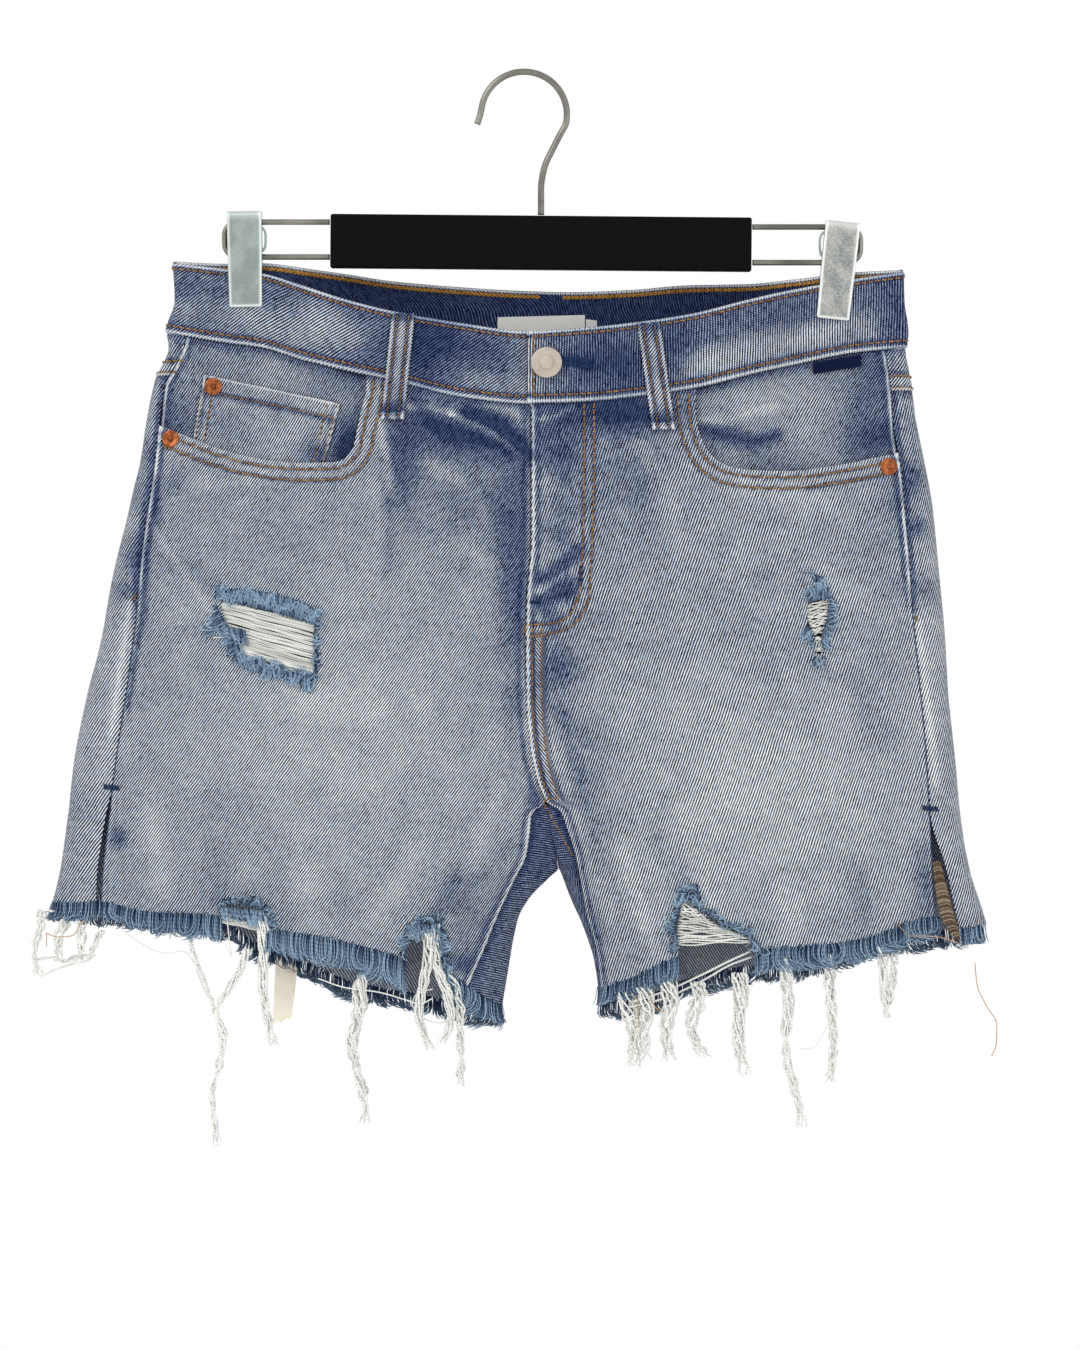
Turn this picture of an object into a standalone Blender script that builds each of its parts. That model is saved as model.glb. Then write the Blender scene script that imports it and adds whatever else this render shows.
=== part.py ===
"""Denim shorts with a raw, fringed hem, hanging from a two-clip hanger.

Metres, +Z up. The front faces -Y. The origin is the inside of the hook's top, where it bears on its rail.
Left and right are the wearer's: the wearer's right is at -X. Sizes below are millimetres, until put() makes
metres.
"""

import math

import bmesh
import bpy
import numpy as np
from mathutils import Vector

MM = 0.001

# ---- driving sizes, in millimetres ----
CLOTH = 1.5  # one layer of denim
SEAM = 0.4  # space between neighbouring pieces
BAND_OUT = 0.9  # the doubled waistband stands this far proud of the panels
BAND_IN = 1.5  # and reaches this far inside them
BAND_HEIGHT = 40.0
LAP = BAND_OUT + BAND_IN + SEAM  # the buttoned end of the band lies this far over the other
FLY_LAP = CLOTH + 0.8
FACING_DEPTH = 3.9  # how deep the pocket facing lies behind the edge of the front
CROTCH_Z = -437.3
CROSS_Z = -400.4  # where the four seams cross, on the front face
YOKE_SIDE = 21.0  # depth of the yoke under the band at the side
YOKE_CENTRE = 62.0
CLIP_DEPTH = 3.4  # half the pinched cloth under a clip
PINCH_REACH = 36.0

# ---- tables: a row for each level, columns as named ----
# level; outermost x of the wearer's right; outermost x of the left
OUTLINE = [
    (-98.0, -193.0, 208.0),
    (-123.8, -191.4, 208.5),
    (-141.9, -196.4, 210.7),
    (-150.0, -195.6, 209.8),
    (-167.8, -203.0, 212.9),
    (-189.8, -207.4, 215.6),
    (-211.8, -210.9, 220.0),
    (-233.8, -216.2, 224.4),
    (-277.8, -226.6, 228.8),
    (-310.8, -232.7, 231.6),
    (-343.8, -240.6, 233.8),
    (-376.8, -247.5, 237.1),
    (-409.8, -251.4, 240.4),
    (-437.3, -255.2, 245.3),
    (-470.3, -263.0, 255.2),
    (-524.0, -268.0, 262.0),
]
# level; depth of the front; depth of the back; radius of the fold at the side
SWELL = [
    (-98.0, 15.0, 16.0, 4.5),
    (-145.0, 15.0, 18.0, 4.8),
    (-185.0, 18.0, 24.0, 6.0),
    (-240.0, 23.0, 31.0, 8.0),
    (-300.0, 26.0, 35.0, 9.0),
    (-380.0, 26.0, 34.0, 9.0),
    (-437.3, 23.0, 28.0, 8.0),
    (-524.0, 19.0, 22.0, 7.0),
]
# level; x of the front's centre seam; x of the back's
CENTRE = [
    (-98.0, 1.7, 15.4),
    (-180.0, 1.7, 15.0),
    (-184.0, 4.1, 15.0),
    (-256.3, 4.1, 13.0),
    (-288.8, 1.7, 11.5),
    (-316.3, 1.1, 10.5),
    (-343.8, 1.4, 10.0),
    (-368.5, 3.3, 10.5),
    (-387.8, 7.2, 12.5),
    (-400.4, 12.1, 14.5),
    (-420.8, 16.0, 17.0),
    (-437.3, 19.2, 19.2),
]
# level; inner edge of the right leg; of the left leg
INNER_LEG = [
    (-437.3, 18.8, 19.7),
    (-442.8, 13.2, 22.0),
    (-453.8, 2.8, 26.4),
    (-464.8, -3.4, 31.3),
    (-486.8, -7.6, 38.5),
    (-508.8, -11.6, 40.9),
    (-524.0, -13.0, 42.0),
]
# level; x of the side seam on the front face, right and left
SIDE_SEAM = [
    (-98.0, -184.0, 197.0),
    (-145.8, -186.1, 198.0),
    (-161.7, -192.5, 200.3),
    (-172.2, -197.6, 201.5),
    (-192.5, -200.4, 203.0),
    (-217.3, -203.2, 207.0),
    (-264.6, -210.0, 211.2),
    (-297.6, -213.0, 213.7),
    (-334.4, -217.6, 217.3),
    (-369.6, -223.0, 220.6),
    (-401.0, -227.0, 222.5),
    (-450.5, -232.0, 225.0),
    (-475.0, -232.6, 226.4),
]
# level; opening of the vent, right and left
VENT = [
    (-393.8, 0.0, 0.0),
    (-406.5, 1.6, 0.2),
    (-437.3, 2.8, 7.6),
    (-475.0, 1.4, 13.4),
]
# level; how far the inseam lies in from the leg's inner edge or the centre, right and left
INSEAM = [
    (-400.4, 0.0, 0.0),
    (-404.0, 9.0, 6.0),
    (-414.0, 12.0, 8.5),
    (-431.8, 19.0, 11.5),
    (-442.8, 18.4, 10.4),
    (-460.9, 9.2, 5.4),
    (-479.6, 14.6, 1.8),
    (-502.2, 23.4, 1.5),
    (-524.0, 27.0, 1.5),
]
# x; top edge of the band at the front; at the back; lower edge at the front; at the back
BAND = [
    (-197.0, -103.2, -102.3, -141.9, -141.9),
    (-162.8, -107.0, -103.7, -147.7, -143.7),
    (-144.1, -109.2, -105.1, -150.2, -145.1),
    (-122.7, -115.8, -107.8, -156.8, -147.8),
    (-100.7, -123.2, -110.8, -162.5, -150.8),
    (-72.6, -130.4, -115.2, -168.6, -155.2),
    (-34.7, -137.0, -118.5, -177.7, -158.5),
    (1.7, -141.5, -120.5, -181.5, -160.5),
    (25.3, -140.3, -121.0, -181.0, -161.0),
    (58.3, -137.0, -119.6, -177.9, -160.0),
    (91.3, -132.0, -116.8, -173.3, -158.0),
    (124.3, -123.8, -114.2, -165.3, -155.6),
    (149.1, -118.0, -112.2, -159.5, -154.0),
    (182.1, -112.2, -108.4, -152.9, -151.4),
    (211.0, -108.2, -106.9, -150.2, -150.0),
]
# x; cut edge of the front's hem, then of the back's, both legs
HEM_FRONT = [
    (-264.0, -455.0),
    (-231.0, -454.6),
    (-207.4, -459.5),
    (-167.8, -461.5),
    (-139.2, -468.6),
    (-108.9, -473.6),
    (-80.9, -480.4),
    (-60.5, -487.0),
    (-40.7, -494.0),
    (-12.0, -511.0),
    (14.0, -511.5),
    (40.7, -502.2),
    (59.4, -495.6),
    (84.2, -484.6),
    (135.9, -479.6),
    (170.5, -476.9),
    (190.3, -473.0),
    (223.9, -462.8),
    (239.8, -469.0),
    (258.0, -465.8),
]
HEM_BACK = [
    (-264.0, -456.0),
    (-165.0, -467.0),
    (-150.7, -476.3),
    (-123.2, -487.3),
    (-94.6, -499.6),
    (-66.6, -504.8),
    (-40.7, -509.9),
    (-12.1, -514.0),
    (14.0, -514.0),
    (41.8, -509.9),
    (63.8, -507.8),
    (91.3, -497.7),
    (121.6, -491.0),
    (149.1, -489.0),
    (179.3, -481.0),
    (206.8, -474.7),
    (258.0, -466.5),
]
# soft folds: face; start x, z; end x, z; half width; height
FOLDS = [
    ("front", -190.0, -150.0, -150.0, -158.0, 9.0, 1.6),
    ("front", -60.0, -196.0, -8.0, -250.0, 12.0, 1.4),
    ("front", -40.0, -190.0, -2.0, -214.0, 7.0, -1.2),
    ("front", 14.0, -262.0, 24.0, -300.0, 8.0, 1.4),
    ("front", 22.0, -330.0, 52.0, -470.0, 15.0, 2.6),
    ("front", 44.0, -400.0, 66.0, -480.0, 12.0, -1.8),
    ("front", -22.0, -420.0, -66.0, -478.0, 13.0, 2.4),
    ("front", -6.0, -400.0, -40.0, -450.0, 9.0, -1.8),
    ("front", 60.0, -296.0, 180.0, -286.0, 20.0, 1.4),
    ("front", -190.0, -260.0, -120.0, -280.0, 14.0, 1.4),
    ("front", 214.0, -408.0, 222.0, -460.0, 12.0, 1.6),
    ("back", 20.0, -330.0, 110.0, -420.0, 16.0, 2.4),
    ("back", 10.0, -330.0, -90.0, -420.0, 16.0, 2.4),
    ("back", 30.0, -400.0, 60.0, -490.0, 14.0, -2.0),
    ("back", -10.0, -410.0, -60.0, -490.0, 14.0, -2.0),
    ("back", -190.0, -250.0, -110.0, -262.0, 15.0, 1.6),
    ("back", 120.0, -255.0, 205.0, -262.0, 15.0, 1.6),
]
POCKET_RIGHT = [
    (-86.0, -160.0),
    (-86.4, -173.3),
    (-88.6, -183.0),
    (-91.3, -195.0),
    (-93.4, -205.0),
    (-97.4, -210.8),
    (-104.0, -213.4),
    (-123.2, -213.8),
    (-143.0, -211.8),
    (-164.5, -206.8),
    (-184.0, -199.4),
    (-198.0, -193.9),
    (-211.0, -189.2),
]
POCKET_LEFT = [
    (94.6, -164.0),
    (94.0, -180.0),
    (94.8, -192.0),
    (98.6, -203.4),
    (104.6, -211.6),
    (113.3, -216.0),
    (127.0, -218.0),
    (145.0, -218.3),
    (170.0, -215.4),
    (190.3, -211.5),
    (205.2, -208.2),
    (226.0, -203.4),
]
RIP_RIGHT = [
    (-167.2, -288.8),
    (-150.7, -292.1),
    (-131.5, -297.0),
    (-114.4, -302.5),
    (-116.1, -331.7),
    (-134.2, -325.6),
    (-153.5, -319.0),
    (-157.9, -310.8),
    (-162.8, -299.8),
]
RIP_LEFT = [
    (155.1, -289.8),
    (167.2, -288.1),
    (166.1, -302.5),
    (162.8, -310.8),
    (163.9, -319.0),
    (160.1, -319.0),
    (158.4, -308.0),
    (154.6, -302.5),
]
NOTCH_LEFT = [
    (84.2, -480.0),
    (82.5, -468.3),
    (85.8, -454.9),
    (89.7, -447.2),
    (95.2, -448.3),
    (96.3, -459.3),
    (106.2, -464.2),
    (121.6, -471.9),
    (129.8, -482.4),
    (129.8, -500.0),
    (84.2, -503.0),
]
NOTCH_RIGHT_OUTER = [
    (-166.7, -480.0),
    (-166.1, -456.5),
    (-156.2, -454.9),
    (-142.5, -457.6),
    (-139.7, -467.5),
    (-139.7, -485.0),
]
NOTCH_RIGHT_INNER = [
    (-66.6, -508.0),
    (-66.0, -483.0),
    (-61.0, -471.0),
    (-57.2, -464.8),
    (-47.3, -464.8),
    (-45.7, -481.3),
    (-40.6, -493.0),
    (-40.6, -512.0),
]

# ---- the hanger, in millimetres ----
BAR_LENGTH, BAR_HEIGHT, BAR_DEPTH = 231.5, 29.6, 12.0
BAR_CENTRE = (9.35, -92.4)
BAR_TILT = math.radians(0.5)
WIRE = 3.6  # the hook's diameter
HOOK_RADIUS = 23.6
ROD = 3.2
CLIP_WIDTH, CLIP_PLATE = 19.0, 1.0
# clip: side; x at the top; top z; x at the foot; foot z
CLIPS = {
    "right": (-153.8, -74.8, -152.9, -127.9),
    "left": (175.5, -80.5, 169.7, -134.5),
}
# rod: side; x at the bar; x of the far bend; upper z; lower z
RODS = {
    "right": (-106.8, -164.6, -80.9, -100.1),
    "left": (125.6, 185.0, -83.6, -103.2),
}

# ---- colours: base colour, roughness, metallic ----
FINISHES = {
    "denim": ((0.36, 0.43, 0.53), 0.95, 0.0),
    "fringe": ((0.17, 0.27, 0.43), 0.95, 0.0),
    "white_thread": ((0.82, 0.82, 0.78), 0.95, 0.0),
    "label": ((0.70, 0.71, 0.72), 0.8, 0.0),
    "navy_label": ((0.01, 0.02, 0.07), 0.7, 0.0),
    "cream_label": ((0.86, 0.80, 0.68), 0.9, 0.0),
    "nickel": ((0.62, 0.58, 0.53), 0.35, 1.0),
    "copper": ((0.46, 0.16, 0.06), 0.4, 1.0),
    "black": ((0.012, 0.012, 0.014), 0.55, 0.0),
    "steel": ((0.62, 0.60, 0.56), 0.3, 1.0),
    "zinc": ((0.58, 0.62, 0.61), 0.42, 1.0),
}


def curve(table, key=0, value=1):
    """A smooth function through two of a table's columns that never overshoots its rows."""
    rows = sorted((row[key], row[value]) for row in table)
    xs, ys = (np.array(c, float) for c in zip(*rows))
    step, rise = np.diff(xs), np.diff(ys) / np.diff(xs)
    slope = np.zeros_like(xs)
    slope[0], slope[-1] = rise[0], rise[-1]
    same = rise[1:] * rise[:-1] > 0
    mean = np.where(same, 2 * rise[1:] * rise[:-1] / np.where(same, rise[1:] + rise[:-1], 1), 0)
    slope[1:-1] = mean

    def at(x):
        x = np.clip(np.asarray(x, float), xs[0], xs[-1])
        i = np.clip(np.searchsorted(xs, x) - 1, 0, len(xs) - 2)
        h = step[i]
        t = (x - xs[i]) / h
        return (
            ys[i] * (1 + 2 * t) * (1 - t) ** 2
            + ys[i + 1] * t * t * (3 - 2 * t)
            + h * slope[i] * t * (1 - t) ** 2
            - h * slope[i + 1] * t * t * (1 - t)
        )

    return at


def smoothstep(low, high, x):
    t = np.clip((np.asarray(x, float) - low) / (high - low), 0, 1)
    return t * t * (3 - 2 * t)


BAND_TOP_FRONT, BAND_TOP_BACK, BAND_LOW_FRONT, BAND_LOW_BACK = (curve(BAND, 0, i) for i in (1, 2, 3, 4))
FRONT_DEPTH, BACK_DEPTH, FOLD_RADIUS = (curve(SWELL, 0, i) for i in (1, 2, 3))
SIDE_SWELL_REACH, INNER_SWELL_REACH, INNER_RADIUS = 120.0, 52.0, 7.0
CROTCH_RISE = 62.0  # over this height the legs' inner edges part from the front and back


def section(distance, radius, reach, depth):
    """Depth of the cloth at a distance from a folded edge: a round fold, then a slow swell."""
    near = 1 - np.clip(distance / radius, 0, 1)
    far = 1 - np.clip(distance / reach, 0, 1)
    return radius * np.sqrt(1 - near**2) + (depth - radius) * (1 - far**2)


def fold_height(face, x, z):
    """Height of the soft folds at a point of the front or back."""
    total = np.zeros_like(x)
    for where, x0, z0, x1, z1, width, height in FOLDS:
        if where != face:
            continue
        along = np.array((x1 - x0, z1 - z0))
        length = np.hypot(*along)
        t = ((x - x0) * along[0] + (z - z0) * along[1]) / length**2
        across = ((x - x0) * along[1] - (z - z0) * along[0]) / length
        ends = smoothstep(-0.15, 0.25, t) * (1 - smoothstep(0.75, 1.15, t))
        total += height * ends * np.exp(-((across / width) ** 2))
    return total


class Half:
    """One half of the garment's outer surface: f runs from the front's centre or inseam edge (0) to the side
    (1) and on round to the back's centre (2), at each level z."""

    LEVELS = np.arange(-523.0, -97.0, 1.0)
    COUNT = 120
    SHARES = np.linspace(0, 1, COUNT + 1)

    def __init__(self, side):
        self.column = 1 if side == "right" else 2
        self.outer = curve(OUTLINE, 0, self.column)
        self.side_seam = curve(SIDE_SEAM, 0, self.column)
        self.vent = curve(VENT, 0, self.column)
        self.inseam = curve(INSEAM, 0, self.column)
        leg = curve(INNER_LEG, 0, self.column)
        front_centre, back_centre = curve(CENTRE, 0, 1), curve(CENTRE, 0, 2)
        self.sign = -1 if side == "right" else 1
        rows = []
        for z in self.LEVELS:
            below = z < CROTCH_Z
            inner = leg(z) if below else None
            front = self.arc("front", z, inner if below else front_centre(z))
            back = self.arc("back", z, inner if below else back_centre(z))
            rows.append(np.vstack([front, back[::-1][1:]]))
        self.points = np.array(rows)
        self.normals = self.outward()
        face = np.where(np.arange(2 * self.COUNT + 1) <= self.COUNT, 1.0, 0.0)[None, :]
        x, z = self.points[..., 0], self.points[..., 2]
        lift = face * fold_height("front", x, z) + (1 - face) * fold_height("back", x, z)
        self.points = self.points + self.normals * lift[..., None]
        self.normals = self.outward()

    def arc(self, face, z, inner):
        """Points from the inner edge to the outer at one level, evenly spaced."""
        outer = self.outer(z)
        t = (1 - np.cos(np.linspace(0, math.pi, 400))) / 2
        x = inner + (outer - inner) * t
        depth = (FRONT_DEPTH if face == "front" else BACK_DEPTH)(z)
        y = section(np.abs(outer - x), FOLD_RADIUS(z), SIDE_SWELL_REACH, depth)
        open_share = math.sqrt(max(0.0, 1 - (1 - min(max(z - CROTCH_Z, 0) / CROTCH_RISE, 1)) ** 2))
        inside = section(np.abs(x - inner), INNER_RADIUS, INNER_SWELL_REACH, depth) / depth
        y = y * (1 - (1 - open_share) * (1 - inside))
        for top_x, _, foot_x, _ in CLIPS.values():
            pinch = np.exp(-(((x - (top_x + foot_x) / 2) / PINCH_REACH) ** 4)) * smoothstep(-215, -168, z)
            y = np.where(y > CLIP_DEPTH, CLIP_DEPTH + (y - CLIP_DEPTH) * (1 - pinch), y)
        y = y * (-1 if face == "front" else 1)
        length = np.concatenate([[0], np.cumsum(np.hypot(np.diff(x), np.diff(y)))])
        even = length[-1] * self.SHARES
        across, deep = np.interp(even, length, x), np.interp(even, length, y)
        return np.column_stack([across, deep, np.full_like(even, z)])

    def outward(self):
        across = np.gradient(self.points, axis=1)
        up = np.gradient(self.points, axis=0)
        normal = np.cross(across, up) * self.sign
        return normal / np.linalg.norm(normal, axis=2, keepdims=True)

    def at(self, f, z, out=0.0):
        """The point at f and level z, moved out along the surface's normal."""
        row = np.clip((z - self.LEVELS[0]), 0, len(self.LEVELS) - 1.001)
        col = np.clip(f * self.COUNT, 0, 2 * self.COUNT - 0.001)
        i, j = int(row), int(col)
        a, b = row - i, col - j
        w = ((1 - a) * (1 - b), (1 - a) * b, a * (1 - b), a * b)
        corners = ((i, j), (i, j + 1), (i + 1, j), (i + 1, j + 1))
        point = sum(k * self.points[c] for k, c in zip(w, corners))
        normal = sum(k * self.normals[c] for k, c in zip(w, corners))
        return point + normal / np.linalg.norm(normal) * out

    def row(self, z):
        return self.points[int(np.clip(round(z - self.LEVELS[0]), 0, len(self.LEVELS) - 1))]

    def front_f(self, x, z):
        xs = self.row(z)[: self.COUNT + 1, 0] * self.sign
        return float(np.interp(x * self.sign, np.maximum.accumulate(xs), self.SHARES))

    def back_f(self, x, z):
        xs = (self.row(z)[self.COUNT :, 0] * self.sign)[::-1]
        return 2 - float(np.interp(x * self.sign, np.maximum.accumulate(xs), self.SHARES))

    def seam_f(self, z):
        return self.front_f(self.side_seam(z), z)

    def vent_f(self, z):
        """The back panel's edge of the side seam, which leaves the front's in the vent."""
        return self.front_f(self.side_seam(z) + self.sign * self.vent(z), z)

    def inseam_f(self, z):
        inner = self.row(z)[0, 0]
        return self.front_f(inner + self.sign * self.inseam(z), z) if z < CROSS_Z else 0.0

    def step(self, f, z):
        """How much f a millimetre of cloth takes."""
        a, b = self.at(f, z), self.at(f + 0.01, z)
        return 0.01 / max(np.linalg.norm(b - a), 1e-6)


RIGHT, LEFT = Half("right"), Half("left")
HALVES = {"right": RIGHT, "left": LEFT}
FRONT_CENTRE, BACK_CENTRE = curve(CENTRE, 0, 1), curve(CENTRE, 0, 2)


def half_at(x, centre):
    return RIGHT if x < centre else LEFT


def on_front(x, z, out=0.0):
    half = half_at(x, FRONT_CENTRE(z) if z > CROTCH_Z else 19.2)
    return half.at(half.front_f(x, z), z, out)


def on_back(x, z, out=0.0):
    half = half_at(x, BACK_CENTRE(z) if z > CROTCH_Z else 19.2)
    return half.at(half.back_f(x, z), z, out)


# ---- making solids ----
MATERIALS = {}


def finish(name):
    if name not in MATERIALS:
        colour, roughness, metallic = FINISHES[name]
        material = bpy.data.materials.new(name)
        material.use_nodes = True
        shader = material.node_tree.nodes["Principled BSDF"]
        shader.inputs["Base Color"].default_value = (*colour, 1)
        shader.inputs["Roughness"].default_value = roughness
        shader.inputs["Metallic"].default_value = metallic
        material.diffuse_color = (*colour, 1)
        MATERIALS[name] = material
    return MATERIALS[name]


def collection(name):
    made = bpy.data.collections.new(name)
    bpy.context.scene.collection.children.link(made)
    return made


def put(name, mesh, material, where):
    thing = bpy.data.objects.new(name, mesh)
    where.objects.link(thing)
    thing.data.materials.append(finish(material))
    return thing


class Sheet:
    """A sheet of cloth as pairs of points, on its two faces, joined by quads. solid() closes it."""

    def __init__(self):
        self.pairs, self.index, self.quads = [], {}, []

    def corner(self, outer, inner):
        key = tuple(np.round(outer, 3))
        if key not in self.index:
            self.index[key] = len(self.pairs)
            self.pairs.append((outer, inner))
        return self.index[key]

    def grid(self, rows, keep=lambda i, j: True):
        """rows is a list of rows of (outer, inner) points. keep says which cells are cloth."""
        ids = [[self.corner(*pair) for pair in row] for row in rows]
        for i in range(len(ids) - 1):
            for j in range(len(ids[0]) - 1):
                quad = [ids[i][j], ids[i][j + 1], ids[i + 1][j + 1], ids[i + 1][j]]
                if keep(i, j) and len(set(quad)) > 2:
                    self.quads.append([q for k, q in enumerate(quad) if q != quad[k - 1]])
        return self

    def solid(self, name, material, where):
        bm = bmesh.new()
        used = sorted({q for quad in self.quads for q in quad})
        outer = {q: bm.verts.new(Vector(self.pairs[q][0]) * MM) for q in used}
        inner = {q: bm.verts.new(Vector(self.pairs[q][1]) * MM) for q in used}
        sides = {}
        for quad in self.quads:
            bm.faces.new([outer[q] for q in quad])
            bm.faces.new([inner[q] for q in reversed(quad)])
            for a, b in zip(quad, quad[1:] + quad[:1]):
                sides[(a, b)] = sides.get((a, b), 0) + 1
        for a, b in sides:
            if (b, a) not in sides:
                bm.faces.new([outer[b], outer[a], inner[a], inner[b]])
        bmesh.ops.recalc_face_normals(bm, faces=bm.faces)
        bmesh.ops.triangulate(bm, faces=bm.faces)
        mesh = bpy.data.meshes.new(name)
        bm.to_mesh(mesh)
        bm.free()
        mesh.shade_smooth()
        mesh.set_sharp_from_angle(angle=math.radians(40))
        return put(name, mesh, material, where)


def wall(point, rows, columns, top, bottom):
    """Rows of (outer, inner) pairs of a wall between two offsets, from point(row, column, offset)."""
    return [[(point(i, j, top), point(i, j, bottom)) for j in columns] for i in rows]


def spaced(count):
    return np.linspace(0, 1, count)


def lerp(a, b, t):
    return a + (b - a) * t


def cut(thing, outline, where, near=-70.0, far=-0.6):
    """Cuts an outline, given in x and z, through the front wall."""
    bm = bmesh.new()
    face = bm.faces.new([bm.verts.new(Vector((x, near, z)) * MM) for x, z in outline])
    made = bmesh.ops.extrude_face_region(bm, geom=[face])["geom"]
    moved = [v for v in made if isinstance(v, bmesh.types.BMVert)]
    bmesh.ops.translate(bm, verts=moved, vec=Vector((0, far - near, 0)) * MM)
    bmesh.ops.recalc_face_normals(bm, faces=bm.faces)
    mesh = bpy.data.meshes.new("cutter")
    bm.to_mesh(mesh)
    bm.free()
    cutter = bpy.data.objects.new("cutter", mesh)
    where.objects.link(cutter)
    cutter.hide_render = True
    cutter.display_type = "WIRE"
    modifier = thing.modifiers.new("cut", "BOOLEAN")
    modifier.operation = "DIFFERENCE"
    modifier.object = cutter


# ---- cloth panels ----
# levels at a leg's inner edge, from the cross of the seams down to the hem
LEG_LEVELS = [-402.0, -412.0, -422.0, -431.0, CROTCH_Z, -445.0, -459.0, -480.0]
CROTCH_ROW = LEG_LEVELS.index(CROTCH_Z)


def inseam_hem(half):
    """The level of the hem where the inseam meets it."""
    z = -500.0
    for _ in range(4):
        z = float(HEM_FRONT_AT(half.at(half.inseam_f(z), z)[0]))
    return z


HEM_FRONT_AT, HEM_BACK_AT = curve(HEM_FRONT), curve(HEM_BACK)


def leg_rows(half):
    """Levels of the leg's rows at its inner edge, and at the inseam."""
    inner_hem = float(HEM_BACK_AT(half.row(-512.0)[0, 0]))
    edge = np.array([*LEG_LEVELS, inner_hem])
    top = LEG_LEVELS[0]
    seam = top + (edge - top) * (inseam_hem(half) - top) / (inner_hem - top)
    return edge, seam


def parted(half, f, z, out):
    """A point beside a centre seam, moved sideways by half the seam's gap. The legs below need none."""
    shift = half.sign * SEAM / 2 if z > CROTCH_Z else 0.0
    return half.at(f, z, out) + np.array((shift, 0.0, 0.0))


def fly_lift(half, f, z):
    """How far the fly's overlap lifts the wearer's left front."""
    if half is RIGHT:
        return 0.0
    x = half.at(f, z)[0]
    return FLY_LAP * float((1 - smoothstep(31, 47, x)) * smoothstep(-345, -322, z))


def front_panel(side, parts, cutters):
    half = HALVES[side]
    _, seam = leg_rows(half)
    upper = np.linspace(float(BAND_LOW_FRONT(4.1)) - SEAM, -390.0, 11)
    inner = np.concatenate([upper, seam])
    down = (inner - inner[0]) / (inner[-1] - inner[0])
    side_top = float(BAND_LOW_FRONT(half.side_seam(-148.0))) - SEAM
    side_low = float(HEM_FRONT_AT(half.side_seam(-460.0)))

    def point(i, a, out):
        v = down[i]
        z_in, z_out = inner[i], lerp(side_top, side_low, v)
        z = lerp(z_in, z_out, a)
        for _ in range(3):
            f0 = half.inseam_f(z) + (SEAM / 2 * half.step(0.02, z) if z < CROSS_Z else 0.0)
            f1 = half.seam_f(z) - SEAM / 2 * half.step(0.9, z)
            f = lerp(f0, f1, a)
            x = half.at(f, z)[0]
            top, low = float(BAND_LOW_FRONT(x)) - SEAM, float(HEM_FRONT_AT(x))
            z = lerp(z_in, z_out, a) if a == 0 else lerp(top, low, v)
        lifted = out + fly_lift(half, f, z)
        return parted(half, f, z, lifted) if a == 0 and z > CROSS_Z else half.at(f, z, lifted)

    across = [0.0, 0.04, 0.09, 0.15, 0.22, 0.32, 0.43, 0.54, 0.65, 0.75, 0.83, 0.89, 0.94, 0.975, 1.0]
    rows = wall(point, range(len(inner)), across, 0.0, -CLOTH)
    sheet = Sheet().grid(rows)
    panel = sheet.solid(f"front_{side}", "denim", parts)
    pocket = POCKET_RIGHT if side == "right" else POCKET_LEFT
    beyond = half.sign * 30
    (x0, _), (x1, z1) = pocket[0], pocket[-1]
    cut(panel, [*pocket, (x1 + beyond, z1), (x1 + beyond, -120.0), (x0, -120.0)], cutters)
    holes = {"right": (RIP_RIGHT, NOTCH_RIGHT_OUTER, NOTCH_RIGHT_INNER), "left": (RIP_LEFT, NOTCH_LEFT)}
    for outline in holes[side]:
        cut(panel, outline, cutters)
    return rows[-1]


def yoke_level(half, f):
    """The yoke's seam, from the side to the centre back."""
    x = half.at(f, -180.0)[0]
    share = smoothstep(0, 1, (f - 0.9) / 1.1)
    return float(BAND_LOW_BACK(x)) - lerp(YOKE_SIDE, YOKE_CENTRE, float(share))


def around(half, a, z):
    """f at share a of the way from the side seam round to the centre back."""
    return lerp(half.vent_f(z) + SEAM / 2 * half.step(0.9, z), 2.0, a)


def band_low(half, f, z):
    x = half.at(f, z)[0]
    return float(BAND_LOW_FRONT(x) if f < 1 else BAND_LOW_BACK(x))


AROUND = [0.0, 0.03, 0.06, 0.085, 0.11, 0.16, 0.24, 0.35, 0.47, 0.59, 0.71, 0.83, 0.92, 0.97, 1.0]


def yoke(side, parts):
    half = HALVES[side]

    def point(v, a, out):
        z = -160.0
        for _ in range(3):
            f = around(half, a, z)
            z = lerp(band_low(half, f, z) - SEAM, yoke_level(half, f) + SEAM / 2, v)
        return parted(half, f, z, out) if a == 1 else half.at(f, z, out)

    rows = wall(point, spaced(4), AROUND, 0.0, -CLOTH)
    Sheet().grid(rows).solid(f"yoke_{side}", "denim", parts)


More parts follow.
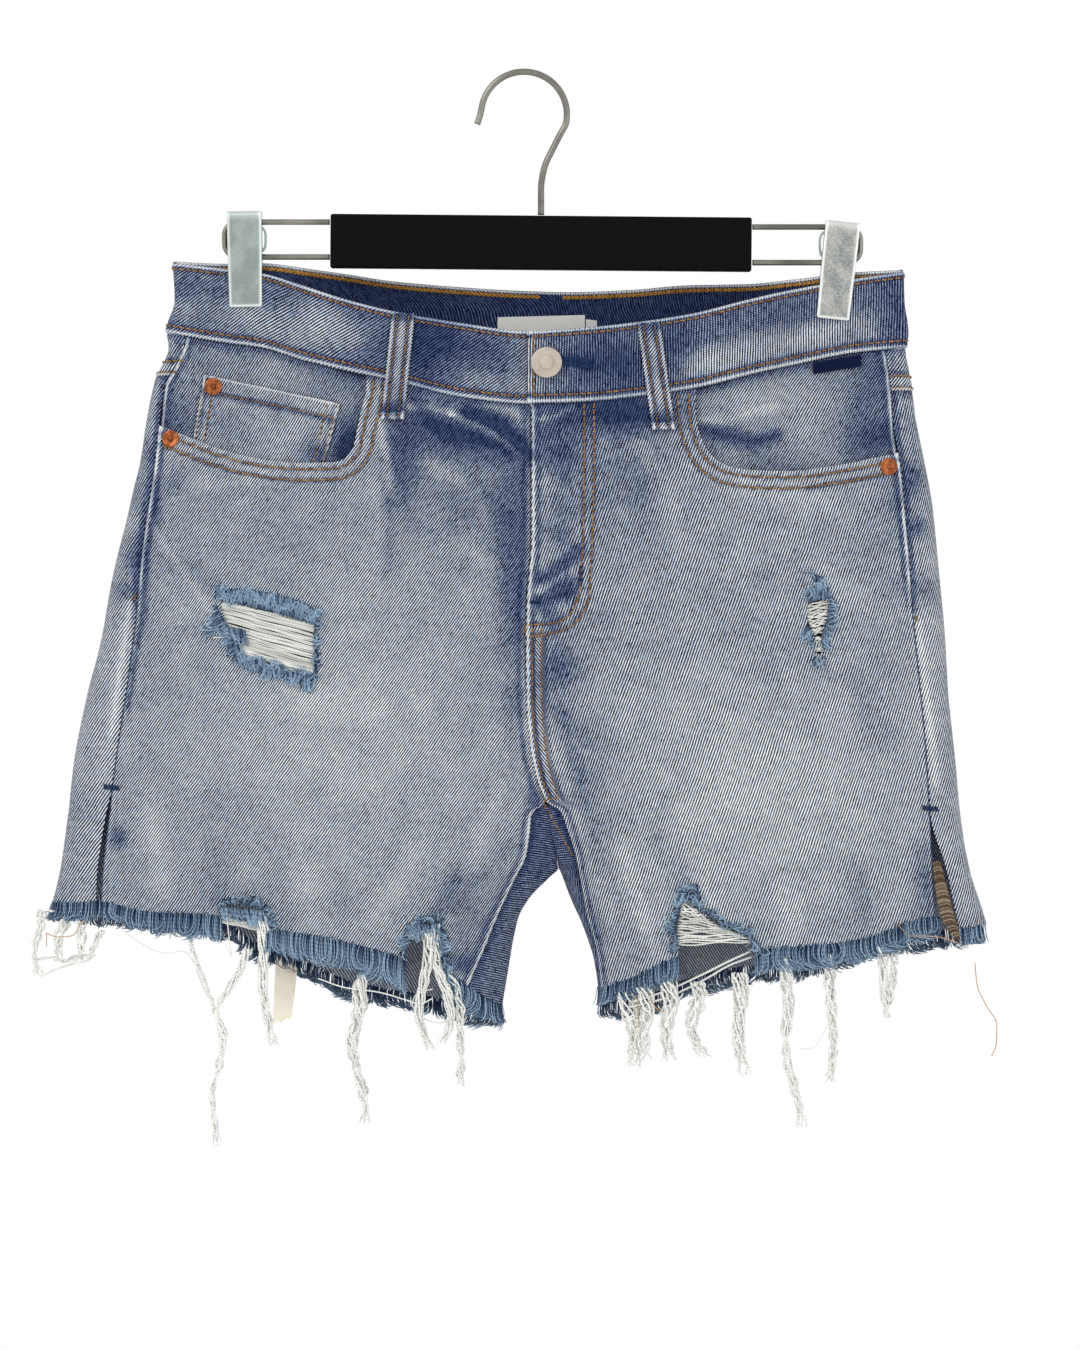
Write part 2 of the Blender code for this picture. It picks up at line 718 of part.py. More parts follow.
def back_panel(side, parts):
    """The back: a main piece from the side seam to the centre back, and the fork that passes under the
    crotch and shows on the front face as far as the inseam. They are one cloth, joined at the leg's inner
    edge."""
    half = HALVES[side]
    edge, seam = leg_rows(half)
    low_rows = edge[CROTCH_ROW:]
    upper = [-248, -274, -300, -326, -350, -372, -390, -404, -416, -427]
    centre = np.concatenate([[yoke_level(half, 2.0) - SEAM / 2], upper, low_rows])
    down = (centre - centre[0]) / (centre[-1] - centre[0])

    def main(i, a, out):
        z = centre[i]
        for _ in range(3):
            f = around(half, a, z)
            x = half.at(f, z)[0]
            hem = float(HEM_FRONT_AT(x) if f < 1 else HEM_BACK_AT(x))
            z = centre[i] if a == 1 else lerp(yoke_level(half, f) - SEAM / 2, hem, down[i])
        return parted(half, f, z, out) if a == 1 else half.at(f, z, out)

    def fork(i, a, out):
        z = lerp(edge[i], seam[i], a)
        f = lerp(0.0, half.inseam_f(z) - SEAM / 2 * half.step(0.02, z), a)
        return parted(half, f, z, out) if a == 0 else half.at(f, z, out)

    main_rows = wall(main, range(len(centre)), AROUND, 0.0, -CLOTH)
    fork_rows = wall(fork, range(len(edge)), spaced(4), 0.0, -CLOTH)
    for i in range(CROTCH_ROW, len(edge)):
        fork_rows[i][0] = main_rows[len(upper) + 1 + i - CROTCH_ROW][-1]
    Sheet().grid(main_rows).grid(fork_rows).solid(f"back_{side}", "denim", parts)
    return main_rows[-1] + fork_rows[-1][1:]


def band_lift(half, f, z):
    """How far the buttoned end of the band lies over the other end."""
    if half is RIGHT or f > 1:
        return 0.0
    return LAP * float(1 - smoothstep(29, 50, half.at(f, z)[0]))


def waistband(side, parts):
    """One half of the band, from its front end round to the centre back."""
    half = HALVES[side]
    front = [0.0, 0.12, 0.24, 0.36, 0.48, 0.6, 0.94, 0.965, 0.985]
    fractions = front + [1.0] + [2 - f for f in front]
    for reach in (-34, -23, -11, 11, 22):
        x = (CLIPS[side][0] + CLIPS[side][2]) / 2 + reach
        fractions += [half.front_f(x, -125.0), half.back_f(x, -125.0)]
    if side == "left":
        fractions += [0.04, 0.08, 0.16, 0.2]
    stations = [(half, f) for f in sorted(fractions)]
    if side == "right":
        stations = [(LEFT, f) for f in (0.115, 0.08, 0.04, 0.01)] + stations

    def point(v, j, out):
        piece, f = stations[j]
        z = -130.0
        for _ in range(3):
            x = piece.at(f, z)[0]
            top = float(BAND_TOP_FRONT(x) if f < 1 else BAND_TOP_BACK(x))
            low = float(BAND_LOW_FRONT(x) if f < 1 else BAND_LOW_BACK(x))
            z = lerp(top, low, v)
        place = parted if f == 2 else Half.at
        return place(piece, f, z, out + (band_lift(half, f, z) if side == "left" else 0))

    rows = wall(point, spaced(4), range(len(stations)), BAND_OUT, -BAND_IN)
    Sheet().grid(rows).solid(f"waistband_{side}", "denim", parts)


def to_outline(x, z, outline):
    """Distance from a point to an open outline, and whether the point is above it."""
    best, above = 1e9, False
    for (x0, z0), (x1, z1) in zip(outline, outline[1:]):
        dx, dz = x1 - x0, z1 - z0
        t = min(max(((x - x0) * dx + (z - z0) * dz) / (dx * dx + dz * dz), 0), 1)
        distance = math.hypot(x - x0 - t * dx, z - z0 - t * dz)
        if distance < best:
            best = distance
            turn = dx * (z - z0) - dz * (x - x0)
            above = turn * (1 if outline[-1][0] > outline[0][0] else -1) > 0
    return best, above


def facing_depth(side, x, z):
    """Depth of the pocket's facing: level with the panels by the seams, sunk at the pocket's edge."""
    outline = POCKET_RIGHT if side == "right" else POCKET_LEFT
    distance, above = to_outline(x, z, outline)
    if not above:
        return FACING_DEPTH
    return lerp(FACING_DEPTH, 0.7, float(smoothstep(1.5, 30.0, distance)))


FACING_MARGIN = 2.2  # the facing ends this far short of the side seam


def facing(side, parts):
    half = HALVES[side]
    pocket = POCKET_RIGHT if side == "right" else POCKET_LEFT
    inner_x = pocket[0][0] - half.sign * 7

    def point(v, a, out):
        z = -180.0
        for _ in range(3):
            f = lerp(half.front_f(inner_x, z), half.seam_f(z) - FACING_MARGIN * half.step(0.9, z), a)
            x = half.at(f, z)[0]
            z = lerp(float(BAND_LOW_FRONT(x)) - SEAM, -226.0, v)
        return half.at(f, z, out - facing_depth(side, x, z))

    rows = wall(point, spaced(10), spaced(12), 0.0, -1.0)
    Sheet().grid(rows).solid(f"pocket_facing_{side}", "denim", parts)


COIN_POCKET_OUT = (1.7, 0.7)  # its outer and inner face, out from the facing


def coin_pocket(parts):
    corners = {"top": ((-176.0, -164.5), (-100.7, -181.3)), "foot": ((-182.8, -208.0), (-110.6, -219.0))}

    def point(v, a, out):
        (x0, z0), (x1, z1) = corners["top"]
        (x2, z2), (x3, z3) = corners["foot"]
        x = lerp(lerp(x0, x1, a), lerp(x2, x3, a), v)
        z = lerp(lerp(z0, z1, a), lerp(z2, z3, a), v)
        return on_front(x, z, out - facing_depth("right", x, z))

    rows = wall(point, spaced(6), spaced(8), *COIN_POCKET_OUT)
    Sheet().grid(rows).solid("coin_pocket", "denim", parts)


def back_pocket(side, parts):
    """A plain patch pocket with a pointed foot."""
    sign = HALVES[side].sign
    centre, top, width, foot_width, height, point_drop = 14 + sign * 96, -236.0, 132.0, 112.0, 118.0, 16.0

    def point(v, a, out):
        half_width = lerp(width, foot_width, v) / 2
        x = centre + (2 * a - 1) * half_width
        drop = point_drop * (1 - abs(2 * a - 1))
        z = top - v * (height + drop) + 5.0 * (a - 0.5) * sign * (1 - v)
        return on_back(x, z, out)

    rows = wall(point, spaced(7), spaced(7), 2.1, 0.9)
    Sheet().grid(rows).solid(f"back_pocket_{side}", "denim", parts)


def fly_shield(parts):
    """The under-lap of the fly, sewn to the wearer's right front and hidden by the left."""

    def point(v, a, out):
        z = lerp(float(BAND_LOW_FRONT(4.1)) - SEAM - 1.0, -306.0, v)
        x0 = float(FRONT_CENTRE(z)) + SEAM
        return LEFT.at(LEFT.front_f(lerp(x0, 28.0 - 8.0 * v, a), z), z, out)

    rows = wall(point, spaced(8), spaced(4), 0.0, -1.2)
    Sheet().grid(rows).solid("fly_shield", "denim", parts)


def belt_loop(name, surface, top, foot, parts, width=12.8):
    """A strip sewn down at both ends, that stands off the band between them."""
    ridge = 0.68  # share of the loop's length that lies on the band

    def point(t, a, out):
        x, z = lerp(top[0], foot[0], t), lerp(top[1], foot[1], t)
        seat = lerp(BAND_OUT + SEAM, 0.9, float(smoothstep(0.74, 1, t)))
        rise = 1.3 * math.sin(math.pi * min(t / ridge, 1)) + seat
        return surface(x + (a - 0.5) * width, z, out + rise)

    rows = wall(point, [0, 0.08, 0.2, 0.34, 0.5, 0.62, 0.72, 0.8, 0.9, 1], spaced(3), 1.8, 0.0)
    Sheet().grid(rows).solid(name, "denim", parts)


def patch(name, surface, corners, out_top, out_low, material, parts, counts=(3, 4)):
    """A small flat piece between four corners: top left, top right, foot left, foot right."""

    def point(v, a, out):
        x = lerp(lerp(corners[0][0], corners[1][0], a), lerp(corners[2][0], corners[3][0], a), v)
        z = lerp(lerp(corners[0][1], corners[1][1], a), lerp(corners[2][1], corners[3][1], a), v)
        return surface(x, z, out)

    rows = wall(point, spaced(counts[0]), spaced(counts[1]), out_top, out_low)
    Sheet().grid(rows).solid(name, material, parts)


def side_tab(parts):
    """The small woven tab under the band, on the left pocket's facing."""
    corners = [(158.8, -158.3), (185.4, -153.9), (158.8, -164.8), (185.4, -160.4)]
    patch("side_tab", on_front, corners, 0.8, 0.2, "navy_label", parts, (2, 3))


def labels(parts):
    """The label and size tab inside the back of the band, and the cream tab that hangs in the right leg."""
    waist = [(-14.6, -132.4), (33.6, -131.2), (-14.6, -156.0), (33.6, -156.0)]
    patch("waist_label", on_back, waist, -BAND_IN - SEAM, -BAND_IN - SEAM - 0.6, "label", parts)
    size = [(34.2, -133.6), (40.2, -134.2), (34.2, -150.0), (40.2, -150.0)]
    patch("size_tab", on_back, size, -BAND_IN - SEAM, -BAND_IN - SEAM - 0.6, "label", parts, (3, 2))
    care = [(-141.0, -462.0), (-124.0, -462.0), (-139.5, -524.0), (-128.0, -521.0)]

    def surface(x, z, out):
        return on_back(x, max(z, -521.0), out) + np.array((0, 0, min(z + 521.0, 0)))

    patch("care_tag", surface, care, -CLOTH - SEAM, -CLOTH - SEAM - 0.8, "cream_label", parts, (6, 3))


# ---- threads ----
def fringe(name, stations, material, parts, seed, root=2.0, reach=9.0):
    """A narrow strip along a cut edge, with a tapered lock of yarn hanging from every other cell.
    stations are (point, inner point) pairs along the edge, wide cells and narrow ones in turn."""
    rng = np.random.default_rng(seed)
    bm = bmesh.new()
    down = np.array((0.0, 0.0, -1.0))
    rings = []
    for outer, inner in stations:
        ring = (outer, inner, inner + down * root, outer + down * root)
        rings.append([bm.verts.new(Vector(p) * MM) for p in ring])
    for k in range(len(rings) - 1):
        a, b = rings[k], rings[k + 1]
        for m in (0, 1, 3):
            n = (m + 1) % 4
            bm.faces.new([a[m], b[m], b[n], a[n]])
        if k % 2:
            bm.faces.new([a[2], b[2], b[3], a[3]])
            continue
        base = [a[2], b[2], b[3], a[3]]
        middle = sum((v.co for v in base), Vector()) / 4
        length = reach * rng.uniform(0.75, 1.15)
        lean = Vector((rng.uniform(-1.2, 1.2), 0, -length)) * MM
        tip = [bm.verts.new(middle + (v.co - middle) * 0.35 + lean) for v in base]
        for m in range(4):
            n = (m + 1) % 4
            bm.faces.new([base[m], base[n], tip[n], tip[m]])
        bm.faces.new(tip)
    bm.faces.new(rings[0])
    bm.faces.new(list(reversed(rings[-1])))
    close(bm, name, material, parts)


def close(bm, name, material, parts):
    bmesh.ops.recalc_face_normals(bm, faces=bm.faces)
    bmesh.ops.triangulate(bm, faces=bm.faces)
    mesh = bpy.data.meshes.new(name)
    bm.to_mesh(mesh)
    bm.free()
    put(name, mesh, material, parts)


LOCK, LOCK_SPACE = 6.2, 1.4  # width of a lock of fringe, and the space to the next
FRINGE_DROP = 0.8  # the fringe's strip lies this far under the cut edge


def along_edge(edge, low, high):
    """Stations for a fringe under a panel's lower edge, where x lies between two limits."""
    outer, inner = (np.array([pair[k] for pair in edge]) for k in (0, 1))
    length = np.concatenate([[0], np.cumsum(np.linalg.norm(np.diff(outer, axis=0), axis=1))])
    drop = np.array((0.0, 0.0, FRINGE_DROP))
    picked = []
    for k in range(int(length[-1] // (LOCK + LOCK_SPACE))):
        for s in (k * (LOCK + LOCK_SPACE), k * (LOCK + LOCK_SPACE) + LOCK):
            sides = [[np.interp(s, length, side[:, m]) for m in range(3)] for side in (outer, inner)]
            picked.append([np.array(place) - drop for place in sides])
    kept = [p for p in picked if low < p[0][0] < high]
    return kept if len(kept) % 2 == 0 else kept[:-1]


# fringe: panel; lowest x; highest x
FRINGES = {
    "fringe_front_right_outer": ("front_right", -232.0, -168.5),
    "fringe_front_right_inner": ("front_right", -138.5, -68.0),
    "fringe_front_left_inner": ("front_left", 42.0, 82.5),
    "fringe_front_left_outer": ("front_left", 131.5, 226.0),
    "fringe_back_right": ("back_right", -270.0, -32.0),
    "fringe_back_left": ("back_left", 50.0, 270.0),
}


def hem_fringes(hems, parts):
    for seed, (name, (panel, low, high)) in enumerate(FRINGES.items()):
        fringe(name, along_edge(hems[panel], low, high), "fringe", parts, seed)


# tassel: side; x where it leaves the hem; strands; length; sideways drift of the tip; sway
TASSELS = [
    ("right", -206.0, 2, 14.0, 2.0, 0.6),
    ("right", -169.5, 3, 104.0, 2.0, 2.6),
    ("right", -142.5, 3, 52.0, 5.0, 1.4),
    ("right", -95.0, 3, 78.0, 2.0, 2.0),
    ("right", -56.0, 4, 46.0, 4.0, 1.6),
    ("left", 56.0, 4, 30.0, 3.0, 1.4),
    ("left", 77.0, 3, 30.0, 2.0, 1.6),
    ("left", 96.0, 3, 48.0, 1.0, 1.8),
    ("left", 117.0, 3, 54.0, 4.0, 1.6),
    ("left", 142.0, 3, 88.0, 8.0, 2.2),
    ("left", 168.0, 3, 56.0, 2.0, 1.8),
    ("left", 197.0, 3, 38.0, 3.0, 1.4),
]
STRAND, STRAND_SPACE, STRAND_STEPS = 1.6, 1.5, 4
TASSEL_DEPTH = CLOTH + SEAM  # the tassels' strip lies behind the hem


def tassels(side, parts):
    """Long loose yarns that hang in bunches from one strip behind the hem."""
    half = HALVES[side]
    bunches = [t[1:] for t in TASSELS if t[0] == side]
    stations, strands = [], {}
    for x, count, length, drift, sway in bunches:
        width = count * STRAND + (count - 1) * STRAND_SPACE
        for k in range(count):
            start = x - width / 2 + k * (STRAND + STRAND_SPACE)
            strands[len(stations)] = (length * (1 - 0.13 * ((k * 2) % 3)), drift, sway)
            stations += [start, start + STRAND]
    bm = bmesh.new()
    rings = []
    for x in stations:
        z = float(HEM_FRONT_AT(x)) + 1.5
        f = half.front_f(x, z)
        outer, inner = half.at(f, z, -TASSEL_DEPTH), half.at(f, z, -TASSEL_DEPTH - STRAND)
        lower = np.array((0.0, 0.0, -STRAND))
        rings.append([bm.verts.new(Vector(p) * MM) for p in (outer, inner, inner + lower, outer + lower)])
    for k in range(len(rings) - 1):
        a, b = rings[k], rings[k + 1]
        for m in (0, 1, 3):
            n = (m + 1) % 4
            bm.faces.new([a[m], b[m], b[n], a[n]])
        if k not in strands:
            bm.faces.new([a[2], b[2], b[3], a[3]])
            continue
        length, drift, sway = strands[k]
        ring = [a[2], b[2], b[3], a[3]]
        root = [v.co.copy() for v in ring]
        middle = sum(root, Vector()) / 4
        for step in range(1, STRAND_STEPS + 1):
            t = step / STRAND_STEPS
            side_step = drift * t + sway * math.sin(2.2 * math.pi * t)
            move = Vector((side_step, 0.8 * t, -length * t)) * MM
            size = 1 - 0.45 * t
            following = [bm.verts.new(middle + (co - middle) * size + move) for co in root]
            for m in range(4):
                n = (m + 1) % 4
                bm.faces.new([ring[m], ring[n], following[n], following[m]])
            ring = following
        bm.faces.new(ring)
    bm.faces.new(rings[0])
    bm.faces.new(list(reversed(rings[-1])))
    close(bm, f"tassels_{side}", "white_thread", parts)


LADDER_DEPTH, YARN = CLOTH + 0.8, 1.1


def ladder(name, x0, x1, z_top, z_foot, slope, count, parts, margin=3.0, lean=0.0):
    """The bare weft yarns that bridge a rip: strands between two side strips, just behind the cloth."""
    pitch = (z_top - z_foot) / (2 * count - 1)
    levels = [z_top - k * pitch for k in range(2 * count)]
    columns = [-margin, 0, 0.5, 1, 1 + margin]

    def point(i, j, out):
        share = columns[j]
        x = x0 - margin if j == 0 else x1 + margin if j == 4 else lerp(x0, x1, share)
        middle = (x0 + x1) / 2
        z = levels[i] + slope * (x - middle)
        return on_front(x + lean * (levels[i] - z_top), z, out)

    rows = wall(point, range(len(levels)), range(5), -LADDER_DEPTH, -LADDER_DEPTH - YARN)
    sheet = Sheet().grid(rows, lambda i, j: i % 2 == 0 or j in (0, 3))
    sheet.solid(name, "white_thread", parts)


# ---- hard pieces ----
def turned(name, profile, point, normal, steps, material, parts):
    """A turned piece from its profile of (radius, height), standing on a point of the cloth."""
    mesh = bpy.data.meshes.new(name)
    edges = [(k, k + 1) for k in range(len(profile) - 1)]
    mesh.from_pydata([(r * MM, 0, h * MM) for r, h in profile], edges, [])
    thing = put(name, mesh, material, parts)
    thing.location = Vector(point) * MM
    thing.rotation_mode = "QUATERNION"
    thing.rotation_quaternion = Vector(normal).to_track_quat("Z", "Y")
    screw = thing.modifiers.new("turn", "SCREW")
    screw.steps = screw.render_steps = steps
    screw.use_merge_vertices = True
    screw.merge_threshold = 0.00001
    screw.use_smooth_shade = True
    return thing


BUTTON_RADIUS, RIVET_RADIUS = 8.5, 4.8
BUTTON_AT = (12.4, -159.4)
RIVETS = {
    "rivet_right": ((-193.8, -200.4), 0.0),
    "rivet_left": ((200.0, -215.8), 0.0),
    "rivet_coin": ((-170.8, -171.6), COIN_POCKET_OUT[0] + 0.3),
}


def fasteners(parts):
    x, z = BUTTON_AT
    lift = LAP + BAND_OUT
    base, tip = on_front(x, z, lift + SEAM), on_front(x, z, lift + 2)
    r = BUTTON_RADIUS
    face = [(0, 3.0), (r * 0.3, 3.0), (r * 0.38, 2.5), (r * 0.72, 2.6), (r * 0.84, 3.2), (r * 0.95, 2.9)]
    button = [*face, (r, 2.0), (r * 0.9, 0.9), (r * 0.45, 0.6), (r * 0.45, 0.0), (0, 0.0)]
    turned("button", button, base, tip - base, 24, "nickel", parts)
    r = RIVET_RADIUS
    for name, ((x, z), raised) in RIVETS.items():

        def seat(x, z, raised=raised):
            return on_front(x, z, SEAM + raised - (facing_depth("right", x, z) if raised else 0.0))

        base = seat(x, z)
        normal = np.cross(seat(x + 2, z) - base, seat(x, z + 2) - base)
        head = [(0, 1.9), (r * 0.22, 1.8), (r * 0.34, 1.1), (r * 0.5, 0.9), (r * 0.85, 1.1)]
        turned(name, [*head, (r, 0.6), (r, 0.0), (0, 0)], base, normal, 14, "copper", parts)


def box(name, size, centre, tilt, material, parts, bevel):
    mesh = bpy.data.meshes.new(name)
    bm = bmesh.new()
    bmesh.ops.create_cube(bm, size=1)
    bmesh.ops.scale(bm, vec=Vector(size) * MM, verts=bm.verts)
    bm.to_mesh(mesh)
    bm.free()
    thing = put(name, mesh, material, parts)
    thing.location = Vector(centre) * MM
    thing.rotation_euler = (0, tilt, 0)
    edge = thing.modifiers.new("edges", "BEVEL")
    edge.width = bevel * MM
    edge.segments = 2
    return thing


def wire(name, points, diameter, material, parts, cyclic=False):
    data = bpy.data.curves.new(name, "CURVE")
    data.dimensions = "3D"
    data.bevel_depth = diameter / 2 * MM
    data.bevel_resolution = 2
    data.use_fill_caps = True
    spline = data.splines.new("POLY")
    spline.points.add(len(points) - 1)
    for place, (x, y, z) in zip(spline.points, points):
        place.co = (x * MM, y * MM, z * MM, 1)
    thing = bpy.data.objects.new(name, data)
    parts.objects.link(thing)
    data.materials.append(finish(material))
    return thing


def hook(parts):
    """A round hook on a stem that stands beside the hook's centre, over the middle of the bar."""
    stem_x = BAR_CENTRE[0]
    centre_z = WIRE / 2 - HOOK_RADIUS
    foot_z = BAR_CENTRE[1] + BAR_HEIGHT / 2 + SEAM + 0.3
    arc = [math.radians(a) for a in np.linspace(-12, 172, 22)]
    round_part = [(HOOK_RADIUS * math.cos(a), 0, centre_z + HOOK_RADIUS * math.sin(a)) for a in arc]
    start_x, _, start_z = round_part[0]
    stem = curve([(foot_z, stem_x), (foot_z + 14, stem_x), (-51.0, 11.2), (-42.0, 15.2), (start_z, start_x)])
    lower = [(float(stem(z)), 0, z) for z in np.linspace(foot_z, start_z - 4, 9)]
    x, _, z = round_part[-1]
    tip = [(x - 0.9, 0, z - 4.0), (x - 2.4, 0, z - 8.6)]
    wire("hanger_hook", lower + round_part + tip, WIRE, "steel", parts)


def hanger(parts):
    x, z = BAR_CENTRE
    box("hanger_bar", (BAR_LENGTH, BAR_DEPTH, BAR_HEIGHT), (x, 0, z), BAR_TILT, "black", parts, 1.2)
    hook(parts)
    for side, (near, far, upper, lower) in RODS.items():
        radius = 7.5
        sign = math.copysign(1, far - near)
        turn = [math.radians(a) for a in (90, 60, 30, 0)]
        bend = [(radius * (1 - math.cos(a)), radius * (1 - math.sin(a))) for a in turn]
        bend_top = [(far - sign * back, 0, upper - drop) for back, drop in bend]
        bend_low = [(bx, 0, upper + lower - bz) for bx, _, bz in reversed(bend_top)]
        points = [(near, 0, upper), *bend_top, *bend_low, (near, 0, lower)]
        wire(f"hanger_rod_{side}", points, ROD, "steel", parts)
        clip(side, upper, lower, parts)


SPRING_INWARD, SPRING_OUTWARD = 12.0, 3.0  # reach of the spring from the clip's middle


def clip(side, upper, lower, parts):
    """A bent plate over both rods whose two jaws hold the band, and the spring between the rods."""
    top_x, top_z, foot_x, foot_z = CLIPS[side]
    inner = CLIP_DEPTH + BAND_OUT + SEAM
    outer = inner + CLIP_PLATE
    height = math.hypot(top_x - foot_x, top_z - foot_z)
    outline = [(-outer, 0), (-outer, -height), (-inner, -height), (-inner, -CLIP_PLATE)]
    outline += [(inner, -CLIP_PLATE), (inner, -height), (outer, -height), (outer, 0)]
    bm = bmesh.new()
    face = bm.faces.new([bm.verts.new(Vector((-CLIP_WIDTH / 2, y, z)) * MM) for y, z in outline])
    made = bmesh.ops.extrude_face_region(bm, geom=[face])["geom"]
    moved = [v for v in made if isinstance(v, bmesh.types.BMVert)]
    bmesh.ops.translate(bm, verts=moved, vec=Vector((CLIP_WIDTH, 0, 0)) * MM)
    bmesh.ops.recalc_face_normals(bm, faces=bm.faces)
    mesh = bpy.data.meshes.new(f"clip_{side}")
    bm.to_mesh(mesh)
    bm.free()
    thing = put(f"clip_{side}", mesh, "zinc", parts)
    thing.location = Vector((top_x, 0, top_z)) * MM
    thing.rotation_euler = (0, math.atan2(top_x - foot_x, top_z - foot_z), 0)
    middle = (upper + lower) / 2
    room = upper - lower - ROD - 2 * SEAM
    plate_x = lerp(top_x, foot_x, (top_z - middle) / (top_z - foot_z))
    x = plate_x - HALVES[side].sign * (SPRING_INWARD - SPRING_OUTWARD) / 2
    size = (SPRING_INWARD + SPRING_OUTWARD, 2 * inner - 2 * SEAM, room)
    box(f"clip_spring_{side}", size, (x, 0, middle), 0, "zinc", parts, 2.4)


def main():
    for thing in list(bpy.data.objects):
        bpy.data.objects.remove(thing)
    parts, cutters = collection("denim_shorts_on_hanger"), collection("cutters")
    hems = {}
    for side in HALVES:
        hems[f"front_{side}"] = front_panel(side, parts, cutters)
        hems[f"back_{side}"] = back_panel(side, parts)
        yoke(side, parts)
        waistband(side, parts)
        facing(side, parts)
        back_pocket(side, parts)
        tassels(side, parts)
    coin_pocket(parts)
    fly_shield(parts)
    belt_loop("belt_loop_front_right", on_front, (-66.0, -131.8), (-72.0, -190.2), parts)
    belt_loop("belt_loop_front_left", on_front, (68.2, -137.0), (76.6, -195.8), parts)
    belt_loop("belt_loop_back", on_back, (15.4, -121.6), (15.4, -181.0), parts)
    belt_loop("belt_loop_back_right", on_back, (-112.0, -110.6), (-112.0, -170.0), parts)
    belt_loop("belt_loop_back_left", on_back, (128.0, -115.0), (128.0, -175.0), parts)
    side_tab(parts)
    labels(parts)
    hem_fringes(hems, parts)
    ladder("rip_threads_right", -163.0, -114.0, -292.5, -328.0, -0.19, 11, parts)
    ladder("rip_threads_left", 155.0, 167.0, -289.5, -317.0, 0.05, 7, parts, margin=2.2)
    ladder("hem_threads_left", 85.0, 124.0, -452.0, -478.0, 0.06, 8, parts)
    fasteners(parts)
    hanger(parts)


main()
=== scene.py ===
"""Looks for the denim shorts on their clip hanger: cloth shells, stitching, frayed yarn, metal and light.

Sizes are millimetres until a mesh is made; MM turns them into metres. Left and right are the wearer's, so the
wearer's right is at -X. The front faces -Y. The origin is the inside of the hook's top.
"""

import math

import bmesh
import bpy
import numpy as np
from mathutils import Matrix, Vector


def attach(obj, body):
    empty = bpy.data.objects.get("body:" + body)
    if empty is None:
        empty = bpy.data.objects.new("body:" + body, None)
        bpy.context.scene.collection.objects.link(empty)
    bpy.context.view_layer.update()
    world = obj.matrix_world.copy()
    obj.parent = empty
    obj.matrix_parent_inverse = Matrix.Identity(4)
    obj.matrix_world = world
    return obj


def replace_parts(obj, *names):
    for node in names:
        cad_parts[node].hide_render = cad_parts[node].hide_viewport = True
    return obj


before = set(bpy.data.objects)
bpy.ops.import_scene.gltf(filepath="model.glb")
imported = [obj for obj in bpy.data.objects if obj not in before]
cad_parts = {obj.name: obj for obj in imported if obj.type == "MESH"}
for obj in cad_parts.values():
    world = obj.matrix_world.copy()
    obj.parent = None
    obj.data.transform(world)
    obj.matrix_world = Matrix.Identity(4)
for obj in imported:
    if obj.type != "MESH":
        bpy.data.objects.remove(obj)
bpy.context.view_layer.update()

MM = 0.001
CLOTH = 1.4  # thickness of a panel
SEAM = 0.3  # gap between two pieces of cloth
BAND_OUT, BAND_IN = 0.9, 1.4  # how far the band lies outside and inside the body's surface
LAP = BAND_OUT + BAND_IN + 0.5  # lift of the band's buttoned end over the other
FLY_LAP = 2.2  # lift of the left front over the fly
FACING_DEPTH = 3.7  # depth of the facings at the pockets' edges
CROTCH_Z, CROSS_Z = -437.3, -400.4  # the fork, and the crossing of the front's seams above it
YOKE_SIDE, YOKE_CENTRE = 23.5, 62.0  # height of the yoke at the side and at the centre back
# half the cloth's depth under a clip, and how far along the pinch reaches
CLIP_DEPTH, PINCH_REACH = 3.4, 36.0
CLIP_MIDDLES = (-153.35, 172.6)
SIDE_SWELL_REACH, INNER_SWELL_REACH, INNER_RADIUS = 120.0, 52.0, 7.0
CROTCH_RISE, FORK_X = 62.0, 19.2
FLY_FOOT, BAND_GUESS = -306.0, -130.0  # level of the fly's foot, and a first guess of a level on the band
ROLL = 0.45  # how near its edge a panel rolls in

# ---- the cut: the solids' own, but for the band's back edge, which is up to 3 mm higher ----
# level; wearer's right; wearer's left
OUTLINE = [
    (-98, -193, 208), (-123.8, -191.4, 208.5), (-141.9, -196.4, 210.7), (-150, -195.6, 209.8),
    (-167.8, -203, 212.9), (-189.8, -207.4, 215.6), (-211.8, -210.9, 220), (-233.8, -216.2, 224.4),
    (-277.8, -226.6, 228.8), (-310.8, -232.7, 231.6), (-343.8, -240.6, 233.8), (-376.8, -247.5, 237.1),
    (-409.8, -251.4, 240.4), (-437.3, -255.2, 245.3), (-470.3, -263, 255.2), (-524, -268, 262),
]
# level; depth of the front; depth of the back; radius of the fold at the side
SWELL = [
    (-98, 15, 16, 4.5), (-145, 15, 18, 4.8), (-185, 18, 24, 6), (-240, 23, 31, 8), (-300, 26, 35, 9),
    (-380, 26, 34, 9), (-437.3, 23, 28, 8), (-524, 19, 22, 7),
]
# level; x of the front's centre seam; x of the back's
CENTRE = [
    (-98, 1.7, 15.4), (-180, 1.7, 15), (-184, 4.1, 15), (-256.3, 4.1, 13), (-288.8, 1.7, 11.5),
    (-316.3, 1.1, 10.5), (-343.8, 1.4, 10), (-368.5, 3.3, 10.5), (-387.8, 7.2, 12.5), (-400.4, 12.1, 14.5),
    (-420.8, 16, 17), (-437.3, 19.2, 19.2),
]
# level; inner edge of the right leg; of the left leg
INNER_LEG = [
    (-437.3, 18.8, 19.7), (-442.8, 13.2, 22), (-453.8, 2.8, 26.4), (-464.8, -3.4, 31.3),
    (-486.8, -7.6, 38.5), (-508.8, -11.6, 40.9), (-524, -13, 42),
]
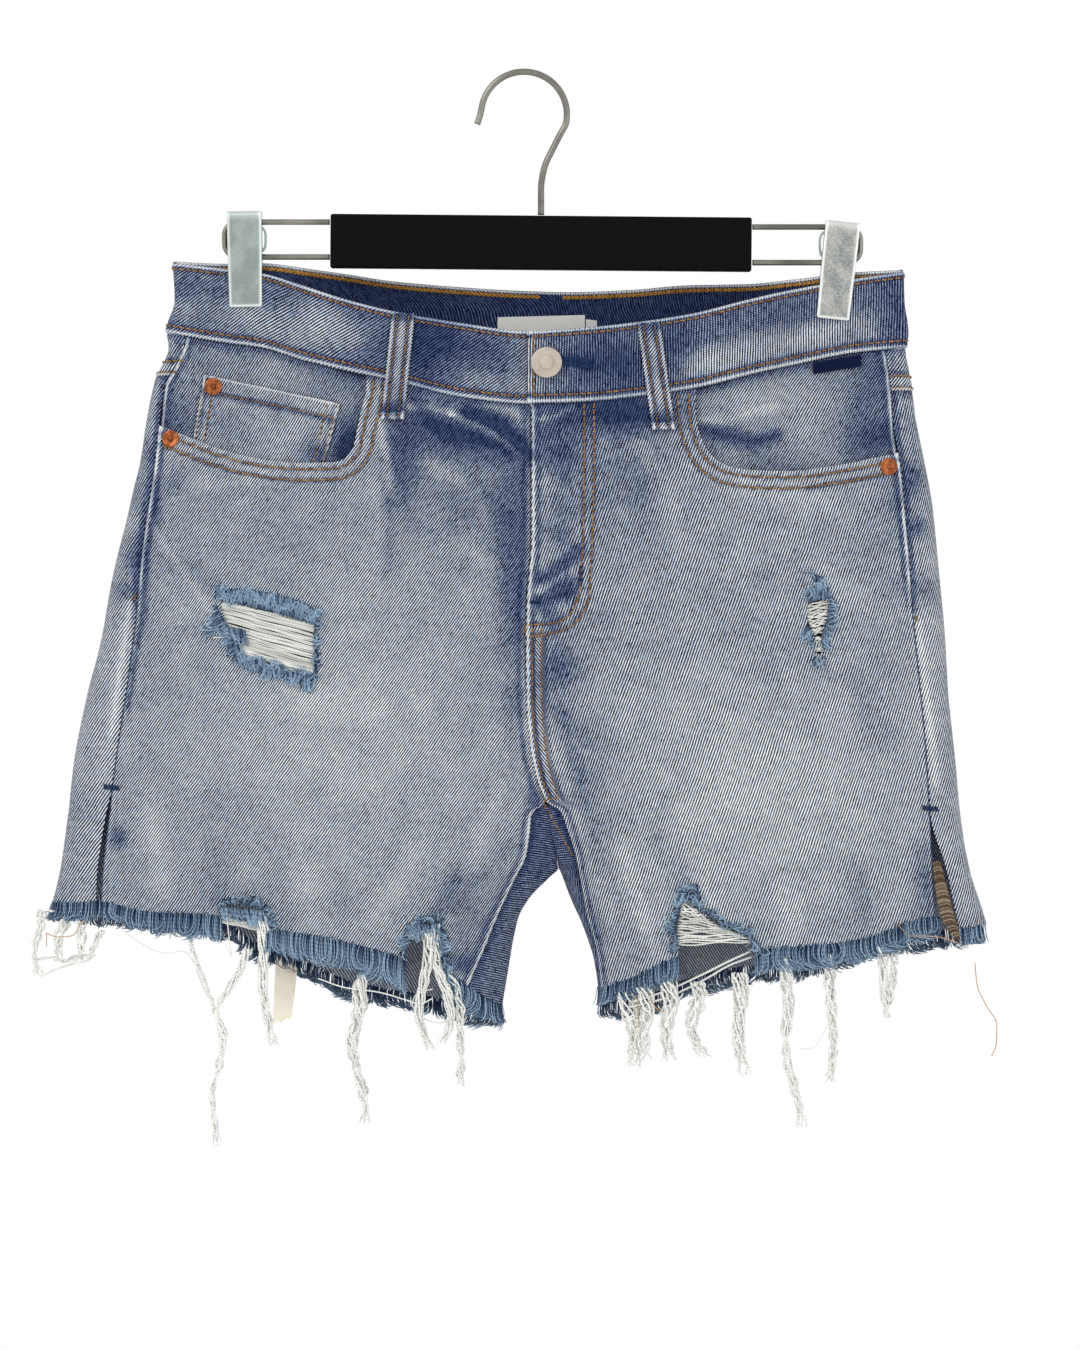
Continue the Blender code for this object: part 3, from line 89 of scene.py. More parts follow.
# level; x of the right side seam on the front face; of the left
SIDE_SEAM = [
    (-98, -184, 197), (-145.8, -186.1, 198), (-161.7, -192.5, 200.3), (-172.2, -197.6, 201.5),
    (-192.5, -200.4, 203), (-217.3, -203.2, 207), (-264.6, -210, 211.2), (-297.6, -213, 213.7),
    (-334.4, -217.6, 217.3), (-369.6, -223, 220.6), (-401, -227, 222.5), (-450.5, -232, 225),
    (-475, -232.6, 226.4),
]
# level; opening of the right vent; of the left
VENT = [(-393.8, 0, 0), (-406.5, 1.6, 0.2), (-437.3, 2.8, 7.6), (-475, 1.4, 13.4)]
# level; x of the right inseam on the front face; of the left
INSEAM = [
    (-400.4, 12.6, 13), (-404, 6.4, 19.5), (-407, 4.4, 21), (-414, 3.7, 23.5), (-429, 1.5, 28.1),
    (-442.8, -5, 30.8), (-461, -13.6, 34), (-481.3, -21.8, 39.6), (-502.2, -30.8, 42.2), (-524, -38, 43.4),
]
# x; top edge of the band at the front; at the back; lower edge at the front; at the back
BAND = [
    (-197, -103.2, -102.3, -141.9, -141.9), (-162.8, -107, -103.7, -147.7, -143.7),
    (-144.1, -109.2, -103.4, -150.2, -145.1), (-122.7, -115.8, -105.7, -156.8, -147.8),
    (-100.7, -123.2, -108.4, -162.5, -150.8), (-72.6, -130.4, -112.6, -168.6, -155.2),
    (-34.7, -137, -115.9, -177.7, -158.5), (1.7, -141.5, -118, -181.5, -160.5),
    (25.3, -140.3, -118.6, -181, -161), (58.3, -137, -117.4, -177.9, -160),
    (91.3, -132, -114.8, -173.3, -158), (124.3, -123.8, -114.2, -165.3, -155.6),
    (149.1, -118, -112.2, -159.5, -154), (182.1, -112.2, -108.4, -152.9, -151.4),
    (211, -108.2, -106.9, -150.2, -150),
]
# x; level of the hem's cut edge
HEM_FRONT = [
    (-264, -455), (-231, -454.6), (-207.4, -459.5), (-167.8, -461.5), (-139.2, -468.6), (-108.9, -473.6),
    (-80.9, -480.4), (-60.5, -487), (-40.7, -494), (-12, -511), (14, -511.5), (40.7, -502.2),
    (59.4, -495.6), (84.2, -484.6), (135.9, -479.6), (170.5, -476.9), (190.3, -473), (223.9, -462.8),
    (239.8, -469), (258, -465.8),
]
HEM_BACK = [
    (-264, -456), (-165, -467), (-150.7, -476.3), (-123.2, -487.3), (-94.6, -499.6), (-66.6, -504.8),
    (-40.7, -509.9), (-12.1, -514), (14, -514), (41.8, -509.9), (63.8, -507.8), (91.3, -497.7),
    (121.6, -491), (149.1, -489), (179.3, -481), (206.8, -474.7), (258, -466.5),
]
# soft folds: start x, z; end x, z; half width; height
FOLDS = {
    "front": [
        (-190, -150, -150, -158, 9, 1.6), (-60, -196, -8, -250, 12, 1.4), (-40, -190, -2, -214, 7, -1.2),
        (14, -262, 24, -300, 8, 1.4), (22, -330, 52, -470, 15, 2.6), (44, -400, 66, -480, 12, -1.8),
        (-22, -420, -66, -478, 13, 2.4), (-6, -400, -40, -450, 9, -1.8), (60, -296, 180, -286, 20, 1.4),
        (-190, -260, -120, -280, 14, 1.4), (214, -408, 222, -460, 12, 1.6),
    ],
    "back": [
        (20, -330, 110, -420, 16, 2.4), (10, -330, -90, -420, 16, 2.4), (30, -400, 60, -490, 14, -2),
        (-10, -410, -60, -490, 14, -2), (-190, -250, -110, -262, 15, 1.6), (120, -255, 205, -262, 15, 1.6),
    ],
}
# finer creases, laid over the folds: the same columns
CREASES = {
    "front": [
        (-58, -188, -22, -196, 3.6, 0.7), (-52, -198, -14, -212, 3.4, -0.7),
        (-64, -208, -20, -232, 4.2, 0.6), (-30, -222, -2, -250, 4, -0.6), (-40, -252, -4, -282, 5, 0.5),
        (-82, -218, -78, -262, 4, 0.5), (-68, -214, -64, -250, 3.6, -0.45), (10, -190, 27, -200, 3, 0.6),
        (8, -206, 28, -212, 3, -0.6), (8, -222, 28, -236, 3.2, 0.6), (8, -246, 26, -258, 3.2, -0.6),
        (10, -272, 28, -276, 3, 0.8), (10, -282, 26, -290, 2.6, -0.8), (60, -200, 74, -222, 4.6, 0.5),
        (80, -226, 84, -264, 5, 0.4), (4, -330, 40, -372, 5, -0.5), (2, -350, 34, -402, 4.6, 0.5),
        (30, -404, 46, -470, 5, 0.8), (52, -420, 72, -486, 5.4, 0.7), (66, -410, 92, -452, 6, -0.5),
        (96, -440, 112, -480, 7, 0.6), (-12, -392, -32, -440, 4.6, 0.7), (-34, -436, -62, -484, 5, -0.8),
        (-54, -420, -88, -474, 6, 0.6), (-8, -356, -44, -392, 5, 0.4), (-206, -400, -196, -458, 7, 0.7),
        (-170, -420, -164, -460, 8, -0.6), (-120, -430, -112, -474, 8, 0.5),
        (-196, -222, -150, -232, 5, 0.5), (-204, -262, -160, -286, 6, -0.5),
        (-150, -340, -60, -352, 9, 0.4), (100, -226, 180, -236, 6, 0.5), (150, -270, 206, -300, 7, 0.5),
        (180, -330, 200, -372, 9, -0.5), (140, -440, 150, -476, 8, 0.6), (178, -430, 190, -470, 7, -0.5),
    ],
    "back": [
        (16, -240, 60, -262, 6, 0.5), (10, -244, -40, -268, 6, 0.5), (22, -390, 70, -396, 5, -0.8),
        (20, -404, 84, -420, 5, 0.8), (12, -392, -50, -402, 5, -0.8), (14, -410, -60, -430, 5, 0.8),
        (60, -430, 74, -496, 7, 0.7), (-40, -440, -54, -500, 7, 0.7), (120, -400, 128, -480, 9, 0.6),
        (-120, -400, -126, -476, 9, 0.6), (190, -300, 200, -400, 9, -0.6),
        (-190, -300, -198, -400, 9, -0.6),
    ],
}
# outlines and edges as (x, z) points
POCKET_RIGHT = [
    (-86, -160), (-86.4, -173.3), (-88.6, -183), (-91.3, -195), (-93.4, -205), (-97.4, -210.8),
    (-104, -213.4), (-123.2, -213.8), (-143, -211.8), (-164.5, -206.8), (-184, -199.4), (-198, -193.9),
    (-211, -189.2),
]
POCKET_LEFT = [
    (94.6, -164), (94, -180), (94.8, -192), (98.6, -203.4), (104.6, -211.6), (113.3, -216), (127, -218),
    (145, -218.3), (170, -215.4), (190.3, -211.5), (205.2, -208.2), (226, -203.4),
]
RIP_RIGHT = [
    (-167.2, -288.8), (-150.7, -292.1), (-131.5, -297), (-114.4, -302.5), (-116.1, -331.7),
    (-134.2, -325.6), (-153.5, -319), (-157.9, -310.8), (-162.8, -299.8),
]
RIP_LEFT = [
    (155.1, -289.8), (167.2, -288.1), (166.1, -302.5), (162.8, -310.8), (163.9, -319), (160.1, -319),
    (158.4, -308), (154.6, -302.5),
]
NOTCH_LEFT = [
    (84.2, -480), (82.5, -468.3), (85.8, -454.9), (89.7, -447.2), (95.2, -448.3), (96.3, -459.3),
    (106.2, -464.2), (121.6, -471.9), (129.8, -482.4), (129.8, -500), (84.2, -503),
]
NOTCH_RIGHT_OUTER = [
    (-166.7, -480), (-166.1, -456.5), (-156.2, -454.9), (-142.5, -457.6), (-139.7, -467.5), (-139.7, -485),
]
NOTCH_RIGHT_INNER = [
    (-66.6, -508), (-66, -483), (-61, -471), (-57.2, -464.8), (-47.3, -464.8), (-45.7, -481.3),
    (-40.6, -493), (-40.6, -512),
]
# the fly's two J-shaped rows of stitches
FLY_OUTER = [
    (38.4, -181), (38.4, -216.7), (37.7, -246.4), (36.9, -266.2), (35.8, -285.5), (31.9, -296.5),
    (24.2, -304.2), (10.5, -308), (2.5, -309.1),
]
FLY_INNER = [
    (33, -181.5), (33, -216.7), (32.5, -256.3), (31.4, -269), (30, -284.4), (25.1, -296.5), (16.3, -301.4),
    (1.7, -302.8),
]
COIN = ((-176, -164.5), (-100.7, -181.3), (-182.8, -208), (-110.6, -219))
BUTTONHOLE = [(20.6, -158), (29, -159.2), (36, -160.6)]
# light and dark areas: x; z; reach across; reach down; lighter (+) or darker (-). The lighter are the wash's
# fades; the darker are partly deeper dye and partly painted shade in folds, under the band, yoke and belt
# loops and beside the fly
WASH_AND_SHADE = {
    "front": [
        (-105, -362, 80, 92, 0.1), (-140, -252, 50, 22, -0.05), (120, -400, 80, 70, 0.17),
        (120, -250, 70, 36, 0.03), (-30, -240, 30, 40, -0.12), (-8, -262, 8, 50, -0.3),
        (-66, -206, 10, 22, -0.45), (-74, -250, 4, 30, -0.14), (-34, -196, 30, 14, -0.52),
        (-50, -186, 13, 7, -0.26), (19, -196, 12, 17, -0.42), (22, -236, 10, 34, -0.18),
        (52, -187, 28, 9, -0.72), (104, -184, 26, 7, -0.2), (22, -280, 8, 5, -0.55),
        (56, -222, 26, 40, -0.17), (20, -324, 9, 14, -0.34), (38, -388, 20, 34, -0.1),
        (-6, -340, 6, 50, -0.1), (5, -399, 5, 9, -0.3), (-28, -462, 16, 30, -0.14), (-33, -488, 6, 5, -0.4),
        (205, -232, 5, 18, -0.12), (208, -290, 4, 30, -0.04), (196, -270, 10, 50, -0.06),
        (-202, -238, 3.4, 16, -0.3), (-207, -209, 4, 7, -0.3), (-216, -245, 6, 8, 0.2),
        (-214, -266, 6, 7, -0.28), (-219, -284, 7, 5, -0.32), (213, -222, 4.5, 9, -0.42),
        (216, -249, 5, 6, -0.42), (226, -266, 5, 9, 0.14), (220, -284, 6, 7, -0.2),
        (-190, -224, 10, 7, -0.2), (-208, -280, 4, 44, -0.14), (-222, -419, 4.5, 6, -0.32),
        (219, -440, 6, 18, -0.22), (-232, -330, 12, 60, 0.04), (-214, -246, 6, 26, -0.1),
        (222, -320, 12, 70, 0.12), (-160, -230, 14, 4, -0.14), (-150, -456, 90, 10, -0.04),
        (150, -468, 90, 10, -0.04),
    ],
    "back": [
        (-100, -400, 80, 60, 0.12), (125, -400, 80, 60, 0.12), (-85, -300, 60, 60, 0.12),
        (110, -300, 60, 60, 0.12), (13, -330, 14, 110, -0.22), (30, -410, 40, 16, -0.18),
        (-6, -410, 40, 16, -0.18), (-212, -300, 16, 120, -0.14), (218, -300, 16, 120, -0.14),
        (10, -186, 200, 12, -0.14), (-95, -350, 60, 80, 0.1), (120, -350, 60, 80, 0.1),
        (13, -214, 90, 12, -0.2), (-150, -192, 50, 12, -0.16), (176, -194, 50, 12, -0.16),
    ],
}
# the band's: x; level from its top; reach along; reach down; lighter or darker. The darker are partly deeper
# dye and partly painted shade beside the belt loops and the band's lapped end
BAND_WASH_AND_SHADE = [
    (-170, 24, 50, 10, 0.16), (-170, 12, 40, 6, -0.1), (-120, 26, 30, 12, 0.12), (-104, 16, 18, 12, 0.2),
    (-84, 30, 24, 10, -0.16), (-52, 10, 22, 14, -0.56), (-54, 30, 10, 10, -0.3), (-22, 30, 22, 8, 0.16),
    (-20, 14, 18, 10, -0.16), (8, 18, 14, 20, 0.2), (34, 16, 26, 14, -0.26), (54, 24, 16, 14, -0.34),
    (82, 18, 10, 24, -0.26), (100, 30, 20, 12, 0.12), (140, 28, 50, 10, 0.26), (130, 14, 50, 7, -0.14),
    (180, 22, 40, 9, 0.06), (205, 20, 10, 20, -0.3),
]
# the facings': the same columns as the wash; the darkest spots, close to the pockets' edges, are painted
# shade
FACING_WASH_AND_SHADE = {
    "right": [(-150, -168, 40, 12, 0.1), (-196, -190, 12, 20, -0.16), (-94, -208, 9, 14, -1.1)],
    "left": [
        (140, -178, 40, 10, 0.2), (150, -196, 30, 10, 0.1), (193, -199, 12, 9, -0.4),
        (190, -176, 14, 16, -0.22),
        (196, -162, 10, 6, -0.2),
    ],
}
# light streaks, partly worn and partly painted highlight on crests, and dark ones, painted shade in the
# hollows beside them and along the back pockets' tops: (x, z) along it; half-width; lighter or darker
STREAKS = {
    "front": [
        ([(-40.7, -184), (-22.5, -188)], 4, 0.06),
        ([(-30, -186), (-13, -193), (-4, -202.5), (2, -210)], 3.8, -0.85),
        ([(-20, -181), (-6, -186), (1, -194)], 3.6, 0.22),
        ([(-40, -186.8), (-22.5, -194.5), (-10.5, -202), (1, -212)], 1.6, 0.5),
        ([(-52, -192), (-36, -197.5), (-20, -202), (-7, -209)], 3.4, -0.42),
        ([(-63, -183.5), (-53, -183.5), (-40, -186.8)], 2.4, 0.44),
        ([(-1.5, -216), (-2, -262), (-3, -310)], 3.4, -0.2),
        ([(8.5, -190.5), (18, -188), (26, -184.5)], 1.8, 0.4),
        ([(9, -205), (17, -203), (25, -197)], 1.8, 0.16),
        ([(9, -277), (20, -271), (30, -262)], 3.4, -0.5),
        ([(8, -289.5), (16, -288), (26, -285)], 3, -0.46),
        ([(11.5, -294), (17, -300)], 4.6, -0.3),
        ([(6, -284.5), (13, -281.5), (20, -277)], 1.8, 0.24),
        ([(-80, -190), (-75.5, -207), (-73, -226)], 2.4, 0.26),
        ([(-60, -176), (-57, -184)], 4, -0.4),
        ([(44, -181), (60, -184.5), (74, -190)], 3.6, -0.3),
        ([(28, -369), (42, -412), (53, -450), (61, -487)], 5, -0.03),
        ([(19.5, -349), (33, -399), (39.7, -437), (42, -475)], 4.6, -0.14),
        ([(-38, -459), (-20, -440), (-8, -425)], 4, -0.12),
        ([(-52, -474), (-30, -452), (-14, -436)], 3, 0.1),
        ([(-206, -240), (-200, -255), (-184, -276), (-170, -297)], 1.8, 0.15),
        ([(-208, -292), (-213, -320), (-217, -348)], 1.6, -0.26),
        ([(-216, -290), (-222, -330), (-226, -362)], 2, 0.26),
        ([(216, -300), (222, -350), (226, -390)], 2, 0.22),
        ([(-10, -300), (-24, -330), (-30, -372)], 6, -0.05),
    ],
    "back": [
        ([(-40, -402), (-90, -414), (-150, -410)], 3, 0.16),
        ([(66, -402), (116, -414), (176, -410)], 3, 0.16),
        ([(-18, -232), (-146, -232)], 2.6, -0.24),
        ([(46, -232), (174, -232)], 2.6, -0.24),
    ],
}
# streaks on the left facing: the same columns; the dark one, just inside the pocket's mouth, is painted shade
FACING_STREAKS = [
    ([(98, -195), (111, -198.5), (127, -202), (139, -198)], 3.2, -0.5),
    ([(98, -190.5), (112, -189.5), (138, -183)], 2.6, 0.2),
]


# ---- numbers along lines and over grids ----
def curve(table, key=0, value=1):
    """A smooth function through two of a table's columns that never overshoots its rows."""
    rows = sorted((row[key], row[value]) for row in table)
    xs, ys = (np.array(c, float) for c in zip(*rows))
    step, rise = np.diff(xs), np.diff(ys) / np.diff(xs)
    slope = np.zeros_like(xs)
    slope[0], slope[-1] = rise[0], rise[-1]
    same = rise[1:] * rise[:-1] > 0
    slope[1:-1] = np.where(same, 2 * rise[1:] * rise[:-1] / np.where(same, rise[1:] + rise[:-1], 1), 0)

    def at(x):
        x = np.clip(np.asarray(x, float), xs[0], xs[-1])
        i = np.clip(np.searchsorted(xs, x) - 1, 0, len(xs) - 2)
        h = step[i]
        t = (x - xs[i]) / h
        low, high = ys[i] * (1 + 2 * t) * (1 - t) ** 2, ys[i + 1] * t * t * (3 - 2 * t)
        return low + high + h * slope[i] * t * (1 - t) ** 2 - h * slope[i + 1] * t * t * (1 - t)

    return at


def smoothstep(low, high, x):
    t = np.clip((np.asarray(x, float) - low) / (high - low), 0, 1)
    return t * t * (3 - 2 * t)


def lerp(a, b, t):
    return a + (b - a) * t


def bump(d, middle, width):
    return np.exp(-(((d - middle) / width) ** 2))


def unit(vectors):
    return vectors / (np.linalg.norm(vectors, axis=-1, keepdims=True) + 1e-9)


def together(*values):
    """The values as arrays of numbers of one shape."""
    return np.broadcast_arrays(*(np.asarray(value, float) for value in values))


def lumps(x, z, size, seed):
    """Smooth random heights from -1 to 1, about size millimetres across."""
    lattice = np.random.default_rng(seed).uniform(-1, 1, (128, 128))
    u, v = np.asarray(x) / size + 1280, np.asarray(z) / size + 1280
    i, j = np.floor(u).astype(int), np.floor(v).astype(int)
    a, b = smoothstep(0, 1, u - i), smoothstep(0, 1, v - j)
    low, high = (lerp(lattice[i % 128, k % 128], lattice[(i + 1) % 128, k % 128], a) for k in (j, j + 1))
    return lerp(low, high, b)


def lengths(points):
    """The length along lines of points, from 0 at their first. The last axis holds the coordinates."""
    step = np.linalg.norm(np.diff(points, axis=-2), axis=-1)
    return np.concatenate([np.zeros((*step.shape[:-1], 1)), np.cumsum(step, axis=-1)], axis=-1)


def points_at(line, length, where):
    """Points of a line at places along it. length says how far along its own points are."""
    return np.stack([np.interp(where, length, column) for column in np.transpose(line)], axis=-1)


def nearest(line, x, z):
    """Distance to an open line of (x, z) corners, length along it, and which side: +1 to its left."""
    line = np.asarray(line, float)
    best = np.full(np.shape(x), 1e9)
    along, side = np.zeros_like(best), np.ones_like(best)
    start = 0.0
    for (x0, z0), (x1, z1) in zip(line, line[1:]):
        dx, dz = x1 - x0, z1 - z0
        length = math.hypot(dx, dz)
        t = np.clip(((x - x0) * dx + (z - z0) * dz) / length**2, 0, 1)
        d = np.hypot(x - x0 - t * dx, z - z0 - t * dz)
        closer = d < best
        best = np.where(closer, d, best)
        along = np.where(closer, start + t * length, along)
        side = np.where(closer, np.where(dx * (z - z0) - dz * (x - x0) >= 0, 1.0, -1.0), side)
        start += length
    return best, along, side


def smooth_line(corners, step=0.5):
    """A line through the corners as evenly spaced points, rounded at the corners."""
    corners = np.asarray(corners, float)
    s = lengths(corners)
    t = np.linspace(0, s[-1], max(int(s[-1] / step), 2) + 1)
    return np.column_stack([curve(list(zip(s, column)))(t) for column in corners.T])


def spread(length, cell, fine=(0.3, 0.4, 0.5, 0.6, 0.7, 0.9, 1.1, 1.3)):
    """Shares from 0 to 1 along a length, with fine steps at both ends and cells between."""
    edge = np.concatenate([[0], np.cumsum(fine)])
    count = max(int(round((length - 2 * edge[-1]) / cell)), 2)
    middle = np.linspace(edge[-1], length - edge[-1], count + 1)[1:-1]
    return np.concatenate([edge, middle, length - edge[::-1]]) / length


def two_faced(table, front, back):
    """A function of f and x that follows one of a table's columns on the front and another on the back."""
    front, back = curve(table, 0, front), curve(table, 0, back)
    return lambda f, x: np.where(f < 1, front(x), back(x))


FRONT_DEPTH, BACK_DEPTH, FOLD_RADIUS = (curve(SWELL, 0, k) for k in (1, 2, 3))
BAND_TOP_FRONT, BAND_LOW_FRONT, BAND_LOW_BACK = (curve(BAND, 0, k) for k in (1, 3, 4))
FRONT_CENTRE, BACK_CENTRE = curve(CENTRE, 0, 1), curve(CENTRE, 0, 2)
HEM_AT = {"front": curve(HEM_FRONT), "back": curve(HEM_BACK)}
band_top, band_low = two_faced(BAND, 1, 2), two_faced(BAND, 3, 4)


def hem_level(f, x):
    return np.where(f < 1, HEM_AT["front"](x), HEM_AT["back"](x))


# ---- the body's surface ----
def section(distance, radius, reach, depth):
    """Depth of the cloth at a distance from a folded edge: a round fold, then a slow swell."""
    near = 1 - np.clip(distance / radius, 0, 1)
    far = 1 - np.clip(distance / reach, 0, 1)
    return radius * np.sqrt(1 - near**2) + (depth - radius) * (1 - far**2)


def fold_height(rows, x, z):
    total = np.zeros_like(x)
    for x0, z0, x1, z1, width, height in rows:
        dx, dz = x1 - x0, z1 - z0
        length = math.hypot(dx, dz)
        t = ((x - x0) * dx + (z - z0) * dz) / length**2
        across = ((x - x0) * dz - (z - z0) * dx) / length
        ends = smoothstep(-0.15, 0.25, t) * (1 - smoothstep(0.75, 1.15, t))
        total += height * ends * bump(across, 0, width)
    return total


def relief(face, x, z):
    """The fine shape of a face over its smooth section: folds, creases and small lumps."""
    body = fold_height(FOLDS[face], x, z) + fold_height(CREASES[face], x, z)
    loose = smoothstep(-150, -215, z)
    body = body + (0.25 + 0.5 * loose) * lumps(x, z, 34, 3) + (0.14 + 0.16 * loose) * lumps(x, z * 0.7, 13, 5)
    return body + 0.06 * lumps(x, z, 5, 7)


class Half:
    """One half of the garment's outer surface. At each level z, f runs from the front's centre or inner edge
    (0) to the side (1) and on round to the back's centre (2)."""

    LEVELS = np.arange(-523.0, -97.0, 1.0)
    COUNT = 240
    XS = np.arange(-276.0, 276.5, 0.5)
    STIFF = 12.0  # the relief fades towards the side folds over this distance

    def __init__(self, side):
        column, self.sign = (1, -1) if side == "right" else (2, 1)
        cut = (OUTLINE, SIDE_SEAM, VENT, INSEAM)
        self.outer, self.side_seam, self.vent, self.inseam = (curve(table, 0, column) for table in cut)
        below, leg = self.LEVELS < CROTCH_Z, curve(INNER_LEG, 0, column)(self.LEVELS)
        front = self.arc("front", np.where(below, leg, FRONT_CENTRE(self.LEVELS)))
        back = self.arc("back", np.where(below, leg, BACK_CENTRE(self.LEVELS)))
        self.points = np.concatenate([front, back[:, ::-1][:, 1:]], axis=1)
        self.add_relief()
        self.measure()

    def arc(self, face, inner):
        """Rows of points from the inner edge to the outer, evenly spaced."""
        z, inner = self.LEVELS[:, None], inner[:, None]
        outer = self.outer(z)
        t = (1 - np.cos(np.linspace(0, math.pi, 500))) / 2
        x = inner + (outer - inner) * t
        depth = (FRONT_DEPTH if face == "front" else BACK_DEPTH)(z)
        y = section(np.abs(outer - x), FOLD_RADIUS(z), SIDE_SWELL_REACH, depth)
        share = np.sqrt(1 - (1 - np.clip((z - CROTCH_Z) / CROTCH_RISE, 0, 1)) ** 2)
        swell = section(np.abs(x - inner), INNER_RADIUS, INNER_SWELL_REACH, depth) / depth
        y = y * (1 - (1 - share) * (1 - swell))
        for middle in CLIP_MIDDLES:
            pinch = np.exp(-(((x - middle) / PINCH_REACH) ** 4)) * smoothstep(-215, -168, z)
            y = np.where(y > CLIP_DEPTH, CLIP_DEPTH + (y - CLIP_DEPTH) * (1 - pinch), y)
        rows = []
        for line in np.stack([x, y * (-1 if face == "front" else 1)], axis=-1):
            length = lengths(line)
            rows.append(points_at(line, length, np.linspace(0, length[-1], self.COUNT + 1)))
        rows = np.array(rows)
        return np.concatenate([rows, np.broadcast_to(z[..., None], rows[..., :1].shape)], axis=2)

    def add_relief(self):
        normals = self.outward()
        in_front = (np.arange(2 * self.COUNT + 1) <= self.COUNT)[None, :]
        x, z = self.points[..., 0], self.points[..., 2]
        lift = np.where(in_front, relief("front", x, z), relief("back", x, z))
        turn = np.minimum(np.abs(self.outer(self.LEVELS)[:, None] - x), self.STIFF) / self.STIFF
        self.points = self.points + normals * (lift * lerp(0.35, 1.0, turn))[..., None]

    def measure(self):
        """Tables of the normals, of lengths along the cloth, and of f at each x of the front and the back."""
        self.normals, self.lengths = self.outward(), lengths(self.points)
        middle = self.COUNT // 2
        start = self.points[:, middle, 0] - self.sign * self.lengths[:, middle]
        self.flat = self.sign * self.lengths + start[:, None]
        shares, outward_x = np.linspace(0, 1, self.COUNT + 1), self.points[..., 0] * self.sign

        def f_table(rows):
            rows = np.maximum.accumulate(rows, axis=1)
            return np.array([np.interp(self.XS * self.sign, row, shares) for row in rows])

        front, back = outward_x[:, : self.COUNT + 1], outward_x[:, self.COUNT :][:, ::-1]
        self.f_tables = {"front": f_table(front), "back": 2 - f_table(back)}

    def outward(self):
        across, up = np.gradient(self.points, axis=1), np.gradient(self.points, axis=0)
        return unit(np.cross(across, up) * self.sign)

    def sample(self, table, column, z):
        row = np.clip(np.asarray(z, float) - self.LEVELS[0], 0, len(self.LEVELS) - 1.001)
        column = np.clip(column, 0, table.shape[1] - 1.001)
        i, j = row.astype(int), column.astype(int)
        a, b = row - i, column - j
        if table.ndim == 3:
            a, b = a[..., None], b[..., None]
        near, far = lerp(table[i, j], table[i, j + 1], b), lerp(table[i + 1, j], table[i + 1, j + 1], b)
        return lerp(near, far, a)

    def at(self, f, z, out=0.0):
        """Points at f and level z, moved out along the surface's normals."""
        f, z, out = together(f, z, out)
        point, normal = (self.sample(table, f * self.COUNT, z) for table in (self.points, self.normals))
        point[..., 2] += np.minimum(z - self.LEVELS[0], 0)
        return point + unit(normal) * out[..., None]

    def x(self, f, z):
        return self.sample(self.points[..., 0], np.asarray(f) * self.COUNT, z)

    def f_on(self, face, x, z):
        return self.sample(self.f_tables[face], (np.asarray(x) - self.XS[0]) * 2, z)

    def front_f(self, x, z):
        return self.f_on("front", x, z)

    def seam_f(self, z):
        return self.front_f(self.side_seam(z), z)

    def vent_f(self, z):
        return self.front_f(self.side_seam(z) + self.sign * self.vent(z), z)

    def inseam_f(self, z):
        return np.where(z < CROSS_Z, self.front_f(self.inseam(z), z), 0.0)

    def step(self, f, z):
        """How much f a millimetre of cloth takes."""
        a, b = (self.sample(self.lengths, np.asarray(g) * self.COUNT, z) for g in (f, f + 0.01))
        return 0.01 / np.maximum(b - a, 1e-6)

    def settle(self, z, f_at, z_at, rounds=6):
        """f, x and z of a grid, from a first guess of z, where f depends on z, and z on f and x."""
        for _ in range(rounds):
            f = f_at(z)
            z = z_at(f, self.x(f, z))
        return f, self.x(f, z), z


RIGHT, LEFT = Half("right"), Half("left")
HALVES = {"right": RIGHT, "left": LEFT}


def on_face(face, x, z, out=0.0):
    """Points of the front or back at x and z, on whichever half they fall."""
    x, z, out = together(x, z, out)
    centre = (FRONT_CENTRE if face == "front" else BACK_CENTRE)(z)
    is_right = x < np.where(z > CROTCH_Z, centre, FORK_X)
    return np.where(is_right[..., None], *(half.at(half.f_on(face, x, z), z, out) for half in (RIGHT, LEFT)))


def on_front(x, z, out=0.0):
    return on_face("front", x, z, out)


def spots(rows, x, z):
    """The sum of soft oval spots: rows are (x, z, reach across, reach down, level)."""
    total = np.zeros_like(x)
    for cx, cz, reach_x, reach_z, level in rows:
        total += level * np.exp(-(((x - cx) / reach_x) ** 2) - ((z - cz) / reach_z) ** 2)
    return total


def streaks(rows, x, z):
    """The sum of soft streaks: rows are (line, half-width, level)."""
    return sum(level * bump(nearest(line, x, z)[0], 0, width) for line, width, level in rows)


def wash_and_shade_at(face, x, z):
    """How light the cloth is: listed fades and painted shade, then clouds, then its creases, worn and with
    painted shade.
    """
    clouds = 0.03 * lumps(x, z, 34, 21) + 0.03 * lumps(x, z * 1.4, 11, 22) + 0.03 * lumps(x, z, 4, 23)
    fades = spots(WASH_AND_SHADE[face], x, z) + clouds + streaks(STREAKS[face], x, z)
    # crests of the creases lighter and their troughs darker: partly wear, partly painted shade
    return fades + 0.18 * fold_height(CREASES[face], x, z)


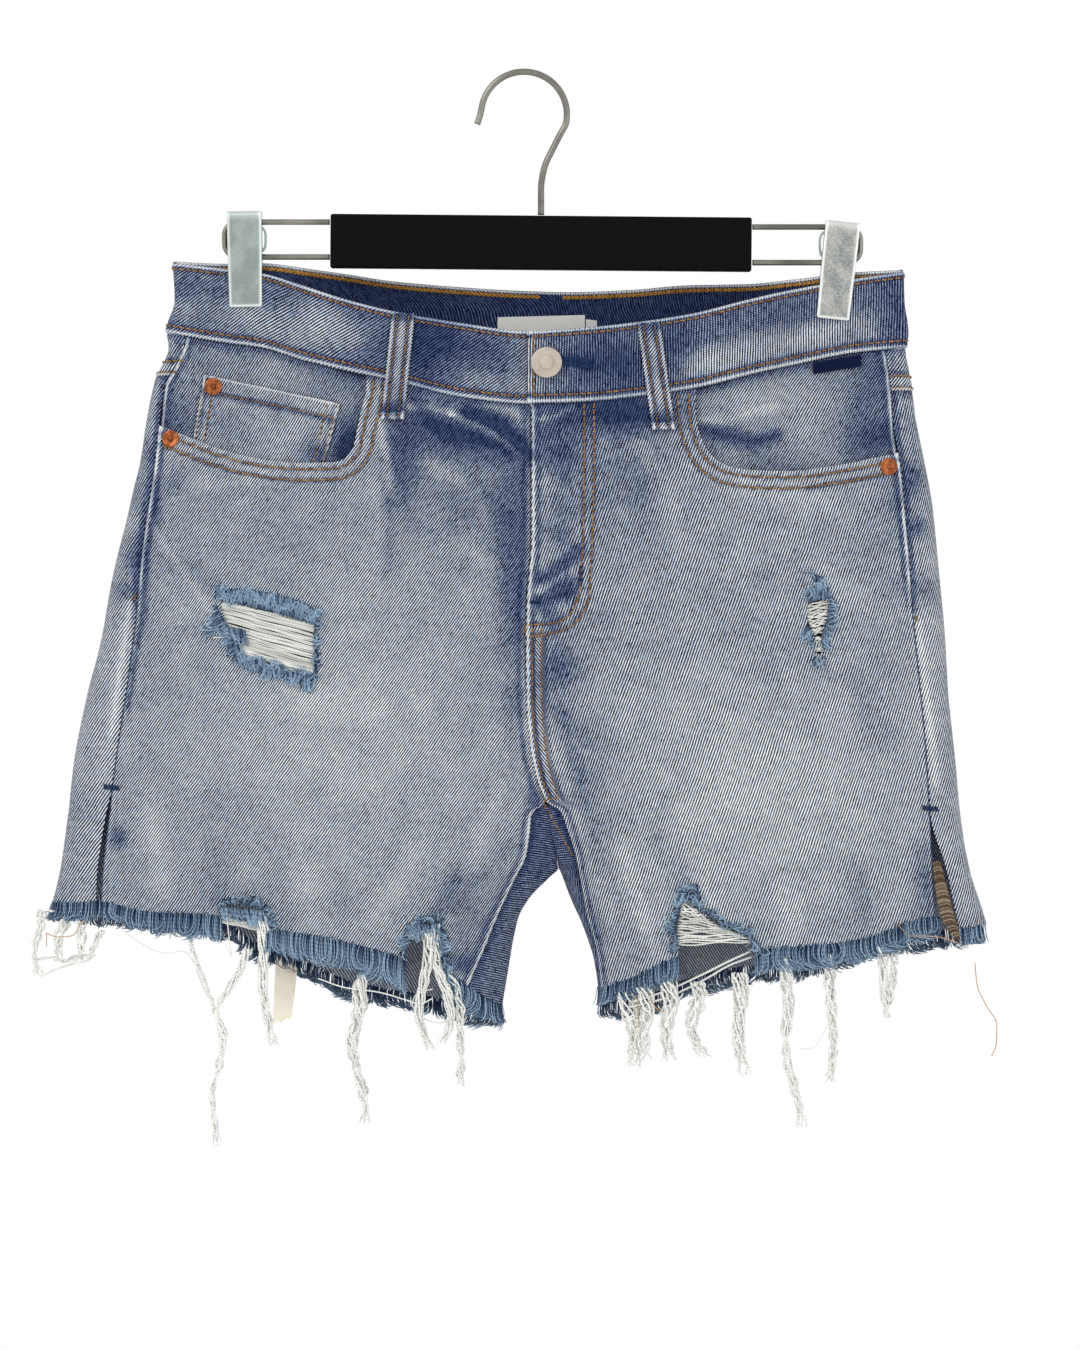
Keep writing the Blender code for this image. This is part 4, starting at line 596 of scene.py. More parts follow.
# ---- shader looks ----
class Value:
    """A shader value. Arithmetic on it makes maths nodes."""

    def __init__(self, tree, socket):
        self.tree, self.socket = tree, socket

    def math(self, operation, *others):
        node = self.tree.nodes.new("ShaderNodeMath")
        node.operation = operation
        for slot, item in zip(node.inputs, (self, *others)):
            plug(self.tree, slot, item)
        return Value(self.tree, node.outputs[0])

    def __add__(self, other):
        return self.math("ADD", other)

    def __sub__(self, other):
        return self.math("SUBTRACT", other)

    def __mul__(self, other):
        return self.math("MULTIPLY", other)

    def sine(self):
        return (self * (2 * math.pi)).math("SINE")

    def between(self, low, high, to_low=0.0, to_high=1.0):
        """This value from low to high, eased and held to the new range."""
        node = self.tree.nodes.new("ShaderNodeMapRange")
        node.interpolation_type = "SMOOTHSTEP"
        settings = {"Value": self, "From Min": low, "From Max": high, "To Min": to_low, "To Max": to_high}
        for key, item in settings.items():
            plug(self.tree, node.inputs[key], item)
        return Value(self.tree, node.outputs[0])


def plug(tree, slot, item):
    if isinstance(item, Value):
        tree.links.new(item.socket, slot)
    elif slot.type == "RGBA":
        slot.default_value = (*item, 1)
    else:
        slot.default_value = item


LOOKS = {}  # the finished materials by name


class Look:
    """A procedural material: its node tree and short ways to make nodes in it."""

    def __init__(self, name, roughness, metallic=0.0, specular=0.5):
        self.name, self.material = name, bpy.data.materials.new(name)
        self.material.use_nodes = True
        self.tree = self.material.node_tree
        self.shader = self.tree.nodes["Principled BSDF"]
        self.shader.inputs["Roughness"].default_value = roughness
        self.shader.inputs["Metallic"].default_value = metallic
        self.shader.inputs["Specular IOR Level"].default_value = specular

    def attribute(self, name):
        node = self.tree.nodes.new("ShaderNodeAttribute")
        node.attribute_name = name
        return Value(self.tree, node.outputs["Fac"])

    def split(self, vector):
        node = self.tree.nodes.new("ShaderNodeSeparateXYZ")
        self.tree.links.new(vector, node.inputs[0])
        return [Value(self.tree, slot) for slot in node.outputs]

    def join(self, *values):
        node = self.tree.nodes.new("ShaderNodeCombineXYZ")
        for slot, item in zip(node.inputs, values):
            plug(self.tree, slot, item)
        return Value(self.tree, node.outputs[0])

    def uv(self):
        node = self.tree.nodes.new("ShaderNodeUVMap")
        node.uv_map = "cloth"
        return self.split(node.outputs[0])[:2]

    def place(self):
        """x, y and z in millimetres in the piece's own frame."""
        node = self.tree.nodes.new("ShaderNodeTexCoord")
        return [value * 1000.0 for value in self.split(node.outputs["Object"])]

    def noise(self, x, y, z=0.0, detail=2.0):
        node = self.tree.nodes.new("ShaderNodeTexNoise")
        node.inputs["Scale"].default_value = 1.0
        node.inputs["Detail"].default_value = detail
        plug(self.tree, node.inputs["Vector"], self.join(x, y, z))
        return Value(self.tree, node.outputs["Fac"])

    def grain(self, size):
        """Fine noise in the piece's own frame. size is the number of its lumps in a millimetre."""
        return self.noise(*(value * size for value in self.place()), detail=3.0)

    def mix(self, share, a, b, blend="MIX"):
        node = self.tree.nodes.new("ShaderNodeMix")
        node.data_type = "RGBA"
        node.blend_type = blend
        for key, item in ((0, share), (6, a), (7, b)):
            plug(self.tree, node.inputs[key], item)
        return Value(self.tree, node.outputs[2])

    def ramp(self, value, stops):
        """Colours by value: stops are (value, red, green, blue)."""
        node = self.tree.nodes.new("ShaderNodeValToRGB")
        while len(node.color_ramp.elements) < len(stops):
            node.color_ramp.elements.new(0.5)
        for element, (position, *colour) in zip(node.color_ramp.elements, stops):
            element.position = position
            element.color = (*colour, 1)
        plug(self.tree, node.inputs[0], value)
        return Value(self.tree, node.outputs[0])

    def finish(self, colour, height, strength, distance):
        """Sets the colour and a bump by height, and keeps the material under its name."""
        plug(self.tree, self.shader.inputs["Base Color"], colour)
        node = self.tree.nodes.new("ShaderNodeBump")
        node.inputs["Strength"].default_value = strength
        node.inputs["Distance"].default_value = distance * MM
        plug(self.tree, node.inputs["Height"], height)
        self.tree.links.new(node.outputs[0], self.shader.inputs["Normal"])
        LOOKS[self.name] = self.material


def times(colour, share):
    return tuple(c * share for c in colour)


PITCH = 1.25  # from one wale of the twill to the next, in its UVs
# the twill's light and dark yarns: level of the wash; red; green; blue
LIGHT_YARN = (
    (0.0, 0.080, 0.115, 0.250),
    (0.14, 0.220, 0.270, 0.420),
    (0.25, 0.310, 0.360, 0.490),
    (0.40, 0.420, 0.470, 0.560),
    (0.56, 0.640, 0.670, 0.690),
    (0.75, 0.800, 0.815, 0.800),
    (1.0, 0.920, 0.920, 0.890),
)
DARK_YARN = (
    (0.0, 0.002, 0.005, 0.030),
    (0.3, 0.004, 0.008, 0.042),
    (0.6, 0.007, 0.010, 0.030),
    (0.8, 0.018, 0.024, 0.042),
    (1.0, 0.110, 0.120, 0.130),
)
HAZE = (0.24, 0.38, 0.62)  # the blue that clouds the twill where it isn't dark

# the cloth's three tones: how light it is, with painted shade in folds; worn cords, with the clips' painted
# highlights; and painted shade by seams, stitch rows and edges
TONES = ("wash_and_shade", "wear_and_highlight", "painted_shade")


def denim(name, shift=0.0, soft=0.0):
    """Twill: light wales and dark lines from the UVs, which run across the wales and along them in
    millimetres. shift makes it paler or deeper than the cloth's face, soft blurs its lines, and worn folds
    turn to light cord."""
    look = Look(name, 0.95, specular=0.06)
    across, along = look.uv()
    wash_and_shade, wear_and_highlight, painted_shade = (look.attribute(key) for key in TONES)
    sway = look.noise(across * 0.05, along * 0.035)
    phase = across * (1 / PITCH) + (sway - 0.5) * 1.6
    bead = (along * (1 / 1.3) + phase * 0.5).sine()
    dash = look.noise(across * 0.85, along * 0.30)
    speck = look.noise(across * 1.5, along * 1.0)
    cloud = look.noise(across * 0.06, along * 0.05, detail=6.0)
    wave = phase.sine() * 0.5 + (bead * 0.10 + 0.5)
    # darker where the painted shade lies, by seams, stitch rows and edges
    tone = wash_and_shade + (cloud - 0.5) * 0.22 + wear_and_highlight * 0.14 - painted_shade * 0.46 + (wear_and_highlight * -1.0 + 1.0) * shift
    level = tone * 0.9 + 0.60
    edge = (level * -0.85 + 1.205).math("MINIMUM", 0.87) - wear_and_highlight * 0.06
    edge = edge + (speck - 0.5) * 0.75 + (dash - 0.5) * 0.8
    mask = wave.between(edge - 0.16, edge + 0.16) * (1 - soft) + 0.5 * soft
    ticks = ((across + along * 0.6) * (1 / 2.3)).sine() * 0.26 + 0.56
    mask = mask.math("MAXIMUM", wear_and_highlight.between(0.55, 0.95) * ticks)
    colour = look.mix(mask, look.ramp(level, DARK_YARN), look.ramp(level, LIGHT_YARN))
    tint = look.noise(across * 0.5, along * 0.2, 7.0, detail=3.0)
    haze = tint.between(0.35, 0.75, 0.0, 0.45) * level.between(0.15, 0.5, 0.35, 1.0)
    colour = look.mix(haze, colour, look.mix(0.5, colour, HAZE))
    shade = bead * 0.08 + (speck - 0.5) * 0.7 + 1.0
    colour = look.mix(1.0, colour, look.join(shade, shade, shade), "MULTIPLY")
    look.finish(colour, mask + bead * 0.12 + speck * 0.3, 0.5, 0.30)


def plain_edge(name, colour):
    """A folded or cut edge of the cloth: its yarns' ends, without the twill."""
    look = Look(name, 0.95, specular=0.05)
    grain = look.grain(1.3)
    look.finish(look.mix(grain, times(colour, 0.4), times(colour, 1.6)), grain, 0.4, 0.2)


def yarn_look(name, low, high, ply=1.4, groove=0.72, fade=0.0):
    """Thread: each piece has its own tone between two colours, and its plies twist round it, with painted
    shade in their groove. fade lightens it along its length, for each millimetre."""
    look = Look(name, 0.85, specular=0.2)
    along, round_it = look.uv()
    twist = (along * (1 / ply) + round_it).sine() * 0.5 + 0.5
    fuzz = look.noise(along * 2.0, round_it * 6.0)
    tone = look.attribute("wash_and_shade") + (fuzz - 0.5) * 0.5
    if fade:
        tone = tone + along * fade
    # painted shade in the plies' groove
    dim = look.ramp(twist, ((0.0, groove, groove, groove), (1.0, 1.0, 1.0, 1.0)))
    look.finish(look.mix(1.0, look.mix(tone, low, high), dim, "MULTIPLY"), twist, 0.5, 0.2)


def woven(name, colour, dim, pitch=0.5, roughness=0.6, stain=None, specular=0.25):
    """Flat tape: fine ribs across it, and a stain if it has one."""
    look = Look(name, roughness, specular=specular)
    across, along = look.uv()
    rib = (along * (1 / pitch)).sine() * 0.5 + 0.5
    speck = look.noise(across * 1.5, along * 1.5)
    shown = look.mix(rib * 0.6 + speck * 0.5, dim, colour)
    if stain:
        blot = look.noise(across * 0.12, along * 0.09, detail=3.0)
        shown = look.mix(blot.between(0.5, 0.7), shown, stain)
    look.finish(shown, rib, 0.3, 0.15)


def metal(name, dark, light, roughness, size, metallic=0.85, spangle=0.0, rim_highlight=None):
    """Bare metal mottled between two tones, with size lumps in a millimetre of x, y and z. A rim tone, where
    one is given, is a painted highlight on its raised rims."""
    look = Look(name, roughness, metallic)
    cloud = look.noise(*(value * share for value, share in zip(look.place(), size)), detail=4.0)
    tone = cloud.between(0.35, 0.65)
    if spangle:
        tone = tone * (1 - spangle) + look.grain(1.2).between(0.4, 0.62) * spangle
    shown = look.mix(tone, dark, light)
    # painted highlight on the raised rims and the top fold
    if rim_highlight:
        shown = look.mix(look.attribute("wear_and_highlight"), shown, rim_highlight)
    grain = look.grain(2.0)
    plug(look.tree, look.shader.inputs["Roughness"], grain * 0.1 + (roughness - 0.05))
    look.finish(shown, grain, 0.05, 0.05)


def plastic(name, colour):
    """Dull moulded plastic with a fine grain."""
    look = Look(name, 0.6, specular=0.03)
    grain = look.grain(1.5)
    look.finish(look.mix(grain, times(colour, 0.7), colour), grain, 0.1, 0.1)


woven("satin", (0.80, 0.79, 0.76), (0.58, 0.57, 0.55))
woven("navy_weave", (0.008, 0.013, 0.045), (0.002, 0.004, 0.020), roughness=0.9, specular=0.05)
woven("cream_tape", (0.98, 0.93, 0.80), (0.95, 0.88, 0.74), 0.8, stain=(0.93, 0.80, 0.58))
metal("nickel", (0.42, 0.365, 0.31), (0.50, 0.445, 0.385), 0.6, (0.1, 0.1, 0.1), 0.3)
metal("copper", (0.20, 0.055, 0.018), (0.42, 0.13, 0.045), 0.38, (0.5, 0.5, 0.5))
metal("steel", (0.13, 0.125, 0.11), (0.27, 0.26, 0.225), 0.30, (0.03, 0.03, 0.03))
metal(
    "zinc_dull", (0.24, 0.28, 0.27), (0.37, 0.415, 0.39), 0.42, (0.12, 0.12, 0.09),
    spangle=0.3, rim_highlight=(0.66, 0.72, 0.69),
)
metal(
    "zinc_bright", (0.23, 0.25, 0.26), (0.52, 0.52, 0.47), 0.38, (0.14, 0.14, 0.11),
    spangle=0.5, rim_highlight=(0.80, 0.81, 0.78),
)
plastic("black", (0.005, 0.005, 0.006))
denim("denim")
# the cloth's inner faces: blurred twill, set a little deeper than the face as painted shade
denim("denim_back", -0.10, 0.25)
# the band's inner face: much deeper than the cloth's face, as painted shade inside the garment
denim("denim_deep", -0.62)
plain_edge("edge", (0.020, 0.030, 0.065))
yarn_look("topstitch", (0.22, 0.105, 0.032), (0.54, 0.29, 0.10), groove=0.4)
yarn_look("overlock_yarn", (0.14, 0.07, 0.025), (0.52, 0.42, 0.30))
yarn_look("loose_thread", (0.42, 0.22, 0.10), (0.72, 0.46, 0.27))
yarn_look("chainstitch", (0.36, 0.17, 0.03), (0.60, 0.31, 0.07))
yarn_look("navy_thread", (0.005, 0.012, 0.050), (0.020, 0.060, 0.180))
yarn_look("fringe_blue", (0.008, 0.028, 0.095), (0.38, 0.54, 0.71), ply=2.2, fade=0.040)
yarn_look("white_yarn", (0.60, 0.61, 0.56), (0.95, 0.95, 0.91), ply=2.0, groove=0.84)


# ---- making meshes ----
def new_piece(name, verts, faces, looks, uvs=None, tones=None, which=None, smooth=40.0):
    """A mesh from millimetre points, riding on the body. uvs and tones are one row to a point."""
    mesh = bpy.data.meshes.new(name)
    mesh.from_pydata((np.asarray(verts) * MM).tolist(), [], faces)
    for look in looks:
        mesh.materials.append(LOOKS[look])
    if which is not None:
        mesh.polygons.foreach_set("material_index", which)
    corner = np.zeros(len(mesh.loops), dtype=np.int32)
    mesh.loops.foreach_get("vertex_index", corner)
    if uvs is not None:
        layer = mesh.uv_layers.new(name="cloth")
        layer.uv.foreach_set("vector", np.asarray(uvs, dtype=np.float32)[corner].ravel())
    for key, values in (tones or {}).items():
        layer = mesh.attributes.new(key, "FLOAT", "POINT")
        layer.data.foreach_set("value", np.asarray(values, dtype=np.float32).ravel())
    mesh.shade_smooth()
    if smooth:
        mesh.set_sharp_from_angle(angle=math.radians(smooth))
    thing = bpy.data.objects.new(name, mesh)
    bpy.context.scene.collection.objects.link(thing)
    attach(thing, "root")
    return thing


class Cloth:
    """Closed thin walls of cloth, gathered block by block into one piece that stands for its node."""

    def __init__(self):
        self.points, self.uvs, self.tones, self.faces, self.which = [], [], [], [], []
        self.count = 0

    def add(self, outer, inner, uv, tone, keep=None, rim_look=2):
        """A block: grids of outer and inner points. keep says which points are cloth."""
        rows, cols = outer.shape[:2]
        ids = np.arange(rows * cols).reshape(rows, cols)
        keep = np.ones((rows, cols), bool) if keep is None else keep
        corners = np.stack([ids[:-1, :-1], ids[:-1, 1:], ids[1:, 1:], ids[1:, :-1]], axis=-1).reshape(-1, 4)
        across, down = outer[:-1, 1:] - outer[:-1, :-1], outer[1:, :-1] - outer[:-1, :-1]
        if np.sum(np.cross(across, down) * (outer - inner)[:-1, :-1]) < 0:
            corners = corners[:, ::-1]
        held = keep.reshape(-1)[corners]
        quads = corners[held.all(axis=1)].tolist()
        for row in np.flatnonzero(held.sum(axis=1) == 3):
            quads.append([int(c) for c, k in zip(corners[row], held[row]) if k])
        edges = {}
        for quad in quads:
            for edge in zip(quad, quad[1:] + quad[:1]):
                edges[edge] = True
        used = np.unique(np.concatenate([np.array(quad) for quad in quads]))
        renumber = np.full(rows * cols, -1)
        renumber[used] = self.count + np.arange(len(used))
        behind = len(used)  # an outer point's number and this make its inner point's
        for quad in quads:
            quad = [int(renumber[k]) for k in quad]
            self.faces += [quad, [k + behind for k in reversed(quad)]]
            self.which += [0, 1]
        for a, b in edges:
            if (b, a) not in edges:
                a, b = int(renumber[a]), int(renumber[b])
                self.faces.append([b, a, a + behind, b + behind])
                self.which.append(rim_look)
        marks = np.stack([np.broadcast_to(tone.get(key, 0.0), (rows, cols)) for key in TONES], axis=-1)
        for store, *grids in ((self.points, outer, inner), (self.uvs, uv, uv), (self.tones, marks, marks)):
            store += [grid.reshape(rows * cols, -1)[used] for grid in grids]
        self.count += 2 * behind
        return self

    def piece(self, name, node, looks=("denim", "denim_back", "edge"), smooth=40.0):
        tones = dict(zip(TONES, np.concatenate(self.tones).T))
        verts, uvs = np.concatenate(self.points), np.concatenate(self.uvs)
        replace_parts(new_piece(name, verts, self.faces, looks, uvs, tones, self.which, smooth), node)


def wales(x, z, angle, pitch=PITCH):
    """UVs in millimetres: across the wales, then along them. angle is the wales' slope from level."""
    turn = math.radians(angle)
    across = (x * math.sin(turn) - z * math.cos(turn)) * PITCH / pitch
    return np.stack(np.broadcast_arrays(across, x * math.cos(turn) + z * math.sin(turn)), axis=-1)


def twill(half, f, z, angle, pitch=PITCH):
    return wales(half.sample(half.flat, np.asarray(f) * half.COUNT, z), z, angle, pitch)


def skin(half, f, z, out, thickness=CLOTH):
    """The outer and inner points of a wall whose face lies out from the body's surface."""
    return half.at(f, z, out), half.at(f, z, out - thickness)


def edge_lengths(points):
    """Distances along the grid from its first and last column, and from its first and last row."""
    across, down = lengths(points), lengths(points.swapaxes(0, 1)).T
    return across, across[:, -1:] - across, down, down[-1:] - down


def inside(outline, x, z):
    found = np.zeros(np.shape(x), bool)
    for (x0, z0), (x1, z1) in zip(outline, np.roll(outline, -1, axis=0)):
        if z0 != z1:
            found ^= ((z0 > z) != (z1 > z)) & (x < (x1 - x0) * (z - z0) / (z1 - z0) + x0)
    return found


def trim(half, f, z, keep, outline, cell):
    """Cuts a hole's outline from a grid on the front. Points near it move onto it, and those inside go."""
    x = half.x(f, z)
    ring = np.vstack([outline, outline[:1]])
    d, along, _ = nearest(ring, x, z)
    in_front = f < 1.2
    near = (d < cell * 0.6) & in_front
    gone = inside(ring[:-1], x, z) & ~near & in_front
    x, z = np.where(near, points_at(ring, lengths(ring), along).transpose(2, 0, 1), (x, z))
    return np.where(near, half.front_f(x, z), f), z, keep & ~gone


def ragged(outline, seed):
    """An outline with the small steps of torn cloth."""
    line = smooth_line(np.vstack([outline, outline[:1]]), 1.6)[:-1]
    return line + np.random.default_rng(seed).normal(0, 0.45, line.shape)


def wear_of(*rows):
    """The sum of soft lines of wear: rows are (distance, middle, width, strength)."""
    return sum(strength * bump(d, middle, width) for d, middle, width, strength in rows)


# ---- cloth panels ----
CELL = 1.8  # size of the fronts' cells
# the wales' slope from level, and their pitch, on the fronts and on the band
FRONT_WALES = {"right": (55.0, 1.25), "left": (70.0, 1.40)}
BAND_WALES = {"right": (41.0, 1.30), "left": (89.0, 1.42)}
BACK_PITCH = 1.42
# the fork's: the slope under its top, where the light wales are rungs; the slope below; the level between
FORK_WALES = {"right": (172.0, 168.0, -470.0), "left": (8.0, 80.0, -434.0)}
POCKETS = {"right": smooth_line(POCKET_RIGHT, 1.0), "left": smooth_line(POCKET_LEFT, 1.0)}
HOLES = {"right": (RIP_RIGHT, NOTCH_RIGHT_OUTER, NOTCH_RIGHT_INNER), "left": (RIP_LEFT, NOTCH_LEFT)}


def fly_lift(x, z):
    """How far the fly's overlap lifts the left front."""
    return FLY_LAP * (1 - smoothstep(31, 47, x)) * smoothstep(-345, -322, z)


def front_grid(half, a, v):
    """f and z over the front, from shares across and down."""

    def f_at(z):
        low = half.inseam_f(z) + np.where(z < CROSS_Z, SEAM / 2 * half.step(0.02, z), 0.0)
        return lerp(low, half.seam_f(z) - SEAM / 2 * half.step(0.9, z), a)

    def z_at(_, x):
        return lerp(BAND_LOW_FRONT(x) - SEAM, HEM_AT["front"](x), v)

    f, _, z = half.settle(lerp(-180.0, -460.0, v), f_at, z_at)
    return f, z


def front_panel(side):
    half, is_right = HALVES[side], side == "right"
    f, z = front_grid(half, spread(228, CELL)[None, :], spread(292, CELL)[:, None])
    pocket = POCKETS[side]
    (x0, _), (x1, z1) = pocket[0], pocket[-1]
    beyond = x1 + half.sign * 30
    above = np.vstack([pocket, [(beyond, z1), (beyond, -120.0), (x0, -120.0)]])
    f, z, keep = trim(half, f, z, np.ones(f.shape, bool), above, CELL)
    for k, hole in enumerate(HOLES[side]):
        f, z, keep = trim(half, f, z, keep, ragged(hole, k + 11), CELL)
    x = half.x(f, z)
    d_in, d_out, d_top, _ = edge_lengths(half.at(f, z))
    d_pocket, s_pocket, _ = nearest(pocket, x, z)
    centre = smoothstep(CROSS_Z - 4, CROSS_Z + 4, z)
    cord = smoothstep(-300.0, -270.0, z)  # the side seam is roped above these levels
    ridge = wear_of(
        (d_out, 1.3, 1.1, 0.8 * lerp(0.15, 1.0, cord)), (d_in, 1.5, 1.3, 0.35),
        (d_pocket, 1.4, 1.3, 0.4), (d_pocket, 6.6, 2.0, 0.3),
    )
    groove = wear_of(
        (d_out, 3.4, 1.0, 0.4 * cord), (d_pocket, 3.6, 0.7, 0.3),
        (d_pocket, 9.6, 0.8, 0.3), (d_top, 0.6, 2.0, 0.5),
    )
    pucker = np.sin(2 * math.pi * s_pocket / 5.2) * bump(d_pocket, 4.0, 4.0) * 0.12
    roll = 0.5 * (bump(d_in, 0, ROLL) + bump(d_out, 0, ROLL))
    out = (0.0 if is_right else fly_lift(x, z)) + ridge - groove + pucker - roll
    worn = lerp(0.10, 1.10, cord) * (0.85 + 0.3 * lumps(x, z, 9, 15))
    worn_in = (0.1 if is_right else 0.9) * centre + (0.9 if is_right else 0.5) * (1 - centre)
    wear_and_highlight = wear_of(
        (d_out, 1.2, 1.1, worn), (d_in, 1.1, 1.2, worn_in),
        (d_pocket, 1.2, 1.4, 0.7), (d_pocket, 6.6, 2.0, 0.25),
    )
    # painted shade beside the side seam, the pocket's stitch rows and the centre edge, and under the band
    painted_shade = wear_of(
        (d_out, 3.4, 1.1, lerp(0.1, 0.9, cord)), (d_out, 0.0, 0.8, 1.0 - cord), (d_pocket, 3.5, 0.9, 0.7),
        (d_pocket, 9.6, 0.9, 0.8), (d_in, 3.8, 1.4, 0.6), (d_top, 0.0, 3.0, 0.6),
    )
    uv = twill(half, f, z, *FRONT_WALES[side])
    if not is_right:
        # painted shade along the fly's two stitch rows
        painted_shade = painted_shade + sum(0.6 * bump(nearest(row, x, z)[0], 0.0, 0.9) for row in (FLY_OUTER, FLY_INNER))
        # under the fly the seam's felled strip has its twill the other way
        strip = smoothstep(FLY_FOOT, FLY_FOOT - 4, z) * centre
        # painted shade along the felled strip's stitch rows
        painted_shade = painted_shade + strip * (bump(d_in, 3.9, 0.9) + 1.1 * bump(d_in, 9.8, 0.9))
        felled = (strip > 0.5) & (d_in > 3.0) & (d_in < 9.4)
        uv = np.where(felled[..., None], twill(half, f, z, 128.0, 1.3), uv)
    tone = {"wash_and_shade": wash_and_shade_at("front", x, z), "wear_and_highlight": wear_and_highlight, "painted_shade": painted_shade}
    Cloth().add(*skin(half, f, z, out), uv, tone, keep).piece(f"cloth_front_{side}", f"front_{side}")


def yoke_level(half, f):
    share = smoothstep(0, 1, (f - 0.9) / 1.1)
    return BAND_LOW_BACK(half.x(f, -180.0)) - lerp(YOKE_SIDE, YOKE_CENTRE, share)


def around(half, a, z):
    """f at share a of the way from the side seam round to the centre back."""
    return lerp(half.vent_f(z) + SEAM / 2 * half.step(0.9, z), 2.0, a)


def round_wash_and_shade(f, x, z, front=1.0):
    """The wash and painted shade of a panel that passes from the front to the back at its side fold."""
    return lerp(wash_and_shade_at("front", x, z) * front, wash_and_shade_at("back", x, z), smoothstep(0.85, 1.15, f))


def yoke(side):
    half = HALVES[side]
    a, v = spread(215, 2.2)[None, :], spread(40, 2.0)[:, None]
    f, x, z = half.settle(
        np.array(-160.0),
        lambda z: around(half, a, z),
        lambda f, x: lerp(band_low(f, x) - SEAM, yoke_level(half, f) + SEAM / 2, v),
    )
    d_in, _, d_top, d_foot = edge_lengths(half.at(f, z))
    ridge = wear_of((d_foot, 1.3, 1.2, 0.5), (d_in, 2.0, 2.0, -0.3), (d_foot, 9.6, 1.4, -0.25))
    roll = 0.5 * bump(d_foot, 0, ROLL) + 0.4 * bump(d_in, 0, ROLL)
    out = ridge - roll + np.sin(d_in / 1.1) * bump(d_foot, 4, 4) * 0.12
    wear_and_highlight = wear_of((d_foot, 1.0, 1.3, 0.8), (d_foot, 5.0, 2.4, 0.5))
    # painted shade under the band, along the yoke's seam and its stitch rows, and by the side
    painted_shade = wear_of(
        (d_foot, 2.4, 0.7, 0.4), (d_foot, 10.0, 1.3, 0.6), (d_top, 0, 3, 0.5), (d_in, 2.4, 2.0, 0.3)
    )
    tone = {"wash_and_shade": round_wash_and_shade(f, x, z, 0.5), "wear_and_highlight": wear_and_highlight, "painted_shade": painted_shade}
    uv = twill(half, f, z, 55.0, BACK_PITCH)
    Cloth().add(*skin(half, f, z, out), uv, tone).piece(f"cloth_yoke_{side}", f"yoke_{side}")


def leg_levels(half):
    """The hem's levels at the leg's inner edge and at the inseam."""
    _, _, z_seam = half.settle(np.array(-500.0), half.inseam_f, lambda f, x: HEM_AT["front"](x), 5)
    return float(HEM_AT["back"](half.x(np.array(0.0), np.array(-512.0)))), float(z_seam)


def add_fork(cloth, side, edge_hem, seam_hem):
    """The strip of the back that passes under the crotch and shows in front as far as the inseam."""
    half, top = HALVES[side], CROSS_Z - 1.6
    rows = spread(top - edge_hem, 1.5)[:, None]
    b = spread(16, 1.2, (0.3, 0.4, 0.6))[None, :]
    z = lerp(lerp(top, edge_hem, rows), lerp(top, seam_hem, rows), b)
    f = lerp(0.0, half.inseam_f(z) - SEAM / 2 * half.step(0.02, z), b)
    _, d_out, _, _ = edge_lengths(half.at(f, z))
    out = wear_of((d_out, 0.8, 1.2, -0.35), (d_out, 0, ROLL, -0.3))
    # painted shade: the strip is darker, more so towards the crotch, and darker along its edge at the inseam
    deep = -0.22 - 0.22 * smoothstep(-470.0, -410.0, z)
    tone = {"wash_and_shade": wash_and_shade_at("front", half.x(f, z), z) + deep, "painted_shade": 0.6 * bump(d_out, 1.0, 2.0)}
    upper, lower, level = FORK_WALES[side]
    uv = np.where((z > level)[..., None], twill(half, f, z, upper), twill(half, f, z, lower))
    cloth.add(*skin(half, f, z, out), uv, tone)


def back_panel(side):
    half = HALVES[side]
    edge_hem, seam_hem = leg_levels(half)
    top = float(yoke_level(half, np.array(2.0))) - SEAM / 2
    a = spread(232, 2.9)[None, :]
    legs = lerp(CROTCH_Z, edge_hem, spread(CROTCH_Z - edge_hem, 1.9)[1:])
    levels = np.concatenate([np.linspace(top, CROTCH_Z, 72), legs])[:, None]
    down = (levels - top) / (edge_hem - top)
    f, x, z = half.settle(
        levels,
        lambda z: around(half, a, z),
        lambda f, x: lerp(yoke_level(half, f) - SEAM / 2, hem_level(f, x), down),
    )
    d_in, d_out, d_top, _ = edge_lengths(half.at(f, z))
    above = smoothstep(CROTCH_Z - 6, CROTCH_Z + 10, z)
    ridge = wear_of((d_out, 1.4, 1.2, 0.35 * above), (d_top, 1.0, 2.0, -0.3), (d_in, 1.0, 1.8, -0.45))
    out = ridge - 0.4 * (bump(d_in, 0, ROLL) + above * bump(d_out, 0, ROLL))
    cord = smoothstep(-310.0, -280.0, z)
    # the last tone is painted shade along the seams and under the yoke
    tone = {
        "wash_and_shade": round_wash_and_shade(f, x, z) + 0.05 * bump(d_in, 5.0, 5.0) * (1 - cord),
        "wear_and_highlight": 0.7 * above * bump(d_out, 1.3, 1.4),
        "painted_shade": wear_of((d_out, 4.0, 1.8, 0.5 * above), (d_top, 1.0, 2.4, 0.6), (d_in, 1.0, 1.6, 0.8 * cord)),
    }
    uv = twill(half, f, z, FRONT_WALES[side][0], BACK_PITCH)
    cloth = Cloth().add(*skin(half, f, z, out), uv, tone)
    add_fork(cloth, side, edge_hem, seam_hem)
    cloth.piece(f"cloth_back_{side}", f"back_{side}")


def band_lift(side, f, x):
    """How far the band's buttoned end, which is on the left, lies over the other end."""
    return np.where((f > 1) | (side == "right"), 0.0, LAP * (1 - smoothstep(29, 50, x)))


def band_wash_and_shade(x, down):
    mottle = 0.05 * lumps(x, down * 2, 16, 33) + 0.05 * lumps(x, down, 6, 34)
    return -0.22 + mottle + spots(BAND_WASH_AND_SHADE, x, down)


